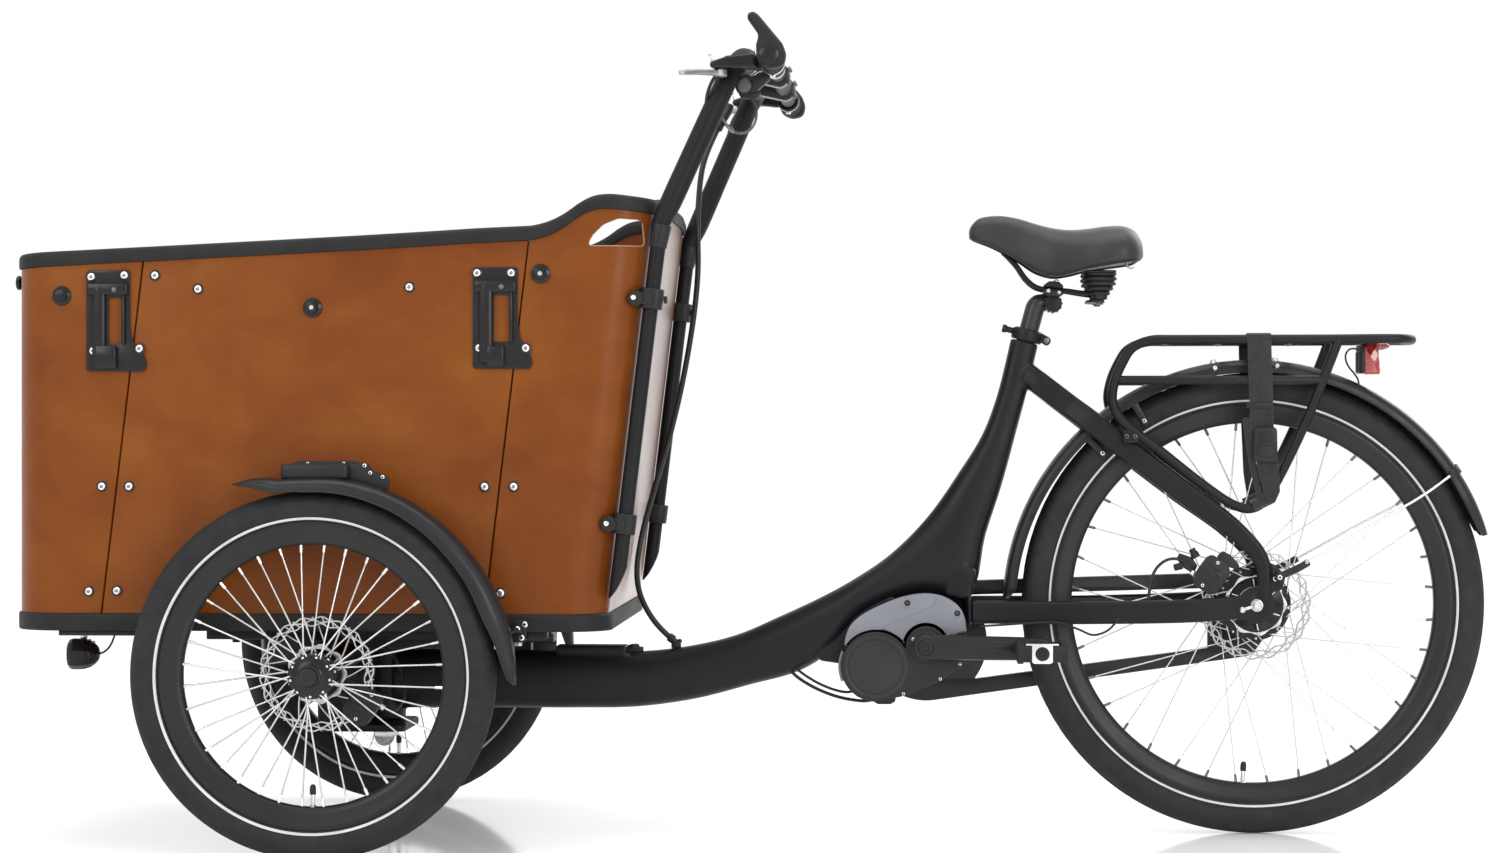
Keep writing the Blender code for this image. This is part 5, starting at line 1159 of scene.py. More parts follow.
def plan(offset, fine=12):
    """The left half of the box's plan at the bottom, front middle to rear middle, moved inward by
    offset, as (x, y, share of the lean). Marks give the index of each seam."""
    w, xr = BOX_HALF_W, rear_wall(BOX_BOTTOM)
    rf, rr = 0.070, 0.060
    out = [(BOX_FRONT_X + offset, y, 0.0) for y in (0.0, -0.08, -0.16, -0.22)]
    for k in range(fine + 1):
        a = 180 + 90 * k / fine
        t = math.radians(a)
        out.append((BOX_FRONT_X + rf + (rf - offset) * math.cos(t), -w + rf + (rf - offset) * math.sin(t), 0.3 * max(0.0, (a - 247.5) / 22.5)))
    first = len(out)
    out.append((SEAM1, -w + offset, 1.0))
    for x in (-1.54, -1.47, -1.40, -1.31, -1.22, -1.15):
        out.append((x, -w + offset, 1.0))
    second = len(out)
    out.append((SEAM2, -w + offset, 1.0))
    for k in range(1, 16):
        out.append((SEAM2 + (xr - rr - SEAM2) * k / 16, -w + offset, 1.0))
    for k in range(fine + 1):
        t = math.radians(270 + 90 * k / fine)
        out.append((xr - rr + (rr - offset) * math.cos(t), -w + rr + (rr - offset) * math.sin(t), 1.0))
    for k in range(1, 25):
        out.append((xr - offset, (-w + rr) * (1 - k / 24), 1.0))
    return out, first, second


def raised(p, z):
    return Vector((p[0] + BOX_LEAN * (z - BOX_BOTTOM) * p[2], p[1], z))


def top_of(p):
    z = 0.85
    for _ in range(14):
        z = top_edge(raised(p, z).x)
    if p[0] > -1.2 and abs(p[1]) < 0.236:
        return 0.8865 - 0.006 * max(0.0, abs(p[1]) / 0.236 * 3.6 - 2.6) ** 1.5
    return z


def full(points):
    return points + [(x, -y, s) for x, y, s in reversed(points[1:-1])]


PLAN_OUT, P1, P2 = plan(0.0)
PLAN_IN = plan(BOX_WALL)[0]


def wall(kind):
    """One plywood wall with eased edges at its seams."""
    n = len(PLAN_OUT)
    out_f, in_f = full(PLAN_OUT), full(PLAN_IN)
    total = len(out_f)
    if kind == "front":
        ids = [(-P1 + k) % total for k in range(2 * P1 + 1)]
    elif kind == "rear":
        ids = [P2 + k for k in range(2 * (n - 1 - P2) + 1)]
    else:
        ids = list(range(P1, P2 + 1))
    outer, inner = [list(out_f[i]) for i in ids], [list(in_f[i]) for i in ids]

    def moved(row, end, inside, step):
        p, q = row[end], row[inside]
        s = 1 if q[0] > p[0] else -1
        return [p[0] + s * step, p[1], p[2]]

    rows = []
    last = len(ids) - 1
    for j in range(len(ids)):
        if j in (0, last):
            inside = 1 if j == 0 else last - 1
            steps = ((0.0011, 0.0015), (0.0016, 0.0004), (0.0028, 0.0))
            parts = [(moved(outer, j, inside, a), moved(inner, j, inside, a * 0.08), b) for a, b in steps]
            rows += parts if j == 0 else parts[::-1]
        else:
            rows.append((outer[j], inner[j], 0.0))
    rings = []
    for o, i, ease in rows:
        zt = max(top_of(o), top_of(i)) if kind == "rear" else top_of(o)
        depth = Vector((i[0] - o[0], i[1] - o[1], 0.0))
        d = depth.normalized() * ease
        heights = [BOX_BOTTOM + (zt - BOX_BOTTOM) * k / 16 for k in range(17)]
        ring = [raised(o, z) + d for z in heights] + [raised(i, z) - d for z in reversed(heights)]
        rings.append(ring)
    return Solid().add(skin(rings))


def wood_wall(kind, name, replaces, flip=False, holes=False):
    solid = wall(kind)
    if flip:
        solid = solid.flipped()
    if holes:
        made = loose(name, solid)
        made.data.materials.append(WOOD)
        made.data.materials.append(EDGE)
        for s in (-1, 1):
            hole = outline(HAND_HOLE, [0.006, 0.004, 0.012, 0.012, 0.007, 0.006, 0.004], 6)
            cutter = loose("hole", Solid().add(slab(hole, s * 0.255, s * 0.330, "Y", 0.0)))
            cutter.data.materials.append(EDGE)
            step = made.modifiers.new("cut", "BOOLEAN")
            step.operation, step.solver, step.object = "DIFFERENCE", "EXACT", cutter
            step.material_mode = "TRANSFER"
            graph = bpy.context.evaluated_depsgraph_get()
            graph.update()
            mesh = bpy.data.meshes.new_from_object(made.evaluated_get(graph))
            made.modifiers.clear()
            made.data = mesh
            bpy.data.objects.remove(cutter, do_unlink=True)
        mesh = made.data
        bpy.data.objects.remove(made)
        mesh.materials.append(WOOD_REAR)
        for face in mesh.polygons:
            if face.material_index == 0 and abs(face.normal.x) > 0.90:
                face.material_index = 2
        keep = list(mesh.materials)
        return dress(mesh, name, keep, "front_carrier", replaces, 30)
    return piece(name, solid, WOOD, "front_carrier", replaces, 30)


wood_wall("front", "front_panel_plywood", ["box_front_panel"])
wood_wall("side", "left_panel_plywood", ["box_left_panel"])
wood_wall("side", "right_panel_plywood", ["box_right_panel"], flip=True)
wood_wall("rear", "rear_panel_plywood", ["box_rear_panel"], holes=True)


def outer_y(x, z):
    """Half width of the box's outside at (x, z), on the flat side or round the rear corner."""
    back = x - BOX_LEAN * (z - BOX_BOTTOM) - (rear_wall(BOX_BOTTOM) - 0.060)
    if back <= 0.0:
        return BOX_HALF_W
    return BOX_HALF_W - 0.060 + math.sqrt(max(0.0, 0.060 ** 2 - back ** 2))


# A thin bead of paler wood along the lower and right edge of each hand hole: a painted highlight where light catches
# the hole's rounded lip
HOLE_LINE = outline(HAND_HOLE, [0.006, 0.004, 0.012, 0.012, 0.007, 0.006, 0.004], 6)
HOLE_START = next(i for i, (x, z) in enumerate(HOLE_LINE) if x > -0.8622 and z < 0.8680)
HOLE_DOWN = HOLE_LINE[HOLE_START:] + HOLE_LINE[:3]
HOLE_FINE = []
for (xa, za), (xb, zb) in zip(HOLE_DOWN, HOLE_DOWN[1:], strict=False):
    steps = max(1, round(math.hypot(xb - xa, zb - za) / 0.004))
    HOLE_FINE += [(xa + (xb - xa) * k / steps, za + (zb - za) * k / steps) for k in range(steps)]
HOLE_FINE.append(HOLE_DOWN[-1])
for s, side_name in ((-1, "left"), (1, "right")):
    bead = [(x, s * (outer_y(x, z) - 0.0001), z - 0.0004) for x, z in HOLE_FINE]
    piece(side_name + "_hand_hole_edge", Solid().add(tube(bead, 0.0010, 10, raw=True)), WOOD_HIGHLIGHT, "front_carrier", (), 60)

floor_board = Solid().add(slab([(p[0], p[1]) for p in full(plan(0.0032)[0])], 0.3102, BOX_BOTTOM - 0.0005, "Z", 0.0006))
piece("floor_plywood", floor_board, WOOD_IN, "front_carrier", ["box_floor"])


def ring_trim(section, name, replaces, mat):
    """A closed band round the box; section gives (offset, z) points at each plan point."""
    lines = {}

    def at(offset):
        if offset not in lines:
            lines[offset] = full(plan(offset)[0])
        return lines[offset]

    count = len(at(0.0))
    rings = []
    for k in range(count):
        ring = []
        for offset, z in section(k, at):
            ring.append(z(at(offset)[k]) if callable(z) else Vector((*at(offset)[k][:2], z)))
        rings.append(ring)
    return piece(name, Solid().add(skin(rings, closed=True)), mat, "front_carrier", replaces, 45)


def base_section(k, at):
    return [(-0.0022, 0.3058), (-0.0032, 0.3068), (-0.0036, 0.3100), (-0.0036, 0.3255), (-0.0032, 0.3285), (-0.0020, 0.3296), (0.0024, 0.3296), (0.0024, 0.3058)]


ring_trim(base_section, "base_edging", ["box_base_trim"], RUBBER)


def top_section(k, at):
    m = full_mid[k]
    o, i = at(-0.0030)[k], at(BOX_WALL + 0.0030)[k]
    z0 = max(top_of(m), top_of(o), top_of(i)) + 0.0004
    lip = 0.0055
    rows = [
        (-0.0030, z0 - lip * 0.0), (-0.0034, z0 + 0.0030), (-0.0034, z0 + 0.0130), (-0.0024, z0 + 0.0168), (0.0000, z0 + 0.0192), (0.0035, z0 + 0.0203),
        (0.0085, z0 + 0.0203), (0.0120, z0 + 0.0192), (0.0144, z0 + 0.0168), (0.0154, z0 + 0.0130), (0.0154, z0 + 0.0030), (0.0150, z0),
    ]
    return [(offset, (lambda p, z=z: raised(p, z))) for offset, z in rows]


full_mid = full(plan(0.006)[0])
ring_trim(top_section, "top_edging", ["box_top_trim"], RUBBER)

x0, z0 = -1.165, 0.6000
x1 = rear_wall(z0) - BOX_WALL - 0.005
half = BOX_HALF_W - BOX_WALL - 0.004
seat_board = slab(outline([(x0 - 0.012, -half), (x0 - 0.012, half), (-1.0, half), (x1, half * 0.80), (x1, -half * 0.80), (-1.0, -half)], [0.012, 0.012, 0.03, 0.02, 0.02, 0.03], 5), z0 + 0.0005, z0 + 0.0150, "Z", 0.0022)
front_board = box(x0 + 0.0002, x0 + 0.0118, -half + 0.002, half - 0.002, BOX_BOTTOM + 0.0006, z0 + 0.0020, 0.001, 0.001)
piece("bench_boards", Solid().add(seat_board).add(front_board), WOOD_IN, "front_carrier", ["bench"])
bench_screws = Solid()
for y in (-0.24, -0.08, 0.08, 0.24):
    bench_screws.add(screw((x0 - 0.0002, y, 0.560), (-1, 0, 0), 0.0050, 0.0018))
    bench_screws.add(screw((x0 - 0.0002, y, 0.380), (-1, 0, 0), 0.0050, 0.0018))
piece("bench_screws", bench_screws, ZINC, "front_carrier")

pack = Solid().add(box(-1.089, -0.991, -0.1795, 0.1795, BOX_BOTTOM + 0.0006, 0.4195, 0.014, 0.006, 6))
for y in (-0.12, -0.06, 0.0, 0.06, 0.12):
    pack.add(box(-1.080, -1.000, y - 0.006, y + 0.006, 0.4185, 0.4215, 0.004, 0.001))
piece("battery_case", pack, PLASTIC, "front_carrier", ["battery"])

# panel screws with their washers, on both sides of the box
WALL_Y = -BOX_HALF_W
SCREWS = [
    (-1.621, 0.794), (-1.575, 0.796), (-1.618, 0.692), (-1.554, 0.695), (-1.533, 0.796), (-1.473, 0.777), (-1.607, 0.505), (-1.569, 0.505),
    (-1.625, 0.360), (-1.586, 0.361), (-1.180, 0.779), (-1.086, 0.798), (-1.039, 0.798), (-1.083, 0.695), (-1.019, 0.695),
    (-1.076, 0.505), (-1.036, 0.505), (-1.054, 0.359),
]
BRACKET_SCREWS = {0, 1, 2, 3, 11, 12, 13, 14}
heads, washers, sockets = Solid(), Solid(), Solid()
for k, (x, z) in enumerate(SCREWS):
    base = WALL_Y - (0.0030 if k in BRACKET_SCREWS else 0.0)
    washers.add(lathe([(0, 0.0004), (0.0074, 0.0004), (0.0076, -0.0008), (0.0068, -0.0014), (0, -0.0014)], (x, base, z), (0, 1, 0), 28))
    heads.add(lathe([(0, 0.0), (0.0056, 0.0), (0.0056, 0.0010), (0.0051, 0.0021), (0.0041, 0.0029), (0.0030, 0.0033), (0.0025, 0.0033), (0.0023, 0.0030), (0.0021, 0.0012), (0, 0.0012)], (x, base - 0.0012, z), (0, -1, 0), 28))
    sockets.add(lathe([(0, 0.0010), (0.0022, 0.0010), (0.0022, 0.0022), (0.0012, 0.0026), (0, 0.0026)], (x, base - 0.0012, z), (0, -1, 0), 18))
heads.mirror()
sockets.mirror()
washers.mirror()
piece("panel_screw_heads", heads, ZINC, "front_carrier", (), 40)
# the dark metal filling each screw's socket is painted shade in the recess
piece("panel_screw_sockets", sockets, metal("screw_socket_painted_shade", (0.20, 0.19, 0.185), (0.30, 0.285, 0.275), 0.45), "front_carrier", (), 40)
piece("panel_screw_washers", washers, GLOSSY, "front_carrier", (), 40)

# tent buttons: black turn studs, two with a bright centre
studs, centres = Solid(), Solid()
for x, z, bright in ((-1.663, 0.768, False), (-1.314, 0.751, True), (-0.999, 0.797, True)):
    y = WALL_Y if x > -1.66 else WALL_Y + 0.0008
    studs.add(lathe([(0, 0.001), (0.0132, 0.001), (0.0135, -0.0004), (0.0128, -0.0022), (0.0100, -0.0034), (0.0088, -0.0040), (0.0088, -0.0085), (0.0080, -0.0100), (0.0052, -0.0106), (0, -0.0106)], (x, y, z), (0, 1, 0), 40))
    if bright:
        centres.add(lathe([(0, 0), (0.0034, 0), (0.0034, 0.0012), (0.0026, 0.0022), (0, 0.0024)], (x, y - 0.0102, z), (0, -1, 0), 24))
    else:
        studs.add(lathe([(0, 0), (0.0045, 0), (0.0045, 0.0014), (0.0036, 0.0024), (0, 0.0026)], (x, y - 0.0102, z), (0, -1, 0), 24))
studs.mirror()
centres.mirror()
piece("tent_buttons", studs, GLOSSY, "front_carrier")
piece("tent_button_centres", centres, STEEL, "front_carrier")


def pole_bracket(x0, x1, x2, z0, z1, slot, low):
    """Pole holder: flat plate with a flared foot, an upright socket tube with a slot beside it."""
    w = x1 - x0
    rim_pts = [
        (x0, z0), (x2, z0 - 0.0006), (x2 + 0.0015, z0 + 0.012), (x2 - 0.003, z0 + 0.024), (x1 + 0.004, z0 + 0.040), (x1, z0 + 0.060), (x1, z1), (x0, z1),
    ]
    outer = outline(rim_pts, [0.004, 0.006, 0.008, 0.010, 0.016, 0.014, 0.004, 0.004], 6)
    sx0, sx1, sz0, sz1 = slot
    hole = outline([(sx0, sz0), (sx1, sz0), (sx1, sz1), (sx0, sz1)], 0.0035, 5)
    base = WALL_Y - 0.0002
    made = Solid()
    verts, faces = plate(outer, [hole], 0.0030, 0.0006, 2)
    made.v = [(p[0], base - 0.0015 + p[2], p[1]) for p in verts]
    made.f = list(faces)
    # socket tube left of the slot
    xc = x0 + w * 0.30
    half_t = w * 0.16
    shape = [(a, b * 0.9) for a, b in oval(half_t, 0.0065, 24, 0.9)]
    made.add(sweep(smooth([(xc, base - 0.0050, z0 + 0.010), (xc, base - 0.0058, (z0 + z1) / 2), (xc, base - 0.0050, z1 - 0.024)], 6), shape, (1, 0, 0), ends=0.002))
    # top cross bar and lower socket
    made.add(box(x0 + 0.002, x1 - 0.002, base - 0.0105, base - 0.001, z1 - 0.034, z1 - 0.018, 0.003, 0.0018, 4))
    made.add(box(low[0], low[1], base - 0.0120, base - 0.001, low[2], low[3], 0.003, 0.0018, 4))
    made.add(rod((sx1 + 0.0022, base - 0.006, sz0), (sx1 + 0.0022, base - 0.006, sz1 + 0.004), 0.0024, 14))
    return made


brackets = join(
    pole_bracket(-1.628, -1.567, -1.546, 0.664, 0.803, (-1.597, -1.578, 0.701, 0.765), (-1.615, -1.585, 0.667, 0.699)),
    pole_bracket(-1.092, -1.030, -1.012, 0.667, 0.806, (-1.063, -1.041, 0.704, 0.768), (-1.0725, -1.0480, 0.670, 0.698)),
)
brackets.mirror()
piece("pole_brackets", brackets, GLOSSY, "front_carrier", (), 38)
dots = Solid()
for x, z in ((-1.588, 0.776), (-1.052, 0.779)):
    dots.add(lathe([(0, 0), (0.0034, 0), (0.0034, 0.0010), (0.0022, 0.0018), (0, 0.0018)], (x, WALL_Y - 0.0104, z), (0, -1, 0), 20))
dots.mirror()
piece("bracket_dots", dots, DARK_STEEL, "front_carrier")

# two round knobs on the box's front
knobs = Solid()
for s in (-1, 1):
    knobs.add(lathe([(0, 0.0), (0.0090, 0.0), (0.0090, 0.0030), (0.0060, 0.0048), (0.0056, 0.0080), (0.0098, 0.0104), (0.0104, 0.0132), (0.0090, 0.0152), (0, 0.0158)], (BOX_FRONT_X, s * 0.215, 0.790), (-1, 0, 0), 36))
piece("front_knobs", knobs, GLOSSY, "front_carrier")

# bar under the front edge and bolts under the floor
under = Solid()
under.add(box(-1.6700, -1.5510, -0.3040, -0.2700, 0.2985, 0.3062, 0.004, 0.0012))
under.add(box(-1.6700, -1.5510, 0.2700, 0.3040, 0.2985, 0.3062, 0.004, 0.0012))
piece("floor_rails", under, PLASTIC, "front_carrier")
nuts = Solid()
for s in (-1, 1):
    nuts = join(nuts, bolt((-1.035, s * 0.270, 0.2902), (0, 0, -1), 0.0060, 0.0060), bolt((-1.047, s * 0.150, 0.2902), (0, 0, -1), 0.0060, 0.0060))
piece("floor_bolts", nuts, STEEL, "front_carrier")

battens = Solid()
for s in (-1, 1):
    battens.add(box(-1.4800, -1.0000, *sorted((s * 0.1960, s * 0.2260)), 0.2890, 0.3062, 0.004, 0.0015))
    battens.add(box(-1.2650, -1.1200, *sorted((s * 0.1980, s * 0.2240)), 0.2772, 0.2930, 0.004, 0.0015))
    battens.add(box(-1.3920, -1.3240, *sorted((s * 0.1400, s * 0.2600)), 0.2570, 0.3062, 0.006, 0.0020))
    battens.add(box(-1.4600, -1.4300, *sorted((s * 0.0700, s * 0.2000)), 0.2900, 0.3062, 0.004, 0.0015))
    for x in (-1.4400, -1.2800, -1.1000):
        battens.add(bolt((x, s * 0.2110, 0.2892), (0, 0, -1), 0.0060, 0.0050))
piece("floor_battens", battens, PLASTIC, "front_carrier", (), 35)


# ------------------------------------------------------------------ push bar, handlebar and controls
LEG = 0.0085
BAR_LEFT = [
    (rear_wall(0.350) + LEG, -0.2850, 0.350), (rear_wall(0.600) + LEG, -0.2850, 0.600), (rear_wall(0.840) + LEG, -0.2850, 0.840),
    (rear_wall(0.865) + LEG, -0.2850, 0.865), (-0.8215, -0.2835, 0.8970), (-0.7900, -0.2740, 0.9680), (-0.7570, -0.2620, 1.0420),
    (-0.7420, -0.2500, 1.0760), (-0.7280, -0.2300, 1.0970), (-0.7220, -0.1950, 1.1020),
]
BAR_R = [0.0105, 0.0105, 0.0108, 0.0128, 0.0150, 0.0150, 0.0150, 0.0150, 0.0150, 0.0150]


def push_bar():
    left = smooth(BAR_LEFT, 8)
    radii = smooth([(k, 0, r) for k, r in enumerate(BAR_R)], 8)
    path = left + [Vector((p.x, -p.y, p.z)) for p in reversed(left)]
    r = [p.z for p in radii]
    r = r + r[::-1]
    rows = frames(path, (1, 0, 0))
    rings = [[p + a * x + b * y for x, y in circle(r[i], 40)] for i, (p, t, a, b) in enumerate(rows)]
    made = loose("push_bar_tube", Solid().add(skin(rings)))
    for s in (-1, 1):
        boolean(made, loose("cut", Solid().add(slab([(-0.9400, 0.33), (-0.9400, 0.3500), (-0.9065, 0.3500), (-0.8985, 0.3600), (-0.8915, 0.3720), (-0.8860, 0.3840), (-0.8810, 0.3970), (-0.8780, 0.4100), (-0.8600, 0.4100), (-0.860, 0.33)], s * 0.285 - 0.03, s * 0.285 + 0.03, "Y", 0.0))))
    mesh = made.data
    bpy.data.objects.remove(made)
    return dress(mesh, "push_bar_tube", TUBE, "front_carrier", ["push_bar"], 40)


push_bar()
plugs, studs = Solid(), Solid()
for s in (-1, 1):
    for z in (0.7635, 0.4535):
        xw = rear_wall(z)
        xl = xw + LEG
        # clamp round the leg with an ear that lies against the corner of the box
        plugs.add(sweep([(xl - 0.0016, s * 0.2850, z - 0.0125), (xl + 0.0016, s * 0.2850, z + 0.0125)], round_rect(0.0160, 0.0156, 0.0120, 7), (1, 0, 0), ends=0.0015))
        plugs.add(lathe([(0, -0.0060), (0.0104, -0.0060), (0.0112, -0.0048), (0.0112, 0.0010), (0.0100, 0.0026), (0, 0.0028)], (xw - 0.0125, s * 0.3020, z), (0, s, 0), 32))
        plugs.add(slab(outline([(xw - 0.0140, z - 0.0075), (xw + 0.0100, z - 0.0090), (xw + 0.0100, z + 0.0090), (xw - 0.0140, z + 0.0075)], 0.003, 3), *sorted((s * 0.2960, s * 0.3020)), "Y", 0.001))
        studs.add(lathe([(0, 0), (0.0040, 0), (0.0040, 0.0012), (0.0032, 0.0024), (0.0016, 0.0029), (0, 0.0029)], (xw - 0.0150, s * 0.3060, z + 0.0010), (0, s, 0), 24))
    plugs.add(lathe([(0, 0), (0.0052, 0), (0.0052, 0.0035), (0.0044, 0.0048), (0, 0.0050)], (rear_wall(0.7635) + LEG + 0.0165, s * 0.2800, 0.7620), (1, 0, 0), 20))
    # sleeve where the leg meets the box edge
    plugs.add(sweep([(rear_wall(0.835) + LEG, s * 0.285, 0.8350), (rear_wall(0.868) + LEG + 0.0012, s * 0.285, 0.8640)], lambda t: circle(0.0122 + 0.0018 * t, 28), (1, 0, 0), ends=0.0015))
piece("push_bar_clamps", plugs, PLASTIC, "front_carrier", (), 38)
piece("push_bar_studs", studs, ZINC, "front_carrier", (), 38)


def handlebar():
    bars, blocks, bolts = Solid(), Solid(), Solid()
    bars.add(rod((BAR_X, -0.3860, BAR_Z), (BAR_X, 0.3860, BAR_Z), 0.0110, 36, 0.0008))
    piece("handlebar_tube", bars, TUBE, "front_carrier", ["handlebar"])
    cross = (-0.7220, 1.1020)
    for y in (-0.100, 0.100):
        shell = arc(*cross, 0.0215, 90, 250, 18) + arc(BAR_X, BAR_Z, 0.0175, -80, 75, 16)
        blocks.add(slab(outline(shell, 0.0015, 1), y - 0.0140, y + 0.0140, "Y", 0.0022))
        for dy in (-0.0085, 0.0085):
            bolts.add(screw((BAR_X + 0.0168, y + dy, BAR_Z + 0.0090), (0.88, 0, 0.47), 0.0038, 0.0026))
            bolts.add(screw((BAR_X + 0.0168, y + dy, BAR_Z - 0.0090), (0.88, 0, -0.47), 0.0038, 0.0026))
    piece("bar_clamps", blocks, GLOSSY, "front_carrier")
    piece("bar_clamp_bolts", bolts, DARK_STEEL, "front_carrier")


handlebar()


def grip(s, name, replaces):
    """Ribbed sleeve, flared end and thumb horn, in one soft moulding, with a metal clamp ring."""
    ribs = [(0, -0.2800), (0.0150, -0.2800), (0.0164, -0.2815), (0.0164, -0.2850)]
    y = -0.2862
    while y > -0.3560:
        ribs += [(0.0157, y), (0.0157, y - 0.0010), (0.0165, y - 0.0018), (0.0165, y - 0.0034)]
        y -= 0.0046
    ribs += [(0.0165, -0.3600), (0.0165, -0.3850), (0.0155, -0.3878), (0.0120, -0.3885), (0, -0.3885)]
    sleeve = Solid().add(lathe([(r, h * -s if s > 0 else h) for r, h in ribs] if s < 0 else [(r, -h) for r, h in ribs], (BAR_X, 0, BAR_Z), (0, 1, 0), 48))
    horn = outline(
        [(-0.6620, 1.0720), (-0.6590, 1.0900), (-0.6640, 1.1030), (-0.6960, 1.1415), (-0.7035, 1.1470), (-0.7110, 1.1440),
         (-0.7115, 1.1370), (-0.6960, 1.1150), (-0.7000, 1.1010), (-0.6985, 1.0820), (-0.6830, 1.0690)],
        [0.012, 0.016, 0.014, 0.004, 0.006, 0.005, 0.004, 0.010, 0.010, 0.010, 0.012], 6)
    made = Solid().add(slab(horn, s * 0.3590, s * 0.3885, "Y", 0.0060))
    piece(name + "_sleeve", sleeve, GRIP, "front_carrier", replaces, 40)
    soft = loose(name + "_horn", made)
    step = soft.modifiers.new("melt", "REMESH")
    step.mode, step.voxel_size = "VOXEL", 0.0011
    step = soft.modifiers.new("soften", "SMOOTH")
    step.factor, step.iterations = 0.5, 8
    graph = bpy.context.evaluated_depsgraph_get()
    graph.update()
    mesh = bpy.data.meshes.new_from_object(soft.evaluated_get(graph))
    bpy.data.objects.remove(soft, do_unlink=True)
    dress(mesh, name + "_horn", GRIP, "front_carrier", (), 60)
    ring = Solid().add(lathe([(0.0112, -0.2790), (0.0160, -0.2790), (0.0168, -0.2782), (0.0168, -0.2730), (0.0160, -0.2722), (0.0112, -0.2722)] if s < 0 else [(0.0112, 0.2722), (0.0160, 0.2722), (0.0168, 0.2730), (0.0168, 0.2782), (0.0160, 0.2790), (0.0112, 0.2790)], (BAR_X, 0, BAR_Z), (0, 1, 0), 48, True))
    ring.add(box(BAR_X - 0.004, BAR_X + 0.004, s * 0.2722, s * 0.2790, BAR_Z - 0.0200, BAR_Z - 0.0150, 0.0015, 0.0006))
    cap = Solid().add(lathe([(0, 0), (0.0125, 0), (0.0135, 0.0010), (0.0130, 0.0030), (0.0100, 0.0042), (0, 0.0046)], (BAR_X, s * 0.3862, BAR_Z), (0, s, 0), 36))
    piece(name + "_ring", ring, STEEL, "front_carrier")
    piece(name + "_end_cap", cap, GLOSSY, "front_carrier")


grip(-1, "left_grip_rubber", ["left_grip"])
grip(1, "right_grip_rubber", ["right_grip"])


LEVER = metal("lever_alloy", (0.36, 0.36, 0.37), (0.50, 0.50, 0.51), 0.50)


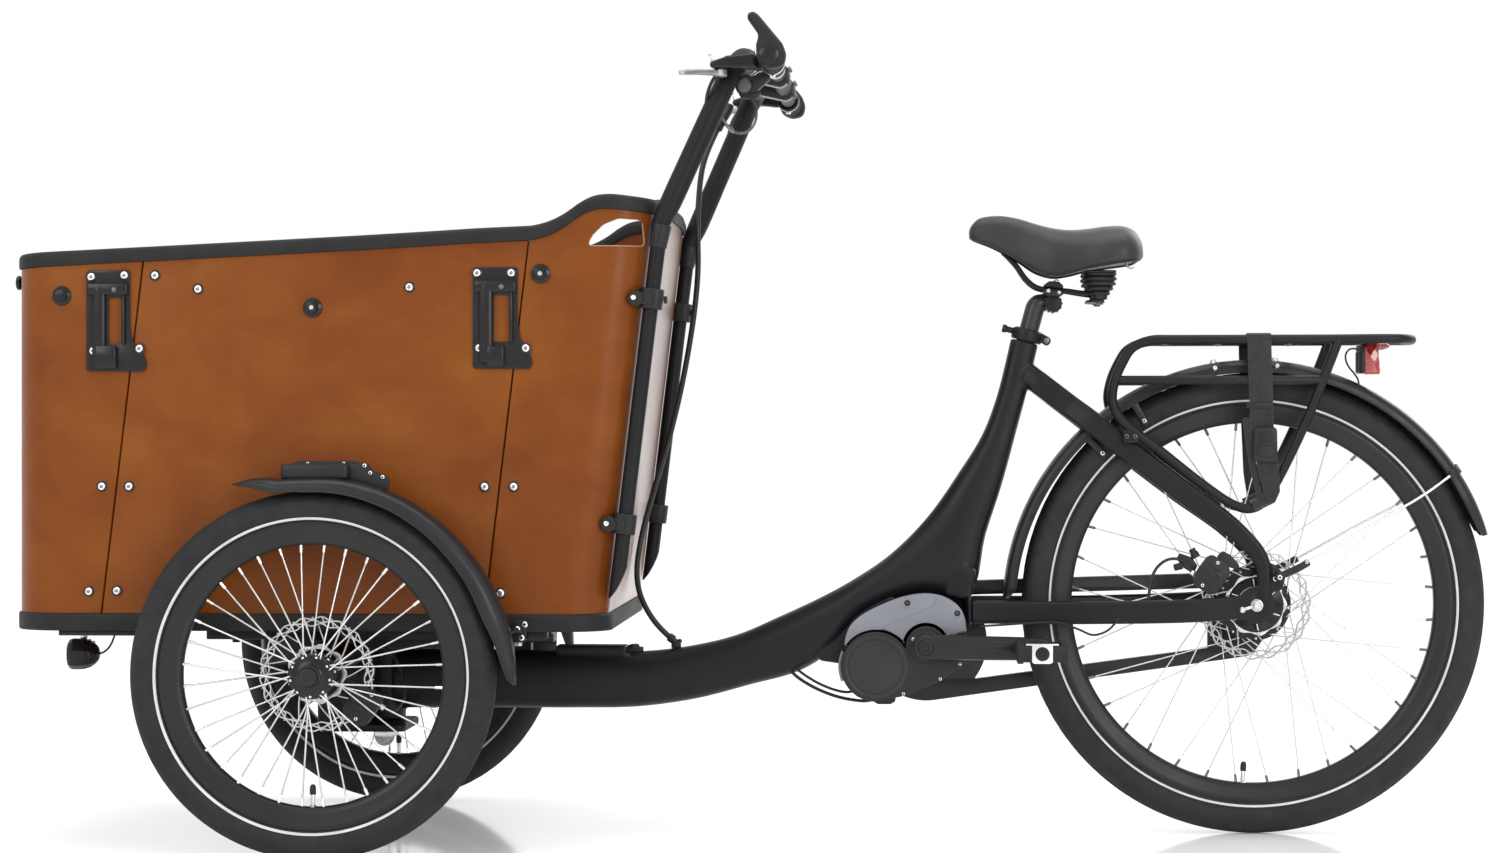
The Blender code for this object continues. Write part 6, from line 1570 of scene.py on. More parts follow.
def brake(s, name, lever_name, body_node, lever_node, lever_body):
    """Hydraulic master with clamp, reservoir and hose nut, and its forged lever."""
    shells = Solid()
    shells.add(lathe([(0.0115, -0.2785), (0.0158, -0.2785), (0.0168, -0.2775), (0.0168, -0.2655), (0.0158, -0.2645), (0.0115, -0.2645)], (BAR_X, 0, BAR_Z), (0, 1, 0), 40, True))
    shells.add(slab(outline([(-0.690, 1.1030), (-0.730, 1.0985), (-0.730, 1.0810), (-0.696, 1.0770)], 0.004, 4), -0.2785, -0.2645, "Y", 0.002))
    shells.add(slab(outline([(-0.704, 1.1010), (-0.745, 1.0965), (-0.7680, 1.0890), (-0.7680, 1.0805), (-0.745, 1.0800), (-0.704, 1.0805)], 0.0045, 5), -0.2920, -0.2650, "Y", 0.0030))
    shells.add(rod((-0.7050, -0.2785, 1.0905), (-0.7620, -0.2785, 1.0845), 0.0082, 28, 0.002))
    mesh = welded(name, shells if s < 0 else shells.flipped(), 0.0012, 5)
    dress(mesh, name, GLOSSY, "front_carrier", [body_node], 45)
    lid = Solid()
    lid.add(slab(outline([(-0.7480, -0.2900), (-0.7100, -0.2905), (-0.7080, -0.2680), (-0.7480, -0.2680)], 0.005, 4), 1.0955, 1.0985, "Z", 0.0010))
    lid.v = [(x, y, z + 0.10 * (x + 0.730)) for x, y, z in lid.v]
    for x in (-0.7440, -0.7130):
        lid.add(screw((x, -0.2792, 1.0982 + 0.10 * (x + 0.730)), (-0.10, 0, 1), 0.0022, 0.0012, True, 16))
    nut = Solid()
    nut.add(lathe([(0, 0), (0.0042, 0), (0.0044, 0.0010), (0.0044, 0.0070), (0.0036, 0.0080), (0.0030, 0.0110), (0, 0.0110)], (-0.7560, -0.2785, 1.0800), (-0.45, 0.1, -1), 20))
    nut.add(rod((-0.7640, -0.2770, 1.0860), (-0.7680, -0.2770, 1.0990), 0.0014, 14))
    nut.add(lathe([(0, -0.0012), (0.0022, -0.0010), (0.0026, 0.0), (0.0022, 0.0014), (0, 0.0018)], (-0.7684, -0.2770, 1.1000), (-0.30, 0, 1), 18))
    if s > 0:
        lid, nut = lid.flipped(), nut.flipped()
    piece(name + "_lid", lid, PLASTIC, "front_carrier")
    piece(name + "_hose_nut", nut, STEEL, "front_carrier")
    px, py, pz = -0.752, 0.281, 1.0740
    line = smooth([
        (px + 0.002, -py + 0.002, pz), (px - 0.012, -py - 0.006, pz), (px - 0.022, -py - 0.018, pz - 0.0005), (px - 0.033, -py - 0.032, pz - 0.0015), (px - 0.040, -py - 0.044, pz - 0.0030),
        (px - 0.0448, -py - 0.060, pz - 0.0045), (px - 0.0465, -py - 0.076, pz - 0.0062), (px - 0.0475, -py - 0.090, pz - 0.0078), (px - 0.0478, -py - 0.1015, pz - 0.0088),
    ], 4)

    def blade(t):
        a = 0.0048 - 0.0012 * t if t < 0.86 else 0.0038 + 0.0010 * math.sin((t - 0.86) / 0.14 * math.pi)
        b = 0.0041 - 0.0006 * t
        return [(x, z) for x, z in round_rect(a, b, 0.0024, 4)]

    lever = Solid().add(sweep(line, blade, ends=0.0016))
    lever.add(lathe([(0, -0.0050), (0.0066, -0.0050), (0.0075, -0.0042), (0.0075, 0.0040), (0.0068, 0.0050), (0, 0.0052)], (px, -py, pz), (0, 0, 1), 32))
    bolt_ = Solid().add(lathe([(0, 0), (0.0036, 0), (0.0036, 0.0012), (0.0030, 0.0018), (0.0018, 0.0018), (0.0017, 0.0006), (0, 0.0006)], (px, -py, pz - 0.0048), (0, 0, -1), 20))
    if s > 0:
        lever, bolt_ = lever.flipped(), bolt_.flipped()
    piece(lever_name, lever, LEVER, lever_body, [lever_node], 40)
    piece(lever_name + "_pivot", bolt_, DARK_STEEL, lever_body, (), 40)


brake(-1, "left_brake_master", "left_lever_blade", "left_brake_body", "left_brake_lever", "left_lever")
brake(1, "right_brake_master", "right_lever_blade", "right_brake_body", "right_brake_lever", "right_lever")

# motor control pod on the bar, inside the left leg, and bell
POD = (-0.7230, -0.2350, 1.0600)
pod = Solid()
pod.add(lathe([(0, -0.0125), (0.0095, -0.0125), (0.0118, -0.0110), (0.0126, -0.0075), (0.0126, 0.0075), (0.0118, 0.0110), (0.0095, 0.0125), (0, 0.0125)], POD, (0, 1, 0), 40))
pod.add(lathe([(0.0113, -0.0075), (0.0150, -0.0075), (0.0156, -0.0065), (0.0156, 0.0065), (0.0150, 0.0075), (0.0113, 0.0075)], (BAR_X, -0.2350, BAR_Z), (0, 1, 0), 40, True))
pod.add(slab(outline([(-0.6880, 1.0790), (-0.6980, 1.0800), (-0.7300, 1.0660), (-0.7260, 1.0490), (-0.7080, 1.0500), (-0.6860, 1.0700)], 0.005, 4), -0.2430, -0.2270, "Y", 0.0025))
pod.add(slab(outline([(-0.7330, 1.0520), (-0.7270, 1.0430), (-0.7060, 1.0420), (-0.6990, 1.0500), (-0.7080, 1.0560)], 0.003, 3), -0.2400, -0.2300, "Y", 0.0015))
piece("control_pod", pod, PLASTIC, "front_carrier", (), 35)
ring = Solid()
for s in (-1, 1):
    ring.add(lathe([(0, 0), (0.0092, 0), (0.0094, 0.0006), (0.0080, 0.0014), (0.0030, 0.0018), (0, 0.0018)], (POD[0], POD[1] + s * 0.0124, POD[2]), (0, s, 0), 40))
piece("control_pod_caps", ring, paint("grey_cap", (0.075, 0.078, 0.085), (0.095, 0.098, 0.105), 0.4), "front_carrier", (), 35)
bits = Solid()
for y in (-0.2330, -0.2250):
    bits.add(rod((-0.7160, y, 1.0755), (-0.7030, y, 1.0830), 0.0021, 16))
    bits.add(rod((-0.7030, y, 1.0830), (-0.6990, y, 1.0853), 0.0030, 16))
piece("control_pod_adjusters", bits, STEEL, "front_carrier", (), 35)

bell = Solid()
bell.add(lathe([(0, 0.0), (0.0150, 0.0), (0.0158, 0.0016), (0.0158, 0.0040), (0.0150, 0.0085), (0.0128, 0.0128), (0.0090, 0.0158), (0.0045, 0.0172), (0, 0.0175)], (BAR_X - 0.0010, -0.2000, BAR_Z + 0.0150), (-0.25, 0, 1), 48))
piece("bell_dome", bell, GLOSSY, "front_carrier", (), 35)
mount = Solid()
mount.add(lathe([(0.0112, -0.0060), (0.0138, -0.0060), (0.0142, -0.0052), (0.0142, 0.0052), (0.0138, 0.0060), (0.0112, 0.0060)], (BAR_X, -0.2000, BAR_Z), (0, 1, 0), 36, True))
mount.add(box(BAR_X - 0.0060, BAR_X + 0.0060, -0.2060, -0.1940, BAR_Z + 0.0125, BAR_Z + 0.0160, 0.002, 0.0008))
mount.add(tube([(BAR_X - 0.012, -0.2000, BAR_Z + 0.0160), (BAR_X - 0.024, -0.2010, BAR_Z + 0.0160), (BAR_X - 0.0275, -0.2010, BAR_Z + 0.0230), (BAR_X - 0.0270, -0.2010, BAR_Z + 0.0290)], 0.0014, 12))
piece("bell_mount", mount, STEEL, "front_carrier", (), 35)


# ------------------------------------------------------------------ cords
def cord(name, points, r, body, per=6, replaces=(), blend=None, mat=None, sides=16):
    """A cable as a mesh tube along one smooth curve, both of whose ends go into the object."""
    path = smooth(points, per)
    made = Solid().add(sweep(path, circle(r, sides), (0, 1, 0), ends=r * 0.3))
    mesh = mesh_from(name, made.v, made.f)
    mesh.name = name
    obj = bpy.data.objects.new(name, mesh)
    bpy.context.scene.collection.objects.link(obj)
    mesh.materials.append(mat or CABLE)
    mesh.shade_smooth()
    if blend:
        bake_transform(obj)
    else:
        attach(obj, body)
    if replaces:
        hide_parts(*replaces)
    length = sum((b - a).length for a, b in zip(path, path[1:]))
    return obj, length


def low_seen(points, y):
    return [(x, y, z) for x, z in points]


RUN = [(-0.8060, 0.8700), (-0.8060, 0.8150), (-0.8120, 0.7500), (-0.8280, 0.6560), (-0.8460, 0.5790), (-0.8660, 0.5100), (-0.8830, 0.4500)]
HARNESS = (
    [(-0.7660, 0.120, 1.0600), (-0.7830, 0.100, 1.0250), (-0.8000, 0.070, 0.9750), (-0.8055, 0.050, 0.9200)] + low_seen(RUN, 0.040)
    + [(-0.8910, 0.030, 0.4100), (-0.8940, 0.018, 0.3760), (-0.8900, 0.008, 0.3480), (-0.8800, 0.002, 0.3240), (-0.8640, 0.0, 0.3000), (-0.8440, 0.0, 0.2800), (-0.8350, 0.0, 0.2735)]
)
BEND = ("front_carrier", "rear_frame", (REAR_AXLE_X - 0.889, 0.0, 0.350), (REAR_AXLE_X - 0.889, 0.0, 0.272))
cord("control_harness", HARNESS, 0.0042, None, 6, ["control_cable"], BEND)
for s, word in ((-1, "left"), (1, "right")):
    cord(word + "_lever_hose", [(-0.7600, s * 0.2775, 1.0715), (-0.7660, s * 0.2765, 1.0620), (-0.7715, s * 0.2740, 1.0480), (-0.7738, s * 0.2705, 1.0340), (-0.7725, s * 0.2675, 1.0220), (-0.7690, s * 0.2660, 1.0120)], 0.0024, "front_carrier")
cord("cross_cable", [(-0.7560, -0.2560, 1.0180), (-0.7510, -0.2300, 1.0120), (-0.7480, -0.1600, 1.0070), (-0.7480, -0.0700, 1.0110), (-0.7530, 0.0200, 1.0220), (-0.7620, 0.0850, 1.0330), (-0.7745, 0.1130, 1.0420)], 0.0018, "front_carrier")
cord("pod_cable", [(-0.7180, -0.2350, 1.0500), (-0.7130, -0.2330, 1.0420), (-0.7080, -0.2240, 1.0330), (-0.7080, -0.2000, 1.0220), (-0.7140, -0.1500, 1.0140), (-0.7260, -0.0800, 1.0110), (-0.7420, 0.0000, 1.0150), (-0.7580, 0.0640, 1.0250), (-0.7720, 0.1060, 1.0400)], 0.0019, "front_carrier")
# sleeve that gathers the cables at the top of the harness, and the tie at the frame
gather = Solid()
gather.add(tube([(-0.7640, 0.1230, 1.0660), (-0.7668, 0.1190, 1.0580), (-0.7730, 0.1115, 1.0460), (-0.7800, 0.1035, 1.0310)], 0.0066, 24, 5, ends=0.002))
piece("harness_sleeve", gather, PLASTIC, "front_carrier")
clip = Solid()
clip.add(lathe([(0.0044, -0.0045), (0.0060, -0.0045), (0.0064, -0.0038), (0.0064, 0.0038), (0.0060, 0.0045), (0.0044, 0.0045)], (-0.8420, 0.0, 0.2785), (0.82, 0, -0.57), 28, True))
clip.add(box(-0.8420, -0.8280, -0.0060, 0.0060, 0.2645, 0.2735, 0.003, 0.001))
clip.add(lathe([(0, 0), (0.0032, 0), (0.0032, 0.0030), (0.0022, 0.0050), (0, 0.0054)], (-0.8300, 0.0, 0.2725), (0.1, 0, 1), 16))
piece("harness_clip", clip, PLASTIC, "rear_frame")


# ------------------------------------------------------------------ headlight
def headlight():
    body = Solid()
    profile = [(0, -1.7300), (0.0195, -1.7300), (0.0215, -1.7292), (0.0232, -1.7255), (0.0235, -1.7230), (0.0230, -1.7080), (0.0205, -1.6995), (0.0160, -1.6930), (0.0110, -1.6880), (0.0060, -1.6858), (0, -1.6850)]
    body.add(lathe([(r, x + 1.7085) for r, x in profile], (-1.7085, 0, 0.2530), (1, 0, 0), 12, start=(0, 0.26, 1)))
    for k in range(3):
        body.add(box(-1.7090 + 0.0060 * k, -1.7062 + 0.0060 * k, -0.010, 0.010, 0.2742 - 0.0028 * k, 0.2775 - 0.0028 * k, 0.001, 0.0006))
    piece("headlight_shell", body, GLOSSY, "front_carrier", ["headlight"], 22)
    front = Solid().add(lathe([(0, 0.0), (0.0190, 0.0), (0.0194, 0.0008), (0.0180, 0.0020), (0.0120, 0.0032), (0, 0.0036)], (-1.7296, 0, 0.2530), (-1, 0, 0), 48))
    piece("headlight_lens", front, CLEAR, "front_carrier")
    arm = Solid()
    arm.add(slab(outline([(-1.7120, 0.2790), (-1.7150, 0.2900), (-1.7020, 0.3055), (-1.6720, 0.3055), (-1.6720, 0.3022), (-1.6990, 0.3010), (-1.7075, 0.2900), (-1.7060, 0.2790)], 0.0012, 3), -0.0075, 0.0075, "Y", 0.0008))
    arm.add(box(-1.7000, -1.6600, -0.0120, 0.0120, 0.3035, 0.3093, 0.003, 0.001))
    piece("headlight_arm", arm, FRAME, "front_carrier")
    ball = Solid()
    ball.add(lathe([(0, -0.0060), (0.0035, -0.0052), (0.0055, -0.0028), (0.0060, 0.0), (0.0055, 0.0028), (0.0035, 0.0052), (0, 0.0060)], (-1.7090, 0, 0.2800), (0, 1, 0), 24))
    ball.add(rod((-1.7090, -0.0115, 0.2800), (-1.7090, 0.0115, 0.2800), 0.0026, 16))
    ball.add(bolt((-1.6800, 0.0, 0.3036), (0, 0, -1), 0.0042, 0.0036))
    piece("headlight_ball", ball, STEEL, "front_carrier")
    cord("headlight_wire", [(-1.6870, 0.0, 0.2530), (-1.6790, 0.0, 0.2560), (-1.6710, 0.002, 0.2640), (-1.6650, 0.004, 0.2780), (-1.6600, 0.006, 0.2930), (-1.6540, 0.008, 0.3085)], 0.0015, "front_carrier")


headlight()


# ------------------------------------------------------------------ seat
def seat_parts():
    d = (along_seat(0.80) - along_seat(0.70)).normalized()
    fore = Vector((-d.z, 0, d.x))
    ring, bright = Solid(), Solid()
    base = along_seat(0.7195)
    ring.add(lathe([(0.0149, -0.0082), (0.0208, -0.0082), (0.0222, -0.0070), (0.0225, -0.0045), (0.0225, 0.0045), (0.0222, 0.0068), (0.0208, 0.0080), (0.0149, 0.0080)], base, d, 56, True))
    ring.add(lathe([(0.0149, 0.0080), (0.0195, 0.0080), (0.0190, 0.0092), (0.0149, 0.0092)], base, d, 56, True))
    # lever nub in front
    nub = base + fore * 0.0180 + d * 0.0018
    ring.add(lathe([(0, -0.002), (0.0044, -0.002), (0.0044, 0.0120), (0.0050, 0.0132), (0.0058, 0.0145), (0.0058, 0.0185), (0.0048, 0.0195), (0, 0.0195)], nub, fore, 24))
    # eye at the back with its bolt
    for y0, y1 in ((-0.0090, -0.0014), (0.0014, 0.0090)):
        pts = []
        for z, off in ((0.7165, 0.0165), (0.7125, 0.0300), (0.7140, 0.0335), (0.7175, 0.0352), (0.7215, 0.0350), (0.7245, 0.0325), (0.7285, 0.0165)):
            p = along_seat(z, off)
            pts.append((p.x, p.z))
        ring.add(slab(outline(pts, 0.0030, 4), y0, y1, "Y", 0.0012))
    eye = along_seat(0.7192, 0.0285)
    bright.add(rod((eye.x, -0.0125, eye.z), (eye.x, 0.0125, eye.z), 0.0026, 20, 0.0006))
    bright.add(lathe([(0, 0), (0.0048, 0), (0.0048, 0.0018), (0.0038, 0.0032), (0.0022, 0.0036), (0.0021, 0.0018), (0, 0.0018)], (eye.x, -0.0090, eye.z), (0, -1, 0), 24))
    bright.add(lathe([(0, 0), (0.0042, 0), (0.0042, 0.0030), (0.0030, 0.0036), (0, 0.0036)], (eye.x, 0.0090, eye.z), (0, 1, 0), 6))
    piece("seat_clamp_ring", ring, FRAME, "rear_frame", ["seat_clamp"], 38)
    piece("seat_clamp_bolt", bright, DARK_STEEL, "rear_frame", (), 38)

    line = rounded([along_seat(0.5215), along_seat(0.640), along_seat(0.7650, 0.0010), Vector((-0.2890, 0, 0.7700))], [0, 0, 0.0105, 0], 6)

    def girth(t):
        return circle(0.0140 if t < 0.86 else 0.0140 - 0.0026 * (t - 0.86) / 0.14, 40)

    post = Solid().add(sweep(line, girth, ends=0.0012))
    piece("seat_post_tube", post, paint("post_coat", (0.0170, 0.0170, 0.0185), (0.0240, 0.0240, 0.0260), 0.36, coat=0.1), "seat", ["seat_post"], 40)
    head = Solid()
    head.add(rod((-0.2870, -0.0200, 0.7655), (-0.2870, 0.0200, 0.7655), 0.0125, 40, 0.0020))
    for s in (-1, 1):
        for a in range(0, 360, 30):
            t = math.radians(a)
            c = Vector((-0.2870 + 0.0118 * math.cos(t), s * 0.0165, 0.7655 + 0.0118 * math.sin(t)))
            head.add(rod(c + Vector((0, -0.0040, 0)), c + Vector((0, 0.0040, 0)), 0.0018, 8, 0.0004))
    piece("seat_post_head", head, FRAME, "seat", (), 35)


seat_parts()


def saddle_clamp():
    lower = slab(outline([(-0.3010, 0.7792), (-0.3015, 0.7860), (-0.2725, 0.7836), (-0.2730, 0.7780), (-0.2790, 0.7752), (-0.2950, 0.7756)], 0.0025, 4), -0.0285, 0.0285, "Y", 0.0020)
    upper = slab(outline([(-0.3015, 0.7896), (-0.3005, 0.7925), (-0.2935, 0.7973), (-0.2800, 0.7973), (-0.2735, 0.7915), (-0.2725, 0.7868)], 0.0025, 4), -0.0285, 0.0285, "Y", 0.0020)
    piece("saddle_clamp_jaws", Solid().add(lower).add(upper), PLASTIC, "seat", ["saddle_clamp"], 35)
    bright = Solid()
    bright.add(rod((-0.2820, 0.0, 0.7770), (-0.2820, 0.0, 0.8010), 0.0026, 16, 0.0006))
    bright.add(turned_to(slab([(0.0046 * math.cos(TAU * k / 6), 0.0046 * math.sin(TAU * k / 6)) for k in range(6)], 0.0, 0.0030, "Z", 0.0005), (-0.2820, 0.0, 0.7970), (0, 0, 1)))
    for s in (-1, 1):
        bright.add(lathe([(0, 0), (0.0034, 0), (0.0034, 0.0012), (0.0026, 0.0022), (0, 0.0024)], (-0.2945, s * 0.0282, 0.7835), (0, s, 0), 20))
        bright.add(lathe([(0, 0), (0.0030, 0), (0.0030, 0.0010), (0.0022, 0.0018), (0, 0.0020)], (-0.2790, s * 0.0282, 0.7812), (0, s, 0), 20))
    piece("saddle_clamp_bolts", bright, STEEL, "seat", (), 35)


saddle_clamp()


def saddle_rails():
    base = [
        (-0.3590, 0, 0.8390), (-0.3530, -0.0080, 0.8340), (-0.3400, -0.0160, 0.8200), (-0.3270, -0.0205, 0.8015), (-0.3160, -0.0215, 0.7915),
        (-0.3050, -0.0215, 0.7868), (-0.2680, -0.0215, 0.7837), (-0.2520, -0.0245, 0.7812), (-0.2400, -0.0300, 0.7796), (-0.2310, -0.0350, 0.7790), (-0.2240, -0.0385, 0.7788),
    ]
    right = [(x, -y, z) for x, y, z in base]
    made = Solid().add(tube(list(reversed(right)) + base[1:], 0.0034, 20, 6, (0, 0, 1), ends=0.001))
    made.add(slab(outline([(-0.2400, -0.0300), (-0.2330, -0.0480), (-0.2150, -0.0480), (-0.2150, 0.0480), (-0.2330, 0.0480), (-0.2400, 0.0300)], 0.004, 4), 0.7662, 0.7698, "Z", 0.0008))
    piece("saddle_rail_wires", made, TUBE, "seat", ["saddle_rails"], 38)
    made = Solid()
    for s in (-1, 1):
        profile = [(0, 0.7700), (0.0096, 0.7700), (0.0106, 0.7708), (0.0110, 0.7742)]
        for z, wide in ((0.7760, 0.0150), (0.7832, 0.0196), (0.7902, 0.0236), (0.7972, 0.0248), (0.8040, 0.0244)):
            profile += [(wide - 0.0036, z), (wide - 0.0008, z + 0.0006), (wide, z + 0.0022), (wide - 0.0004, z + 0.0042), (wide - 0.0022, z + 0.0056)]
        profile += [(0.0232, 0.8106), (0, 0.8106)]
        made.add(lathe(profile, (-0.2215, s * 0.040, 0), (0, 0, 1), 48))
    made.add(slab(outline([(-0.2440, -0.0620), (-0.1985, -0.0640), (-0.1985, 0.0640), (-0.2440, 0.0620)], 0.008, 5), 0.8082, 0.8118, "Z", 0.0008))
    piece("saddle_bellows", made, PLASTIC, "seat", ["saddle_springs"], 50)
    foot = Solid()
    for s in (-1, 1):
        foot.add(bolt((-0.2215, s * 0.040, 0.7662), (0, 0, -1), 0.0050, 0.0034))
    piece("saddle_bellows_nuts", foot, DARK_STEEL, "seat", (), 35)


saddle_rails()

SADDLE_ROWS = [
    (-0.4088, 0.8700, 0.8660, 0.0045), (-0.4080, 0.8738, 0.8636, 0.0100), (-0.4040, 0.8808, 0.8600, 0.0170), (-0.3950, 0.8890, 0.8565, 0.0215),
    (-0.3800, 0.8925, 0.8510, 0.0250), (-0.3600, 0.8930, 0.8415, 0.0280), (-0.3350, 0.8885, 0.8270, 0.0330),
    (-0.3130, 0.8815, 0.8130, 0.0420), (-0.2880, 0.8750, 0.8060, 0.0540), (-0.2640, 0.8722, 0.8090, 0.0690),
    (-0.2380, 0.8735, 0.8160, 0.0830), (-0.2110, 0.8770, 0.8205, 0.0900), (-0.1850, 0.8765, 0.8240, 0.0880),
    (-0.1700, 0.8690, 0.8262, 0.0770), (-0.1620, 0.8570, 0.8285, 0.0600), (-0.1590, 0.8450, 0.8320, 0.0380), (-0.1585, 0.8400, 0.8345, 0.0180),
]
HALF = [(0.0, 0.11), (0.40, 0.10), (0.72, 0.06), (0.93, 0.0), (0.985, 0.03), (1.0, 0.12), (1.0, 0.28), (0.965, 0.50), (0.88, 0.70), (0.74, 0.85), (0.55, 0.945), (0.30, 0.99)]


def saddle_skin(rows, grow=0.0, crown=1.0):
    shape = HALF + [(0.0, 1.0)] + [(-a, b) for a, b in reversed(HALF[1:])]
    per = 5
    tops = smooth([(x, 0, t) for x, t, l, w in rows], per)
    lows = smooth([(x, 0, l) for x, t, l, w in rows], per)
    wides = smooth([(x, 0, w) for x, t, l, w in rows], per)
    rings = []
    for t, l, w in zip(tops, lows, wides, strict=True):
        h = t.z - l.z
        ring = smooth([(0, a * max(0.001, w.z + grow), l.z + b * h) for a, b in shape], 3, True)
        rings.append([Vector((t.x, p.y, p.z)) for p in ring])
    return skin(rings)


cover = Solid().add(saddle_skin(SADDLE_ROWS))
seat_cover = piece("saddle_cover", cover, SADDLE, "seat", ["saddle"], 80)
# base shell edge: a thin moulded rim that follows the cover's lower edge
rows = SADDLE_ROWS[2:-3]
left = [(x, -w * 0.945, l - 0.0004) for x, t, l, w in rows]
edge_line = [(-0.4066, 0.0, 0.8622)] + left + [(-0.1632, -0.0300, 0.8292), (-0.1612, 0.0, 0.8296)]
loop = edge_line + [(x, -y, z) for x, y, z in reversed(edge_line[1:-1])]
rim_ = Solid().add(sweep(smooth(loop, 5, True), round_rect(0.0014, 0.0022, 0.0012, 3), (0, 1, 0), True))
piece("saddle_base_rim", rim_, PLASTIC, "seat", (), 60)
shell_rows = [(x, l + 0.0050, l - 0.0012 if i not in (0, 1) else l + 0.001, w * 0.90) for i, (x, t, l, w) in enumerate(SADDLE_ROWS[1:-1])]
under_shell = []
for x, top, low, w in shell_rows:
    under_shell.append([Vector((x, y * w, z)) for y, z in ((-1, low + 0.0022), (-0.6, low + 0.0028), (0, low + 0.0034), (0.6, low + 0.0028), (1, low + 0.0022), (0.9, top), (-0.9, top))])
piece("saddle_base_shell", Solid().add(skin(under_shell)), PLASTIC, "seat", (), 40)
hook = Solid()
for s in (-1, 1):
    hook.add(tube([(-0.1820, s * 0.010, 0.8250), (-0.1790, s * 0.010, 0.8190), (-0.1740, s * 0.010, 0.8165), (-0.1700, s * 0.0085, 0.8180)], 0.0009, 10, 5))
piece("saddle_bag_loops", hook, STEEL, "seat")


# ------------------------------------------------------------------ motor
MOTOR_TOP = [(p.x, p.z) for p in smooth([
    (-0.5885, 0, 0.2680), (-0.5868, 0, 0.2840), (-0.5800, 0, 0.3010), (-0.5645, 0, 0.3160), (-0.5355, 0, 0.3315), (-0.5015, 0, 0.3440),
    (-0.4680, 0, 0.3480), (-0.4440, 0, 0.3430), (-0.4245, 0, 0.3300), (-0.4155, 0, 0.3135), (-0.4132, 0, 0.2940),
], 4)]
ROUND = (-0.543, 0.243)
MOTOR_LOW = [(-0.4130, 0.262), (-0.4190, 0.243), (-0.4530, 0.222), (-0.5060, 0.200)] + arc(*ROUND, 0.0490, 250, 175, 12)


def taken(obj):
    """The mesh of a finished helper object, without the object."""
    mesh = obj.data
    bpy.data.objects.remove(obj, do_unlink=True)
    return mesh


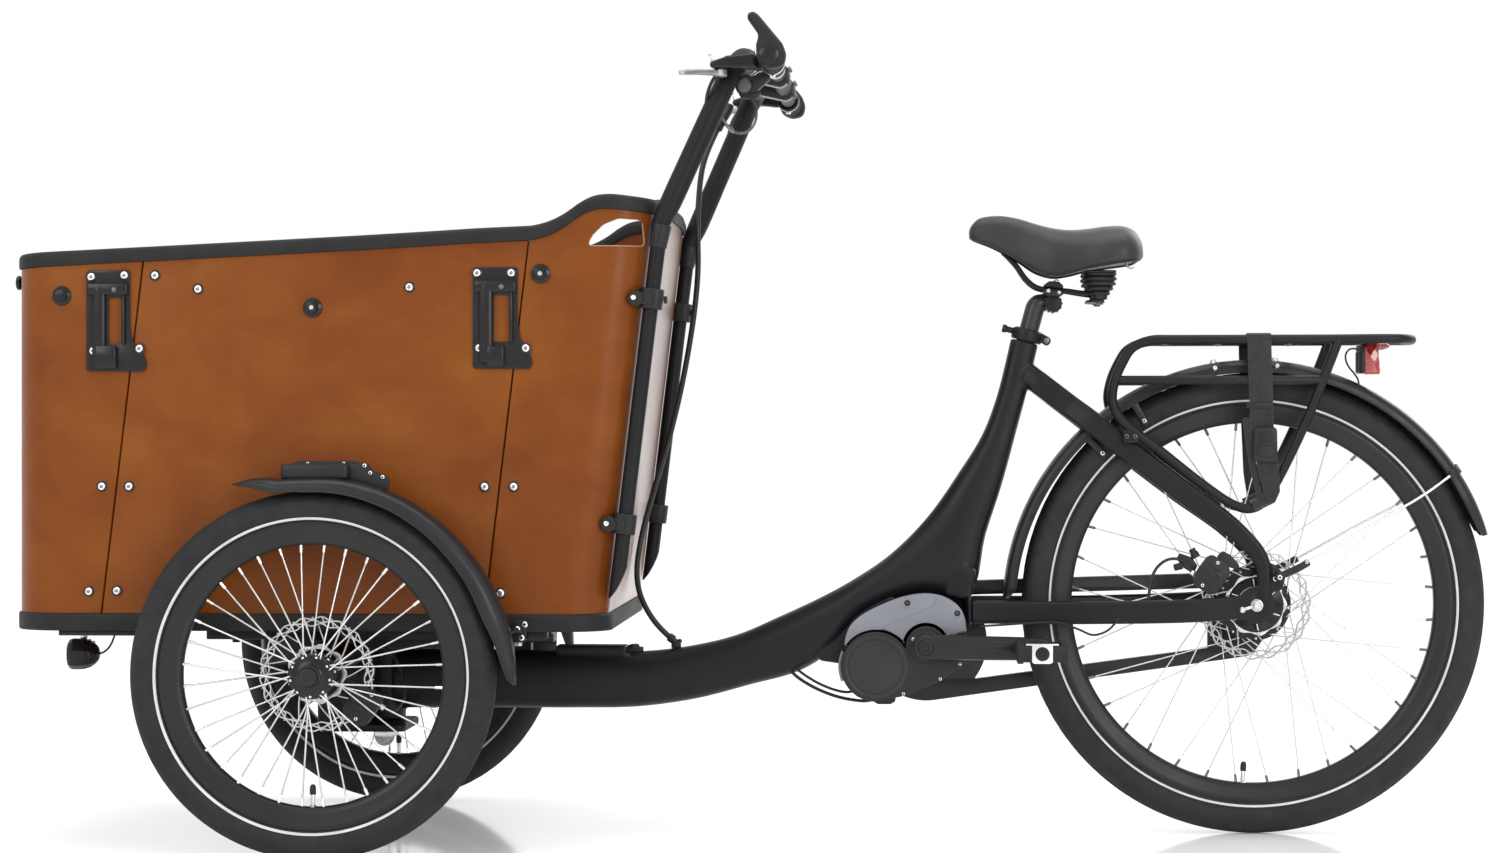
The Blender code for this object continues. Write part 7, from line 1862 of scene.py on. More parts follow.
def motor():
    bore = [(CRANK[0] + x, CRANK[1] + z) for x, z in circle(0.0125, 48)]
    case = Solid()
    case.add(plated(outline([(-0.5880, 0.2580), (-0.5800, 0.2750), (-0.5600, 0.2960), (-0.5200, 0.3170), (-0.4830, 0.3300), (-0.4560, 0.3320), (-0.4340, 0.3250), (-0.4190, 0.3090), (-0.4120, 0.2930)] + MOTOR_LOW, 0.0020, 3), [bore], -0.0395, 0.0395, 0.0018, 2))
    case.add(plated(outline(MOTOR_TOP + MOTOR_LOW, 0.0020, 3), [bore], -0.0562, -0.0365, 0.0012, 2))
    cap_line = arc(*ROUND, 0.0500, 34, 268, 48) + [(-0.5060, 0.2005), (-0.4530, 0.2225), (-0.4200, 0.2440), (-0.4220, 0.2600)] + arc(*CRANK, 0.0290, 0, 187, 30)
    case.add(plated(outline(cap_line, 0.0010, 2), [bore], -0.0752, -0.0540, 0.0016, 3))
    piece("motor_case", case, moulded("motor_case_plastic", (0.0100, 0.0100, 0.0108), (0.0150, 0.0150, 0.0162), 0.44, 1300, 0.10), "rear_frame", ["motor_housing"], 30)
    cap = Solid()
    cap.add(lathe([(0, -0.0030), (0.0455, -0.0030), (0.0462, -0.0016), (0.0458, 0.0004), (0.0440, 0.0012), (0.0420, 0.0008), (0.0400, -0.0002), (0.0300, 0.0006), (0.0150, 0.0011), (0, 0.0012)], (ROUND[0], -0.0752, ROUND[1]), (0, -1, 0), 96))
    piece("motor_round_cap", cap, moulded("motor_cap_plastic", (0.0165, 0.0165, 0.0180), (0.0235, 0.0235, 0.0255), 0.36, 1500, 0.06), "rear_frame", (), 45)
    seal = Solid()
    seal.add(lathe([(0.0127, 0), (0.0225, 0), (0.0228, 0.0008), (0.0215, 0.0014), (0.0127, 0.0014)], (CRANK[0], -0.0750, CRANK[1]), (0, -1, 0), 56, True))
    seal.add(slab(outline([(-0.5480, 0.2010), (-0.5470, 0.1925), (-0.5400, 0.1885), (-0.5220, 0.1885), (-0.5150, 0.1925), (-0.5140, 0.2010)], 0.0030, 4), -0.0640, -0.0420, "Y", 0.002))
    ribs = []
    for k in range(7):
        x = -0.5700 + 0.0200 * k
        low = 0.2000 if x < -0.50 else 0.2120 + (x + 0.50) * 0.24
        ribs.append(slab(outline([(x - 0.0016, low - 0.0030), (x + 0.0016, low - 0.0030), (x + 0.0016, low + 0.010), (x - 0.0016, low + 0.010)], 0.0006, 2), -0.0335, 0.0335, "Y", 0.0008))
    for part in ribs:
        seal.add(part)
    piece("motor_seal_and_ribs", seal, PLASTIC, "rear_frame", (), 40)

    cover = Solid()
    whole = MOTOR_TOP + [(-0.4400, 0.2860)] + arc(*CRANK, 0.0305, 22, 172, 20) + arc(*ROUND, 0.0515, 43, 158, 24)
    cover.add(slab(outline(whole, 0.0012, 2), -0.0668, -0.0565, "Y", 0.0016))
    face = [(-0.5330, 0.2990), (-0.5100, 0.3090), (-0.4620, 0.3290), (-0.4575, 0.3365), (-0.4545, 0.3440), (-0.4445, 0.3412), (-0.4345, 0.3358), (-0.4262, 0.3286), (-0.4206, 0.3204), (-0.4172, 0.3120), (-0.4150, 0.2950), (-0.4395, 0.2882)] + arc(*CRANK, 0.0325, 24, 170, 18) + arc(*ROUND, 0.0537, 45, 76, 8)
    cover.add(slab(outline(face, 0.0012, 2), -0.0690, -0.0660, "Y", 0.0013))
    cover.add(slab(outline(arc(*ROUND, 0.0540, 154, 204, 14) + arc(*ROUND, 0.0500, 204, 154, 14), 0.0010, 2), -0.0668, -0.0560, "Y", 0.0010))
    piece("motor_cover", cover, SILVER, "rear_frame", ["motor_side_cover"], 35)
    black = Solid()
    for x, z, y in ((-0.4978, 0.3345, -0.0667), (-0.4262, 0.3200, -0.0689), (-0.5850, 0.2700, -0.0667)):
        black.add(screw((x, y, z), (0, -1, 0), 0.0042, 0.0026))
    piece("motor_cover_screws", black, PLASTIC, "rear_frame", (), 35)
    mount = [(-0.633, 0.258), (-0.623, 0.248), (-0.589, 0.243), (-0.516, 0.330), (-0.516, 0.341), (-0.536, 0.351), (-0.584, 0.331), (-0.609, 0.297)]
    piece("motor_mount", Solid().add(slab(outline(mount, 0.0060, 5), -0.0270, 0.0270, "Y", 0.0035)), FRAME, "rear_frame", (), 30)
    bright = Solid()
    for x, z in ((-0.4895, 0.2832), (-0.4225, 0.2480), (-0.4507, 0.2265), (-0.5033, 0.2048)):
        bright.add(screw((x, -0.0751, z), (0, -1, 0), 0.0026, 0.0016, True, 20))
    piece("motor_case_screws", bright, STEEL, "rear_frame", (), 35)


motor()
cord("motor_cable_a", [(-0.6680, -0.0160, 0.2330), (-0.6540, -0.0180, 0.2215), (-0.6330, -0.0185, 0.2090), (-0.6050, -0.0180, 0.1975), (-0.5800, -0.0160, 0.1915), (-0.5560, -0.0120, 0.1895), (-0.5400, -0.0100, 0.1945), (-0.5330, -0.0100, 0.2010)], 0.0024, "rear_frame", 6)
cord("motor_cable_b", [(-0.6580, -0.0250, 0.2360), (-0.6440, -0.0265, 0.2260), (-0.6250, -0.0270, 0.2150), (-0.6020, -0.0265, 0.2060), (-0.5850, -0.0255, 0.2030), (-0.5720, -0.0240, 0.2060), (-0.5640, -0.0230, 0.2130)], 0.0020, "rear_frame", 6)


# ------------------------------------------------------------------ cranks and pedals
def hull_of(a, ra, b, rb, seg=14):
    """Outline round two circles."""
    a, b = Vector(a), Vector(b)
    d = (b - a).normalized()
    turn = math.atan2(d.y, d.x)
    lean = math.asin((ra - rb) / (b - a).length)
    pts = []
    for k in range(seg + 1):
        t = turn + math.pi / 2 - lean + (math.pi + 2 * lean) * k / seg
        pts.append((a.x + ra * math.cos(t), a.y + ra * math.sin(t)))
    for k in range(seg + 1):
        t = turn - math.pi / 2 + lean + (math.pi - 2 * lean) * k / seg
        pts.append((b.x + rb * math.cos(t), b.y + rb * math.sin(t)))
    return pts


def cranks():
    for s, end in ((-1, PEDAL_L), (1, PEDAL_R)):
        side = "left" if s < 0 else "right"
        made = Solid()
        lo, hi = sorted((s * 0.0842, s * 0.0984))
        made.add(slab(hull_of(CRANK, 0.0180, end, 0.0163, 20), lo, hi, "Y", 0.0042))
        d = (Vector(end) - Vector(CRANK)).normalized()
        rib = [Vector(CRANK) + d * 0.026, Vector(end) - d * 0.024]
        rib_l, rib_h = sorted((s * 0.0975, s * 0.0992))
        made.add(slab(hull_of(rib[0], 0.0085, rib[1], 0.0062, 12), rib_l, rib_h, "Y", 0.0012))
        if s < 0:
            made.add(rod((CRANK[0], -0.0950, CRANK[1]), (CRANK[0], 0.0950, CRANK[1]), 0.0115, 40, 0.0008))
            made.add(rod((CRANK[0], -0.0855, CRANK[1]), (CRANK[0], -0.0768, CRANK[1]), 0.0165, 40, 0.0010))
        made.add(lathe([(0, -0.0020), (0.0172, -0.0020), (0.0174, 0.0004), (0.0160, 0.0014), (0.0122, 0.0014), (0.0118, 0.0004), (0, 0.0004)], (CRANK[0], s * 0.0984, CRANK[1]), (0, s, 0), 48))
        piece(side + "_crank_arm", made, paint(side + "_crank_coat", (0.0085, 0.0085, 0.0095), (0.0125, 0.0125, 0.0138), 0.40, coat=0.08), "cranks", [side + "_crank"], 35)
        cap = Solid()
        cap.add(lathe([(0, -0.001), (0.0112, -0.001), (0.0112, 0.0010), (0.0100, 0.0020), (0.0060, 0.0020), (0.0056, 0.0006), (0, 0.0006)], (CRANK[0], s * 0.0988, CRANK[1]), (0, s, 0), 36))
        cap.add(rod((end[0], s * 0.0800, end[1]), (end[0], s * 0.0856, end[1]), 0.0060, 24, 0.0008))
        piece(side + "_crank_bolt", cap, PLASTIC, "cranks", (), 35)


cranks()


def pedal(s, centre, side):
    px, pz = centre
    body = side + "_pedal"

    def y(v):
        return s * v

    cage = Solid()
    for x0, x1 in ((-0.0358, -0.0250), (0.0250, 0.0358)):
        cage.add(box(px + x0, px + x1, *sorted((y(0.1085), y(0.2000))), pz - 0.0128, pz + 0.0128, 0.0035, 0.0025, 4))
        out = -1 if x0 < 0 else 1
        for k in range(11):
            v = 0.1160 + 0.0076 * k
            for up in (-1, 1):
                cage.add(box(px + x0 + 0.0012, px + x1 - 0.0012, *sorted((y(v), y(v + 0.0036))), *sorted((pz + up * 0.0118, pz + up * 0.0142)), 0.0008, 0.0006, 2))
    for v0, v1 in ((0.1085, 0.1180), (0.1905, 0.2000)):
        cage.add(box(px - 0.0300, px + 0.0300, *sorted((y(v0), y(v1))), pz - 0.0120, pz + 0.0120, 0.003, 0.0025, 4))
    cage.add(lathe([(0, 0.1090), (0.0118, 0.1090), (0.0118, 0.1200), (0.0098, 0.1240), (0.0092, 0.1560), (0.0098, 0.1880), (0.0110, 0.1910), (0.0110, 0.1990), (0, 0.1990)], (px, 0, pz), (0, s, 0), 36))
    for k in range(4):
        v = 0.1330 + 0.0140 * k
        cage.add(box(px - 0.0095, px + 0.0095, *sorted((y(v), y(v + 0.0040))), pz - 0.0122, pz + 0.0122, 0.0012, 0.0008, 2))
    piece(body + "_cage", cage, GRIP, body, [body], 35)
    bright = Solid()
    bright.add(slab(outline([(px - 0.0145, pz - 0.0136), (px + 0.0145, pz - 0.0136), (px + 0.0145, pz + 0.0136), (px - 0.0145, pz + 0.0136)], 0.0040, 5), *sorted((y(0.1998), y(0.2014))), "Y", 0.0005))
    bright.add(box(px - 0.0230, px + 0.0230, *sorted((y(0.1930), y(0.2004))), pz + 0.0118, pz + 0.0142, 0.0012, 0.0006))
    bright.add(rod((px, y(0.0992), pz), (px, y(0.1100), pz), 0.0068, 28, 0.0006))
    bright.add(turned_to(slab([(0.0088 * math.cos(TAU * k / 6), 0.0088 * math.sin(TAU * k / 6)) for k in range(6)], 0.0, 0.0048, "Z", 0.0006), (px, y(0.0995), pz), (0, s, 0)))
    piece(body + "_end_plate", bright, metal(body + "_plate", (0.62, 0.62, 0.62), (0.78, 0.78, 0.77), 0.30), body, (), 35)
    cap = Solid()
    cap.add(lathe([(0, -0.001), (0.0100, -0.001), (0.0100, 0.0012), (0.0090, 0.0024), (0.0045, 0.0028), (0.0040, 0.0018), (0, 0.0018)], (px, y(0.2010), pz), (0, s, 0), 36))
    piece(body + "_axle_cap", cap, GLOSSY, body, (), 40)


pedal(-1, PEDAL_L, "left")
pedal(1, PEDAL_R, "right")


# ------------------------------------------------------------------ chain drive
def toothed(count, pitch_r, tip=0.0030, root=0.0036, per=8):
    pts = []
    for k in range(count * per):
        t = TAU * k / (count * per)
        wave = math.cos(count * t)
        r = pitch_r + (tip if wave > 0 else root) * wave * (0.9 if wave > 0 else 1.0)
        pts.append((r * math.cos(t), r * math.sin(t)))
    return pts


def chainring():
    holes = [circle(0.0118, 36)]
    for k in range(5):
        mid = 360 * k / 5
        pts = arc(0, 0, 0.0600, mid - 27, mid + 27, 8) + arc(0, 0, 0.0270, mid + 17, mid - 17, 5)
        holes.append(outline(pts, 0.0030, 3))
    for k in range(5):
        t = math.radians(360 * (k + 0.5) / 5)
        holes.append([(0.0650 * math.cos(t) + x, 0.0650 * math.sin(t) + z) for x, z in circle(0.0016, 12)])
    made = Solid().add(turned_to(plate(toothed(38, CHAINRING_R), holes, 0.0034, 0.0003), (CRANK[0], CHAIN_Y, CRANK[1]), (0, 1, 0)))
    made.add(lathe([(0.0117, -0.0040), (0.0200, -0.0040), (0.0210, -0.0020), (0.0210, 0.0024), (0.0117, 0.0024)], (CRANK[0], CHAIN_Y, CRANK[1]), (0, 1, 0), 48, True))
    piece("chainring_plate", made, DARK_STEEL, "cranks", ["chainring"], 30)
    made = Solid().add(turned_to(plate(toothed(16, SPROCKET_R, 0.0028, 0.0036), [circle(0.0192, 40)], 0.0030, 0.0003), (0.0, CHAIN_Y, REAR_R), (0, 1, 0)))
    made.add(lathe([(0.0191, -0.0032), (0.0222, -0.0032), (0.0228, -0.0022), (0.0228, 0.0022), (0.0191, 0.0022)], (0.0, CHAIN_Y, REAR_R), (0, 1, 0), 48, True))
    piece("sprocket_plate", made, STEEL, "rear_sprocket", ["rear_sprocket"], 30)


chainring()


def around(off, fine=1):
    """Outline at a distance off the chain's centre line, round both wheels and the guide shoe."""
    points = []
    for (cx, cz), r, steps in ((CRANK, CHAINRING_R, 96 * fine), ((0.0, REAR_R), SPROCKET_R, 60 * fine), (GUIDE, GUIDE_R, 48 * fine)):
        points += arc(cx, cz, r + off, 0, 360 * (steps - 1) / steps, steps - 1)
    points = sorted(points)

    def edge(row):
        out = []
        for p in row:
            while len(out) > 1 and (out[-1][0] - out[-2][0]) * (p[1] - out[-2][1]) - (out[-1][1] - out[-2][1]) * (p[0] - out[-2][0]) <= 1e-9:
                out.pop()
            out.append(p)
        return out[:-1]

    return edge(points) + edge(points[::-1])


def chain():
    line = [Vector(p) for p in around(0.0, 3)]
    line.append(line[0])
    total = sum((b - a).length for a, b in zip(line, line[1:]))
    count = int(round(total / 0.0127 / 2)) * 2
    step = total / count
    spots, walked, k = [], 0.0, 0
    for a, b in zip(line, line[1:]):
        long = (b - a).length
        while k < count and walked + long >= k * step:
            spots.append(a + (b - a) * ((k * step - walked) / long))
            k += 1
        walked += long
    made, pins = Solid(), Solid()
    for k, here in enumerate(spots):
        there = spots[(k + 1) % len(spots)]
        outer = k % 2 == 0
        for s in (-1, 1):
            y0 = CHAIN_Y + s * (0.0024 if outer else 0.0014)
            d = (there - here).normalized()
            q = Vector((-d.y, d.x))
            a, b, m = here, there, (here + there) / 2
            pts = []
            for t in range(7):
                w = math.pi / 2 + math.pi * t / 6
                pts.append(a + (d * math.cos(w) + q * math.sin(w)) * 0.0040)
            pts.append(m - q * 0.0027)
            for t in range(7):
                w = -math.pi / 2 + math.pi * t / 6
                pts.append(b + (d * math.cos(w) + q * math.sin(w)) * 0.0040)
            pts.append(m + q * 0.0027)
            made.add(slab([(p.x, p.y) for p in pts], y0 - 0.0005, y0 + 0.0005, "Y", 0.0))
        pins.add(rod((here.x, CHAIN_Y - 0.0032, here.y), (here.x, CHAIN_Y + 0.0032, here.y), 0.0017, 8))
        pins.add(rod((here.x, CHAIN_Y - 0.0009, here.y), (here.x, CHAIN_Y + 0.0009, here.y), 0.0037, 12))
    piece("chain_plates", made, metal("chain_plate_steel", (0.30, 0.30, 0.31), (0.42, 0.42, 0.42), 0.34), "rear_frame", ["chain"], 30)
    piece("chain_rollers", pins, STEEL, "rear_frame", (), 30)


chain()


def grown(points, d):
    """Outline moved outward by d."""
    return inset(points, -d)


def chain_case():
    cx, cz = CRANK
    case = loose("case_body", Solid().add(slab(around(0.0105), 0.0445, 0.0600, "Y", 0.0030)))
    boolean(case, loose("case_hollow", Solid().add(slab(around(0.0080), 0.0400, 0.0574, "Y", 0.0))), "DIFFERENCE")
    hole = arc(cx, cz, 0.0893, 50, -38, 24) + [(-0.0600, 0.2640), (-0.0600, 0.3515)]
    wall = outline(grown(hole, 0.0026), 0.0030, 3)
    boolean(case, loose("case_wall", Solid().add(slab(wall, 0.0450, 0.0590, "Y", 0.0008))), "UNION")
    boolean(case, loose("case_window", Solid().add(slab(outline(hole, 0.0015, 3), 0.030, 0.080, "Y", 0.0))), "DIFFERENCE")
    boolean(case, loose("case_shoe", Solid().add(rod((GUIDE[0], 0.0482, GUIDE[1]), (GUIDE[0], 0.0585, GUIDE[1]), GUIDE_R - 0.0056, 40))), "UNION")
    for at, r in ((CRANK, 0.0180), ((0.0, REAR_R), 0.0120)):
        boolean(case, loose("case_bore", Solid().add(rod((at[0], 0.053, at[1]), (at[0], 0.085, at[1]), r, 48))), "DIFFERENCE")
    dress(taken(case), "chain_case_shell", GUARD, "rear_frame", ["chain_case"], 30)
    def round_hole(at, r):
        return [(at[0] + x, at[1] + z) for x, z in circle(r, 40)]

    extra = Solid()
    extra.add(plated(around(0.0098), [outline(hole, 0.0015, 3), round_hole(CRANK, 0.0180), round_hole((0.0, REAR_R), 0.0205)], 0.0434, 0.0447, 0.0003))
    for at, r in ((CRANK, 0.0190), ((0.0, REAR_R), 0.0130)):
        extra.add(lathe([(r, 0.0590), (r + 0.0050, 0.0590), (r + 0.0045, 0.0612), (r, 0.0612)], (at[0], 0, at[1]), (0, 1, 0), 56, True))
    ring_ = [(p[0], p[1]) for p in arc(cx, cz, 0.0740, 60, 300, 40)]
    extra.add(sweep([(x, 0.0602, z) for x, z in ring_], round_rect(0.0012, 0.0014, 0.0008, 3), (0, 1, 0), ends=0.0006))
    piece("chain_case_collars", extra, GUARD, "rear_frame", (), 35)
    bright = Solid()
    for x, z in ((-0.5480, 0.2725), (-0.4710, 0.3500), (-0.4300, 0.2080), (-0.2500, 0.3590), (-0.2500, 0.2480), (0.0300, 0.3500), (0.0120, 0.2680)):
        bright.add(screw((x, 0.0598, z), (0, 1, 0), 0.0036, 0.0018, True, 20))
    piece("chain_case_screws", bright, ZINC, "rear_frame", (), 35)


chain_case()


# ------------------------------------------------------------------ brake calipers
def caliper(name, centre, disc_y, angle, s, arm_to, hub_side, body):
    """Two-piece caliper over the edge of its disc, with its mount, pads, bolts and hose union."""
    cx, cz = centre
    a = math.radians(angle)
    d, n = Vector((math.cos(a), math.sin(a))), Vector((-math.sin(a), math.cos(a)))
    c = Vector((cx, cz))

    def at(r, t):
        p = c + d * r + n * t
        return (p.x, p.y)

    outer = outline([at(*v) for v in ((0.0560, -0.017), (0.0545, 0.0), (0.0560, 0.017), (0.0640, 0.0255), (0.0890, 0.0255), (0.0955, 0.018), (0.0962, 0.0), (0.0955, -0.018), (0.0890, -0.0255), (0.0640, -0.0255))], 0.0035, 4)
    bridge = outline([at(*v) for v in ((0.0836, -0.0200), (0.0836, 0.0200), (0.0955, 0.0180), (0.0955, -0.0180))], 0.0020, 3)
    made = Solid()
    for side, reach in ((s, 0.0125), (-s, hub_side)):
        made.add(slab(outer, *sorted((disc_y + side * 0.0030, disc_y + side * reach)), "Y", 0.0022))
    made.add(slab(bridge, disc_y - 0.0050, disc_y + 0.0050, "Y", 0.0))
    for k in (-1, 0, 1):
        p, q = at(0.0700, k * 0.012), at(0.0870, k * 0.012)
        made.add(sweep([(p[0], disc_y - s * (hub_side - 0.0004), p[1]), (q[0], disc_y - s * (hub_side - 0.0004), q[1])], round_rect(0.0016, 0.0012, 0.0008, 2), (0, 1, 0), ends=0.0006))
    mount = [at(0.0850, 0.0240), at(0.0850, -0.0240)]
    end = Vector(arm_to)
    e1, e2 = end - n * 0.0105, end + n * 0.0105
    arm = outline([at(0.0930, 0.0240), at(0.0930, -0.0240), at(0.0720, -0.0250), tuple(e1 + (c - end) * 0.02), tuple(e2), at(0.0720, 0.0250)], 0.0035, 4)
    made.add(slab(arm, *sorted((disc_y + s * 0.0088, disc_y + s * 0.0133)), "Y", 0.0010))
    bright = Solid()
    for t in (-0.0195, 0.0195):
        x, z = at(0.0790, t)
        bright.add(screw((x, disc_y - s * (hub_side - 0.0002), z), (0, -s, 0), 0.0027, 0.0014, True, 20))
        bright.add(screw((x, disc_y + s * 0.0131, z), (0, s, 0), 0.0034, 0.0020, True, 20))
    x, z = at(0.0690, 0.0)
    made.add(lathe([(0, -0.001), (0.0105, -0.001), (0.0105, 0.0010), (0.0090, 0.0018), (0.0040, 0.0018), (0.0036, 0.0008), (0, 0.0008)], (x, disc_y - s * (hub_side - 0.0002), z), (0, -s, 0), 36))
    p, q = at(0.0955, 0.0120), at(0.1020, 0.0120)
    bright.add(rod((p[0], disc_y + s * 0.0060, p[1]), (q[0], disc_y + s * 0.0060, q[1]), 0.0042, 20, 0.0006))
    for side in (-1, 1):
        back = outline([at(0.0600, -0.0130), at(0.0600, 0.0130), at(0.0800, 0.0150), at(0.0800, -0.0150)], 0.0020, 3)
        bright.add(slab(back, *sorted((disc_y + side * 0.0018, disc_y + side * 0.0034)), "Y", 0.0002))
    piece(name + "_body", made, PLASTIC, body, [name], 35)
    piece(name + "_fittings", bright, ZINC, body, (), 35)
    return Vector((q[0], disc_y + s * 0.0060, q[1]))


hose_start = caliper("rear_caliper", (0, REAR_R), -0.0540, 146, 1, (-0.046, 0.3630), 0.0125, "rear_frame")
cord("rear_brake_hose", [tuple(hose_start + Vector((0.001, 0, -0.001))), (-0.1060, -0.0490, 0.3960), (-0.1240, -0.0520, 0.3970), (-0.1400, -0.0555, 0.3860), (-0.1490, -0.0590, 0.3680), (-0.1520, -0.0620, 0.3500), (-0.1530, -0.0630, 0.3410)], 0.0022, "rear_frame")
bracket = Solid()
bracket.add(slab(outline([(-0.1120, 0.3980), (-0.1080, 0.4060), (-0.0900, 0.4000), (-0.0820, 0.3880), (-0.0880, 0.3760), (-0.1040, 0.3860)], 0.0025, 4), -0.0500, -0.0440, "Y", 0.0012))
bracket.add(lathe([(0, 0), (0.0062, 0), (0.0062, 0.0070), (0.0048, 0.0084), (0.0048, 0.0140), (0, 0.0140)], (-0.0840, -0.0520, 0.4000), (-0.5, 0, 0.87), 20))
bracket.add(lathe([(0, 0), (0.0050, 0), (0.0050, 0.0110), (0.0036, 0.0124), (0, 0.0124)], (-0.1040, -0.0490, 0.3880), (-1, 0, -0.25), 20))
bracket.add(slab(outline([(-0.0560, 0.4020), (-0.0480, 0.4100), (-0.0360, 0.4040), (-0.0240, 0.3900), (-0.0260, 0.3820), (-0.0480, 0.3900)], 0.0030, 4), -0.0660, -0.0600, "Y", 0.0012))
piece("rear_caliper_bracket", bracket, PLASTIC, "rear_frame", (), 35)
for side_name, sgn in (("left", -1), ("right", 1)):
    start = caliper(side_name + "_front_caliper", (FX, FRONT_R), sgn * 0.3480, -34, -sgn, (FX + 0.030, 0.2360), 0.0092, "front_carrier")
    cord(side_name + "_caliper_hose", [(start.x - 0.001, start.y, start.z + 0.001), (start.x + 0.010, start.y - sgn * 0.006, start.z - 0.004), (start.x + 0.022, start.y - sgn * 0.030, start.z + 0.010), (start.x + 0.016, start.y - sgn * 0.062, start.z + 0.044), (start.x - 0.016, start.y - sgn * 0.088, start.z + 0.078), (FX + 0.028, start.y - sgn * 0.102, 0.2560), (FX + 0.016, start.y - sgn * 0.108, 0.2630)], 0.0022, "front_carrier")

cord("stay_cable", [(-0.3930, -0.0430, 0.3000), (-0.3600, -0.0500, 0.3025), (-0.3200, -0.0545, 0.3055), (-0.2800, -0.0585, 0.3060), (-0.2530, -0.0610, 0.2970), (-0.2320, -0.0620, 0.2890), (-0.2120, -0.0625, 0.2950), (-0.1990, -0.0625, 0.3080), (-0.1930, -0.0600, 0.3180)], 0.0016, "rear_frame")


# ------------------------------------------------------------------ mudguards
def guard(centre, r, w, t, start, end, y, body, name, replaces, ease_start=0.0, ease_end=0.0, least=0.45, deep=1.0, flare=None):
    """Channel bent round a wheel, with a rolled bead down each skirt; its ends narrow to a tongue."""
    cx, cz = centre
    steps = int(abs(end - start) / 1.5) + 1
    half = [(-0.0200, 1.0), (-0.0130, 0.985), (-0.0075, 0.93), (-0.0035, 0.78), (-0.0010, 0.55), (0.0, 0.28), (0.0002, 0.0)]

    def skirt(f, deep):
        outer = [(q * deep * (0.12 + 0.88 * f), u * w * f) for q, u in half]
        outer = outer + [(q, -u) for q, u in reversed(outer[:-1])]
        inner = []
        for q, u in outer:
            inner.append((q - t * (1 - min(1.0, abs(u) / (w * f)) ** 3) if abs(q) < 0.019 * deep else q, u - math.copysign(t * min(1.0, (abs(u) / (w * f)) ** 2), u) if u else 0.0))
        return outer + list(reversed(inner))

    rings, edges = [], ([], [])
    for k in range(steps + 1):
        a = start + (end - start) * k / steps
        f = 1.0
        for edge, ease in ((start, ease_start), (end, ease_end)):
            if ease:
                f = min(f, least + (1 - least) * math.sqrt(min(1.0, abs(a - edge) / ease)) if abs(a - edge) < ease else 1.0)
        turn = math.radians(a)
        ring = skirt(f, deep(a) if callable(deep) else deep)
        out = r + (flare(a) if flare else 0.0)
        rings.append([Vector((cx + (out + q) * math.cos(turn), y + u, cz + (out + q) * math.sin(turn))) for q, u in ring])
        edges[0].append(rings[-1][0])
        edges[1].append(rings[-1][12])
    made = Solid().add(skin(rings))
    for line in edges:
        made.add(sweep(line[1:-1], circle(0.00155, 10), (0, 1, 0), ends=0.001))
    return piece(name, made, GUARD, body, replaces, 45)


def on_guard(r, angle, y):
    return (r * math.cos(math.radians(angle)), y, REAR_R + r * math.sin(math.radians(angle)))


guard((0, REAR_R), 0.3515, 0.0300, 0.0020, 179, 16.5, 0.0, "rear_frame", "rear_mudguard_shell", ["rear_mudguard"], 2.5, 9.0, 0.45, 0.85, lambda a: 0.0085 * max(0.0, (a - 118.0) / 61.0) ** 1.5)
tabs, heads = Solid(), Solid()
for angle in (120.8, 135.0):
    for s in (-1, 1):
        a = math.radians(angle)
        d, n = Vector((math.cos(a), math.sin(a))), Vector((-math.sin(a), math.cos(a)))
        c = Vector((0, REAR_R))
        pts = [c + d * q + n * v for q, v in ((0.3005, -0.0042), (0.2995, 0.0), (0.3005, 0.0042), (0.3360, 0.0050), (0.3360, -0.0050))]
        tabs.add(slab(outline([(p.x, p.y) for p in pts], 0.003, 4), *sorted((s * 0.0296, s * 0.0312)), "Y", 0.0004))
        heads.add(screw((c.x + d.x * 0.3065, s * 0.0310, c.y + d.y * 0.3065), (0, s, 0), 0.0036, 0.0022, True, 20))
for x, z in ((-0.0555, 0.6800), (0.0330, 0.6830)):
    heads.add(bolt((x, 0.0, REAR_R + math.sqrt(0.3512 ** 2 - x * x) + 0.0004), (x, 0, 0.346), 0.0042, 0.0044))
    heads.add(screw((x, -0.0300, z - 0.0085), (0, -1, 0), 0.0036, 0.0020, True, 20))
piece("rear_mudguard_tabs", tabs, GUARD, "rear_frame", (), 35)
piece("rear_mudguard_bolts", heads, ZINC, "rear_frame", (), 35)


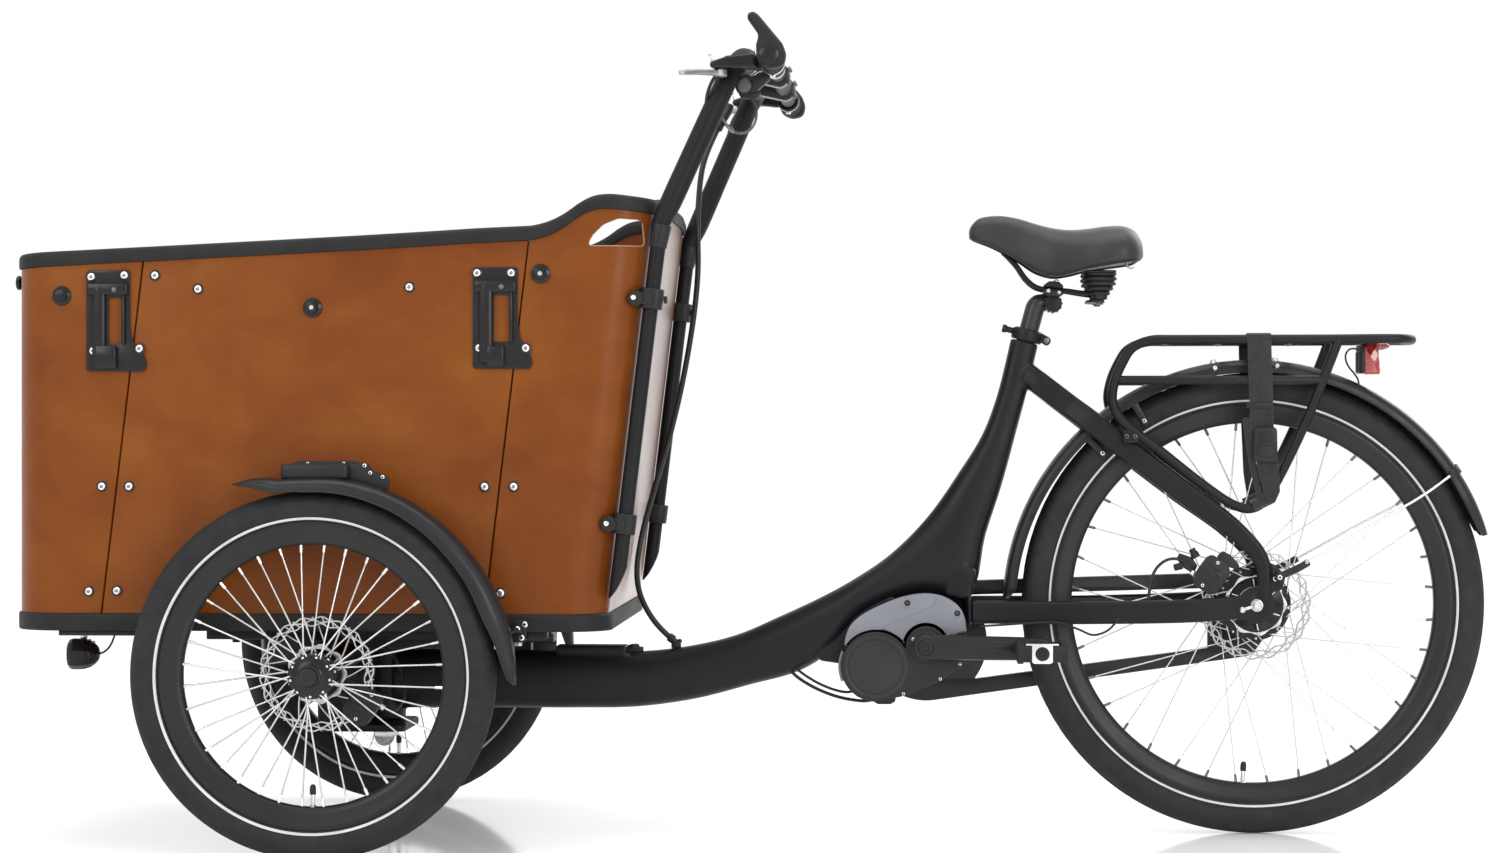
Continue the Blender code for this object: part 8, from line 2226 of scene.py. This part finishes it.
def guard_stays():
    turn = math.radians(33.5)
    d = Vector((math.cos(turn), 0, math.sin(turn)))
    n = Vector((-math.sin(turn), 0, math.cos(turn)))
    hub = Vector((0, 0, REAR_R))
    half = [(0.3340, -0.0318), (0.3400, -0.0316), (0.3450, -0.0303), (0.3500, -0.0250), (0.3535, -0.0160)]
    clip = smooth([hub + d * r + Vector((0, y, 0)) for r, y in half] + [hub + d * 0.3545] + [hub + d * r + Vector((0, -y, 0)) for r, y in reversed(half)], 4)
    made, knob = Solid(), Solid()
    band = Solid().add(sweep(clip, round_rect(0.0060, 0.0006, 0.0004, 2), n))
    piece("mudguard_stay_clip", band, GUARD, "rear_frame", (), 35)
    for s in (-1, 1):
        end = hub + d * 0.3380 + Vector((0, s * 0.0340, 0))
        route = [(0.0360, s * 0.0775, 0.3762), (0.0560, s * 0.0770, 0.3845), (0.0800, s * 0.0720, 0.3980), (0.1600, s * 0.0540, 0.4440), (0.2400, s * 0.0375, 0.4890), tuple(end)]
        made.add(tube(route, 0.0021, 16, 6, ends=0.001))
        knob.add(lathe([(0, -0.0012), (0.0048, -0.0012), (0.0048, 0.0012), (0.0036, 0.0026), (0, 0.0028)], end, (0, s, 0), 20))
    piece("mudguard_stay_wires", made, STEEL, "rear_frame", ["mudguard_stays"], 35)
    piece("mudguard_stay_knobs", knob, PLASTIC, "rear_frame", (), 35)
    sleeves = Solid()
    for s in (-1, 1):
        sleeves.add(tube([(0.0300, s * 0.0775, 0.3738), (0.0440, s * 0.0775, 0.3795), (0.0600, s * 0.0765, 0.3868), (0.0720, s * 0.0738, 0.3936)], 0.0052, 20, 5, ends=0.0016))
        sleeves.add(lathe([(0, -0.0050), (0.0066, -0.0050), (0.0072, -0.0030), (0.0072, 0.0030), (0.0066, 0.0048), (0, 0.0048)], (0.0320, s * 0.0765, 0.3730), (0, 1, 0), 28))
    piece("mudguard_stay_sleeves", sleeves, PLASTIC, "rear_frame", (), 35)
    tip = Solid()
    for s in (-1, 1):
        tip.add(screw((0.0700, s * 0.0790, 0.3945), (0, s, 0), 0.0026, 0.0016, True, 16))
        tip.add(screw((0.0320, s * 0.0812, 0.3730), (0, s, 0), 0.0038, 0.0022, True, 20))
    piece("mudguard_stay_screws", tip, ZINC, "rear_frame", (), 35)


guard_stays()


# ------------------------------------------------------------------ rack, strap and rear light
def rack():
    y, r = 0.0610, 0.0068
    loop = [
        (-0.118, 0.7120), (-0.150, 0.7110), (-0.176, 0.7000), (-0.190, 0.6790), (-0.2005, 0.6540), (-0.2045, 0.6270),
        (-0.1970, 0.6040), (-0.1760, 0.5830), (-0.1440, 0.5590), (-0.0730, 0.5030), (-0.0360, 0.4780), (-0.0130, 0.4700),
        (0.0050, 0.4750), (0.0225, 0.4970), (0.0690, 0.5900), (0.1010, 0.6690), (0.1170, 0.7110),
    ]
    made = Solid()
    for s in (-1, 1):
        made.add(tube([(x, s * y, z) for x, z in loop], r, 22, 5, ends=0.001))
        made.add(rod((-0.1960, s * y, 0.6540), (0.0960, s * y, 0.6540), r * 0.95, 22, 0.001))
        made.add(box(-0.1905, -0.1655, *sorted((s * 0.0582, s * 0.0664)), 0.5640, 0.5835, 0.004, 0.0012))
    tail = [(-0.130, -y, 0.7120), (-0.02, -y, 0.7122), (0.120, -y, 0.7125), (0.188, -y, 0.7130), (0.208, -0.0560, 0.7128), (0.2215, -0.0400, 0.7124), (0.2260, -0.0180, 0.7120)]
    tail = tail + [(0.2266, 0.0, 0.7120)] + [(x, -q, z) for x, q, z in reversed(tail)]
    made.add(tube(tail, r, 22, 5, ends=0.002))
    for x in (-0.1225, -0.045, 0.058, 0.119):
        made.add(rod((x, -y - 0.001, 0.7120), (x, y + 0.001, 0.7120), 0.0050, 18, 0.0005))
        for s in (-1, 1):
            made.add(lathe([(0, -0.004), (0.0060, -0.0036), (0.0072, 0.0), (0.0060, 0.0036), (0, 0.004)], (x, s * (y - 0.0065), 0.7120), (0, 1, 0), 20))
    made.add(slab(outline([(-0.0450, -0.0060), (0.0580, -0.0060), (0.0580, 0.0060), (-0.0450, 0.0060)], 0.004, 4), 0.7075, 0.7105, "Z", 0.0006))
    piece("rack_tubes", made, FRAME, "rear_frame", ["rear_rack"], 40)
    heads = Solid()
    for s in (-1, 1):
        for x, z in ((-0.1840, 0.5735), (-0.1720, 0.5735)):
            heads.add(screw((x, s * 0.0662, z), (0, s, 0), 0.0036, 0.0022, True, 20))
    piece("rack_bolts", heads, DARK_STEEL, "rear_frame", (), 35)


rack()


def strap():
    y = 0.0690
    made = Solid()
    for s in (-1, 1):
        lo, hi = sorted((s * (y - 0.0009), s * (y + 0.0009)))
        if s < 0:
            made.add(slab(outline([(-0.0132, 0.7195), (-0.0110, 0.6500), (-0.0085, 0.5800), (0.0245, 0.5800), (0.0225, 0.6500), (0.0208, 0.7195)], 0.0015, 3), lo, hi, "Y", 0.0006))
            made.add(slab(outline([(-0.0020, 0.5480), (0.0040, 0.5150), (0.0120, 0.4900), (0.0180, 0.4780), (0.0260, 0.4790), (0.0330, 0.4950), (0.0320, 0.5200), (0.0300, 0.5480)], 0.0030, 4), lo - 0.0022, hi - 0.0022, "Y", 0.0006))
            made.add(slab(outline([(-0.0200, 0.6000), (-0.0190, 0.5900), (-0.0100, 0.5300), (0.0010, 0.4850), (0.0080, 0.4790), (0.0060, 0.5000), (-0.0010, 0.5400), (-0.0085, 0.6000)], 0.0020, 4), lo + 0.0020, hi + 0.0020, "Y", 0.0006))
        else:
            made.add(slab(outline([(-0.0132, 0.7195), (-0.0110, 0.6300), (-0.0060, 0.5200), (0.0000, 0.4800), (0.0200, 0.4800), (0.0225, 0.5200), (0.0220, 0.6300), (0.0208, 0.7195)], 0.0015, 3), lo, hi, "Y", 0.0006))
        made.add(lathe([(0.0074, -0.0150), (0.0092, -0.0150), (0.0092, 0.0150), (0.0074, 0.0150)], (0.0085, s * 0.0610, 0.4800), (0.90, 0, 0.44), 36, True))
    over = smooth([(0.0038, -y, 0.7120), (0.0038, -y, 0.7160), (0.0038, -0.0668, 0.7196), (0.0038, -0.0610, 0.7205), (0.0038, -0.0400, 0.7190), (0.0038, 0.0, 0.7182), (0.0038, 0.0400, 0.7190), (0.0038, 0.0610, 0.7205), (0.0038, 0.0668, 0.7196), (0.0038, y, 0.7160), (0.0038, y, 0.7120)], 5)
    made.add(sweep(over, round_rect(0.0170, 0.0010, 0.0008, 2), (1, 0, 0)))
    piece("rack_strap_web", made, WEB, "rear_frame", ["rack_strap"], 40)
    made = Solid()
    made.add(slab(outline([(-0.0052, 0.5380), (-0.0040, 0.5860), (0.0285, 0.5870), (0.0295, 0.5350)], 0.0060, 5), -0.0766, -0.0690, "Y", 0.0022))
    made.add(slab(outline([(0.0000, 0.5450), (0.0008, 0.5600), (0.0238, 0.5600), (0.0245, 0.5430)], 0.0040, 4), -0.0782, -0.0760, "Y", 0.0009))
    for k in range(5):
        made.add(sweep([(0.0030, -0.0768, 0.5660 + 0.0036 * k), (0.0220, -0.0768, 0.5660 + 0.0036 * k)], round_rect(0.0007, 0.0007, 0.0004, 2), (0, 1, 0), ends=0.0004))
    made.add(box(-0.0150, 0.0230, -0.0712, -0.0668, 0.6140, 0.6220, 0.0015, 0.0010))
    piece("rack_strap_buckle", made, PLASTIC, "rear_frame", (), 35)


strap()


def rear_lamp():
    lens_part = Solid().add(slab(outline([(0.1570, 0.7050), (0.1790, 0.7050), (0.1788, 0.6900), (0.1808, 0.6650), (0.1790, 0.6625), (0.1600, 0.6625), (0.1585, 0.6650)], 0.0014, 4), -0.0275, 0.0275, "Y", 0.0022))
    lens_part.add(slab(outline([(0.1600, 0.7070), (0.1905, 0.7070), (0.1945, 0.7045), (0.1935, 0.7010), (0.1850, 0.6975), (0.1600, 0.6975)], 0.0014, 4), -0.0265, 0.0265, "Y", 0.0020))
    piece("rear_light_lens", lens_part, lens("dark_red_lens", (0.34, 0.010, 0.012)), "rear_frame", ["rear_light"], 25)
    made = Solid()
    made.add(box(0.1525, 0.1600, -0.0282, 0.0282, 0.6640, 0.7050, 0.0030, 0.0020))
    made.add(box(0.1560, 0.1680, -0.0100, 0.0100, 0.6965, 0.7100, 0.0020, 0.0010))
    made.add(slab(outline([(0.1555, -0.0555), (0.1760, -0.0540), (0.1760, 0.0540), (0.1555, 0.0555)], 0.004, 4), 0.7060, 0.7085, "Z", 0.0008))
    for s in (-1, 1):
        made.add(box(0.1585, 0.1725, *sorted((s * 0.0535, s * 0.0560)), 0.7050, 0.7120, 0.0010, 0.0008))
        for k in range(6):
            made.add(box(0.1518, 0.1530, *sorted((s * (0.004 + 0.004 * k), s * (0.0055 + 0.004 * k))), 0.6660, 0.6950, 0.0002, 0.0001))
    piece("rear_light_housing", made, PLASTIC, "rear_frame", (), 35)
    glow = Solid()
    for k in range(5):
        glow.add(lathe([(0, -0.0006), (0.0026, -0.0006), (0.0026, 0.0004), (0.0016, 0.0012), (0, 0.0014)], (0.1798, -0.0180 + 0.0090 * k, 0.6800), (1, 0, 0), 16))
    piece("rear_light_domes", glow, lens("red_dome", (0.80, 0.02, 0.015), 0.05), "rear_frame", (), 45)
    bolts = Solid()
    for s in (-1, 1):
        bolts.add(bolt((0.1655, s * 0.0400, 0.7084), (0, 0, 1), 0.0036, 0.0032))
    piece("rear_light_bolts", bolts, ZINC, "rear_frame", (), 35)


rear_lamp()
cord("rear_light_wire", [(0.1550, 0.0, 0.6960), (0.1480, 0.0, 0.7000), (0.1400, 0.0, 0.6990), (0.1348, 0.0, 0.6920), (0.1352, 0.0, 0.6820), (0.1400, 0.0, 0.6725), (0.1470, 0.0, 0.6640), (0.1520, 0.0, 0.6560), (0.1540, 0.0, 0.6460)], 0.0013, "rear_frame")

# ------------------------------------------------------------------ front mudguards and their mounts
SKIRT = [(-5, 1.25), (22, 1.28), (40, 1.16), (55, 1.10), (66, 1.04), (80, 0.98), (90, 0.92), (98, 0.86), (103, 0.98), (106, 0.88), (109, 0.60), (114, 0.30)]
RISE = [(-5, 0.0), (10, -0.001), (25, -0.004), (40, -0.006), (60, -0.006), (80, -0.0065), (92, -0.0085), (99, -0.0070), (104, -0.0005), (108, 0.0030), (114, 0.0050)]


def along(rows, a):
    """Value at angle a between rows of angle and value."""
    for (a0, d0), (a1, d1) in zip(rows, rows[1:]):
        if a <= a1:
            t = max(0.0, (a - a0) / (a1 - a0))
            return d0 + (d1 - d0) * t * t * (3 - 2 * t)
    return rows[-1][1]


def round_hub(rows):
    """Points given as radius and angle round the front wheel's centre."""
    return [(FX + r * math.cos(math.radians(a)), 0.250 + r * math.sin(math.radians(a))) for r, a in rows]


for side_name, sgn in (("left", -1), ("right", 1)):
    guard((FX, 0.250), 0.2770, 0.0310, 0.0020, 113, -2.5, sgn * HALF_TRACK, "front_carrier", side_name + "_front_guard", [side_name + "_front_mudguard"], 12.0, 20.0, 0.08, lambda a: along(SKIRT, a), lambda a: along(RISE, a))
    made, heads = Solid(), Solid()
    lo, hi = sorted((sgn * 0.3106, sgn * 0.3760))
    made.add(slab(outline([(-1.3460, sgn * 0.3106), (-1.2430, sgn * 0.3106), (-1.2500, sgn * 0.3760), (-1.3390, sgn * 0.3760)], 0.006, 4), 0.5285, 0.5320, "Z", 0.0010))
    made.add(slab(outline([(-1.3440, 0.5270), (-1.3380, 0.5400), (-1.2510, 0.5400), (-1.2450, 0.5270)], 0.0040, 4), *sorted((sgn * 0.3108, sgn * 0.3150)), "Y", 0.0010))
    made.add(slab(outline([(-1.3470, sgn * 0.3640), (-1.2470, sgn * 0.3640), (-1.2520, sgn * 0.3960), (-1.3420, sgn * 0.3960)], 0.006, 4), 0.5165, 0.5372, "Z", 0.0040))
    for x in (-1.3200, -1.2700):
        heads.add(screw((x, sgn * 0.3148, 0.5372), (0, sgn, 0), 0.0020, 0.0010, True, 16))
    arm = smooth([(-1.0350, sgn * 0.2900, 0.3000), (-1.0330, sgn * 0.3120, 0.3010), (-1.0290, sgn * 0.3400, 0.3060), (-1.0270, sgn * 0.3620, 0.3100)], 5)
    made.add(sweep(arm, round_rect(0.0080, 0.0016, 0.0010, 3), (1, 0, 0), ends=0.001))
    wing = round_hub([(0.2706, 84), (0.2870, 84), (0.2935, 78), (0.2972, 76.3), (0.2962, 75.0), (0.2898, 73.4), (0.2896, 69.4), (0.2860, 68.4), (0.2706, 67.5)])
    made.add(slab(outline(wing, 0.0012, 3), *sorted((sgn * 0.3792, sgn * 0.3832)), "Y", 0.0008))
    made.add(slab(outline([(-1.0350, 0.2935), (-1.0160, 0.2935), (-1.0118, 0.3235), (-1.0310, 0.3245)], 0.004, 4), *sorted((sgn * 0.3436, sgn * 0.3466)), "Y", 0.0008))
    piece(side_name + "_guard_bracket", made, PLASTIC, "front_carrier", (), 35)
    for x, z in ((-1.2300, 0.5346), (-1.2222, 0.5246), (-1.2054, 0.5192)):
        heads.add(screw((x, sgn * 0.3832, z), (0, sgn, 0), 0.0030, 0.0018, True, 16))
    for x, z in ((-1.0165, 0.3183), (-1.0207, 0.3003), (-1.0265, 0.3119)):
        heads.add(screw((x, sgn * 0.3466, z), (0, sgn, 0), 0.0044, 0.0034, True, 20))
    piece(side_name + "_guard_screws", heads, ZINC, "front_carrier", (), 35)

# round reflector between the spokes of the far front wheel
made = Solid().add(lathe([(0, -0.0035), (0.0150, -0.0035), (0.0160, -0.0020), (0.0160, 0.0020), (0.0150, 0.0035), (0, 0.0038)], (FX - 0.0227, HALF_TRACK, 0.0998), (0, 1, 0), 40))
piece("spoke_reflector", made, lens("grey_reflector", (0.42, 0.42, 0.42), 0.16), "right_front_wheel", (), 45)


# ------------------------------------------------------------------ CAD nodes that stay, with better materials
FINISH = {
    "frame_black": FRAME, "plastic_black": PLASTIC, "tyre": TYRE, "rim_black": RIM, "steel": STEEL, "silver": SILVER, "wood": WOOD,
    "rubber": RUBBER, "saddle": SADDLE, "red_lens": RED, "webbing": WEB,
}
for part in frame["record"]["subparts"]:
    shown = frame["nodes"][part["node"]]
    finish = FINISH[part["material_slot"]]
    if not shown.material_slots:
        shown.data.materials.append(finish)
    for held in shown.material_slots:
        held.link = "OBJECT"
        held.material = finish


# ------------------------------------------------------------------ floor, light and camera
def stage_plane(name, size, z, mat):
    mesh = bpy.data.meshes.new(name)
    mesh.from_pydata([(-size, -size, z), (size, -size, z), (size, size, z), (-size, size, z)], [], [(0, 1, 2, 3)])
    made = bpy.data.objects.new(name, mesh)
    bpy.context.scene.collection.objects.link(made)
    mesh.materials.append(mat)
    return made


ground = Nodes("studio_floor")
ground.colour(ground.ramp(ground.noise(1.5, 2.0), (0.3, (0.960, 0.960, 0.960)), (0.7, (0.975, 0.975, 0.975))))
ground.rough(ground.span(ground.noise(3.0, 3.0), 0.3, 0.7, 0.075, 0.095))
ground.set(Specular_IOR_Level=0.56, Emission_Color=(1.0, 1.0, 1.0, 1.0), Emission_Strength=0.07)
stage_plane("studio_ground", 30.0, 0.0, ground.mat)

world = bpy.data.worlds.new("studio")
world.use_nodes = True
world.node_tree.nodes["Background"].inputs["Color"].default_value = (1.0, 1.0, 1.0, 1.0)
world.node_tree.nodes["Background"].inputs["Strength"].default_value = 1.0
bpy.context.scene.world = world


def softbox(name, pos, aim, size, power):
    lamp = bpy.data.lights.new(name, "AREA")
    lamp.shape = "RECTANGLE"
    lamp.size, lamp.size_y = size
    lamp.energy = power
    made = bpy.data.objects.new(name, lamp)
    made.location = pos
    made.rotation_euler = (Vector(aim) - Vector(pos)).to_track_quat("-Z", "Y").to_euler()
    bpy.context.scene.collection.objects.link(made)
    return made


softbox("top_softbox", (0.1, -0.4, 3.4), (0.0, 0.0, 0.5), (4.0, 2.4), 70.0)
softbox("front_left_softbox", (-2.6, -3.6, 2.3), (-0.2, 0.0, 0.5), (2.2, 1.8), 46.0)
softbox("front_right_softbox", (2.3, -3.6, 1.5), (-0.35, 0.0, 0.55), (1.6, 1.8), 52.0)
softbox("rear_right_softbox", (2.6, 2.8, 2.6), (0.0, 0.0, 0.5), (2.0, 2.0), 35.0)

camera = bpy.data.cameras.new("photo_view")
camera.lens = 82.08
camera.sensor_width = 36.0
shot = bpy.data.objects.new("photo_view", camera)
shot.location = (-0.474 + REAR_AXLE_X, -4.979, 0.5876)
shot.rotation_euler = (math.pi / 2, 0.0, math.radians(2.911))
bpy.context.scene.collection.objects.link(shot)
bpy.context.scene.camera = shot
bpy.context.scene.view_settings.view_transform = "Standard"
bpy.context.scene.view_settings.look = "None"
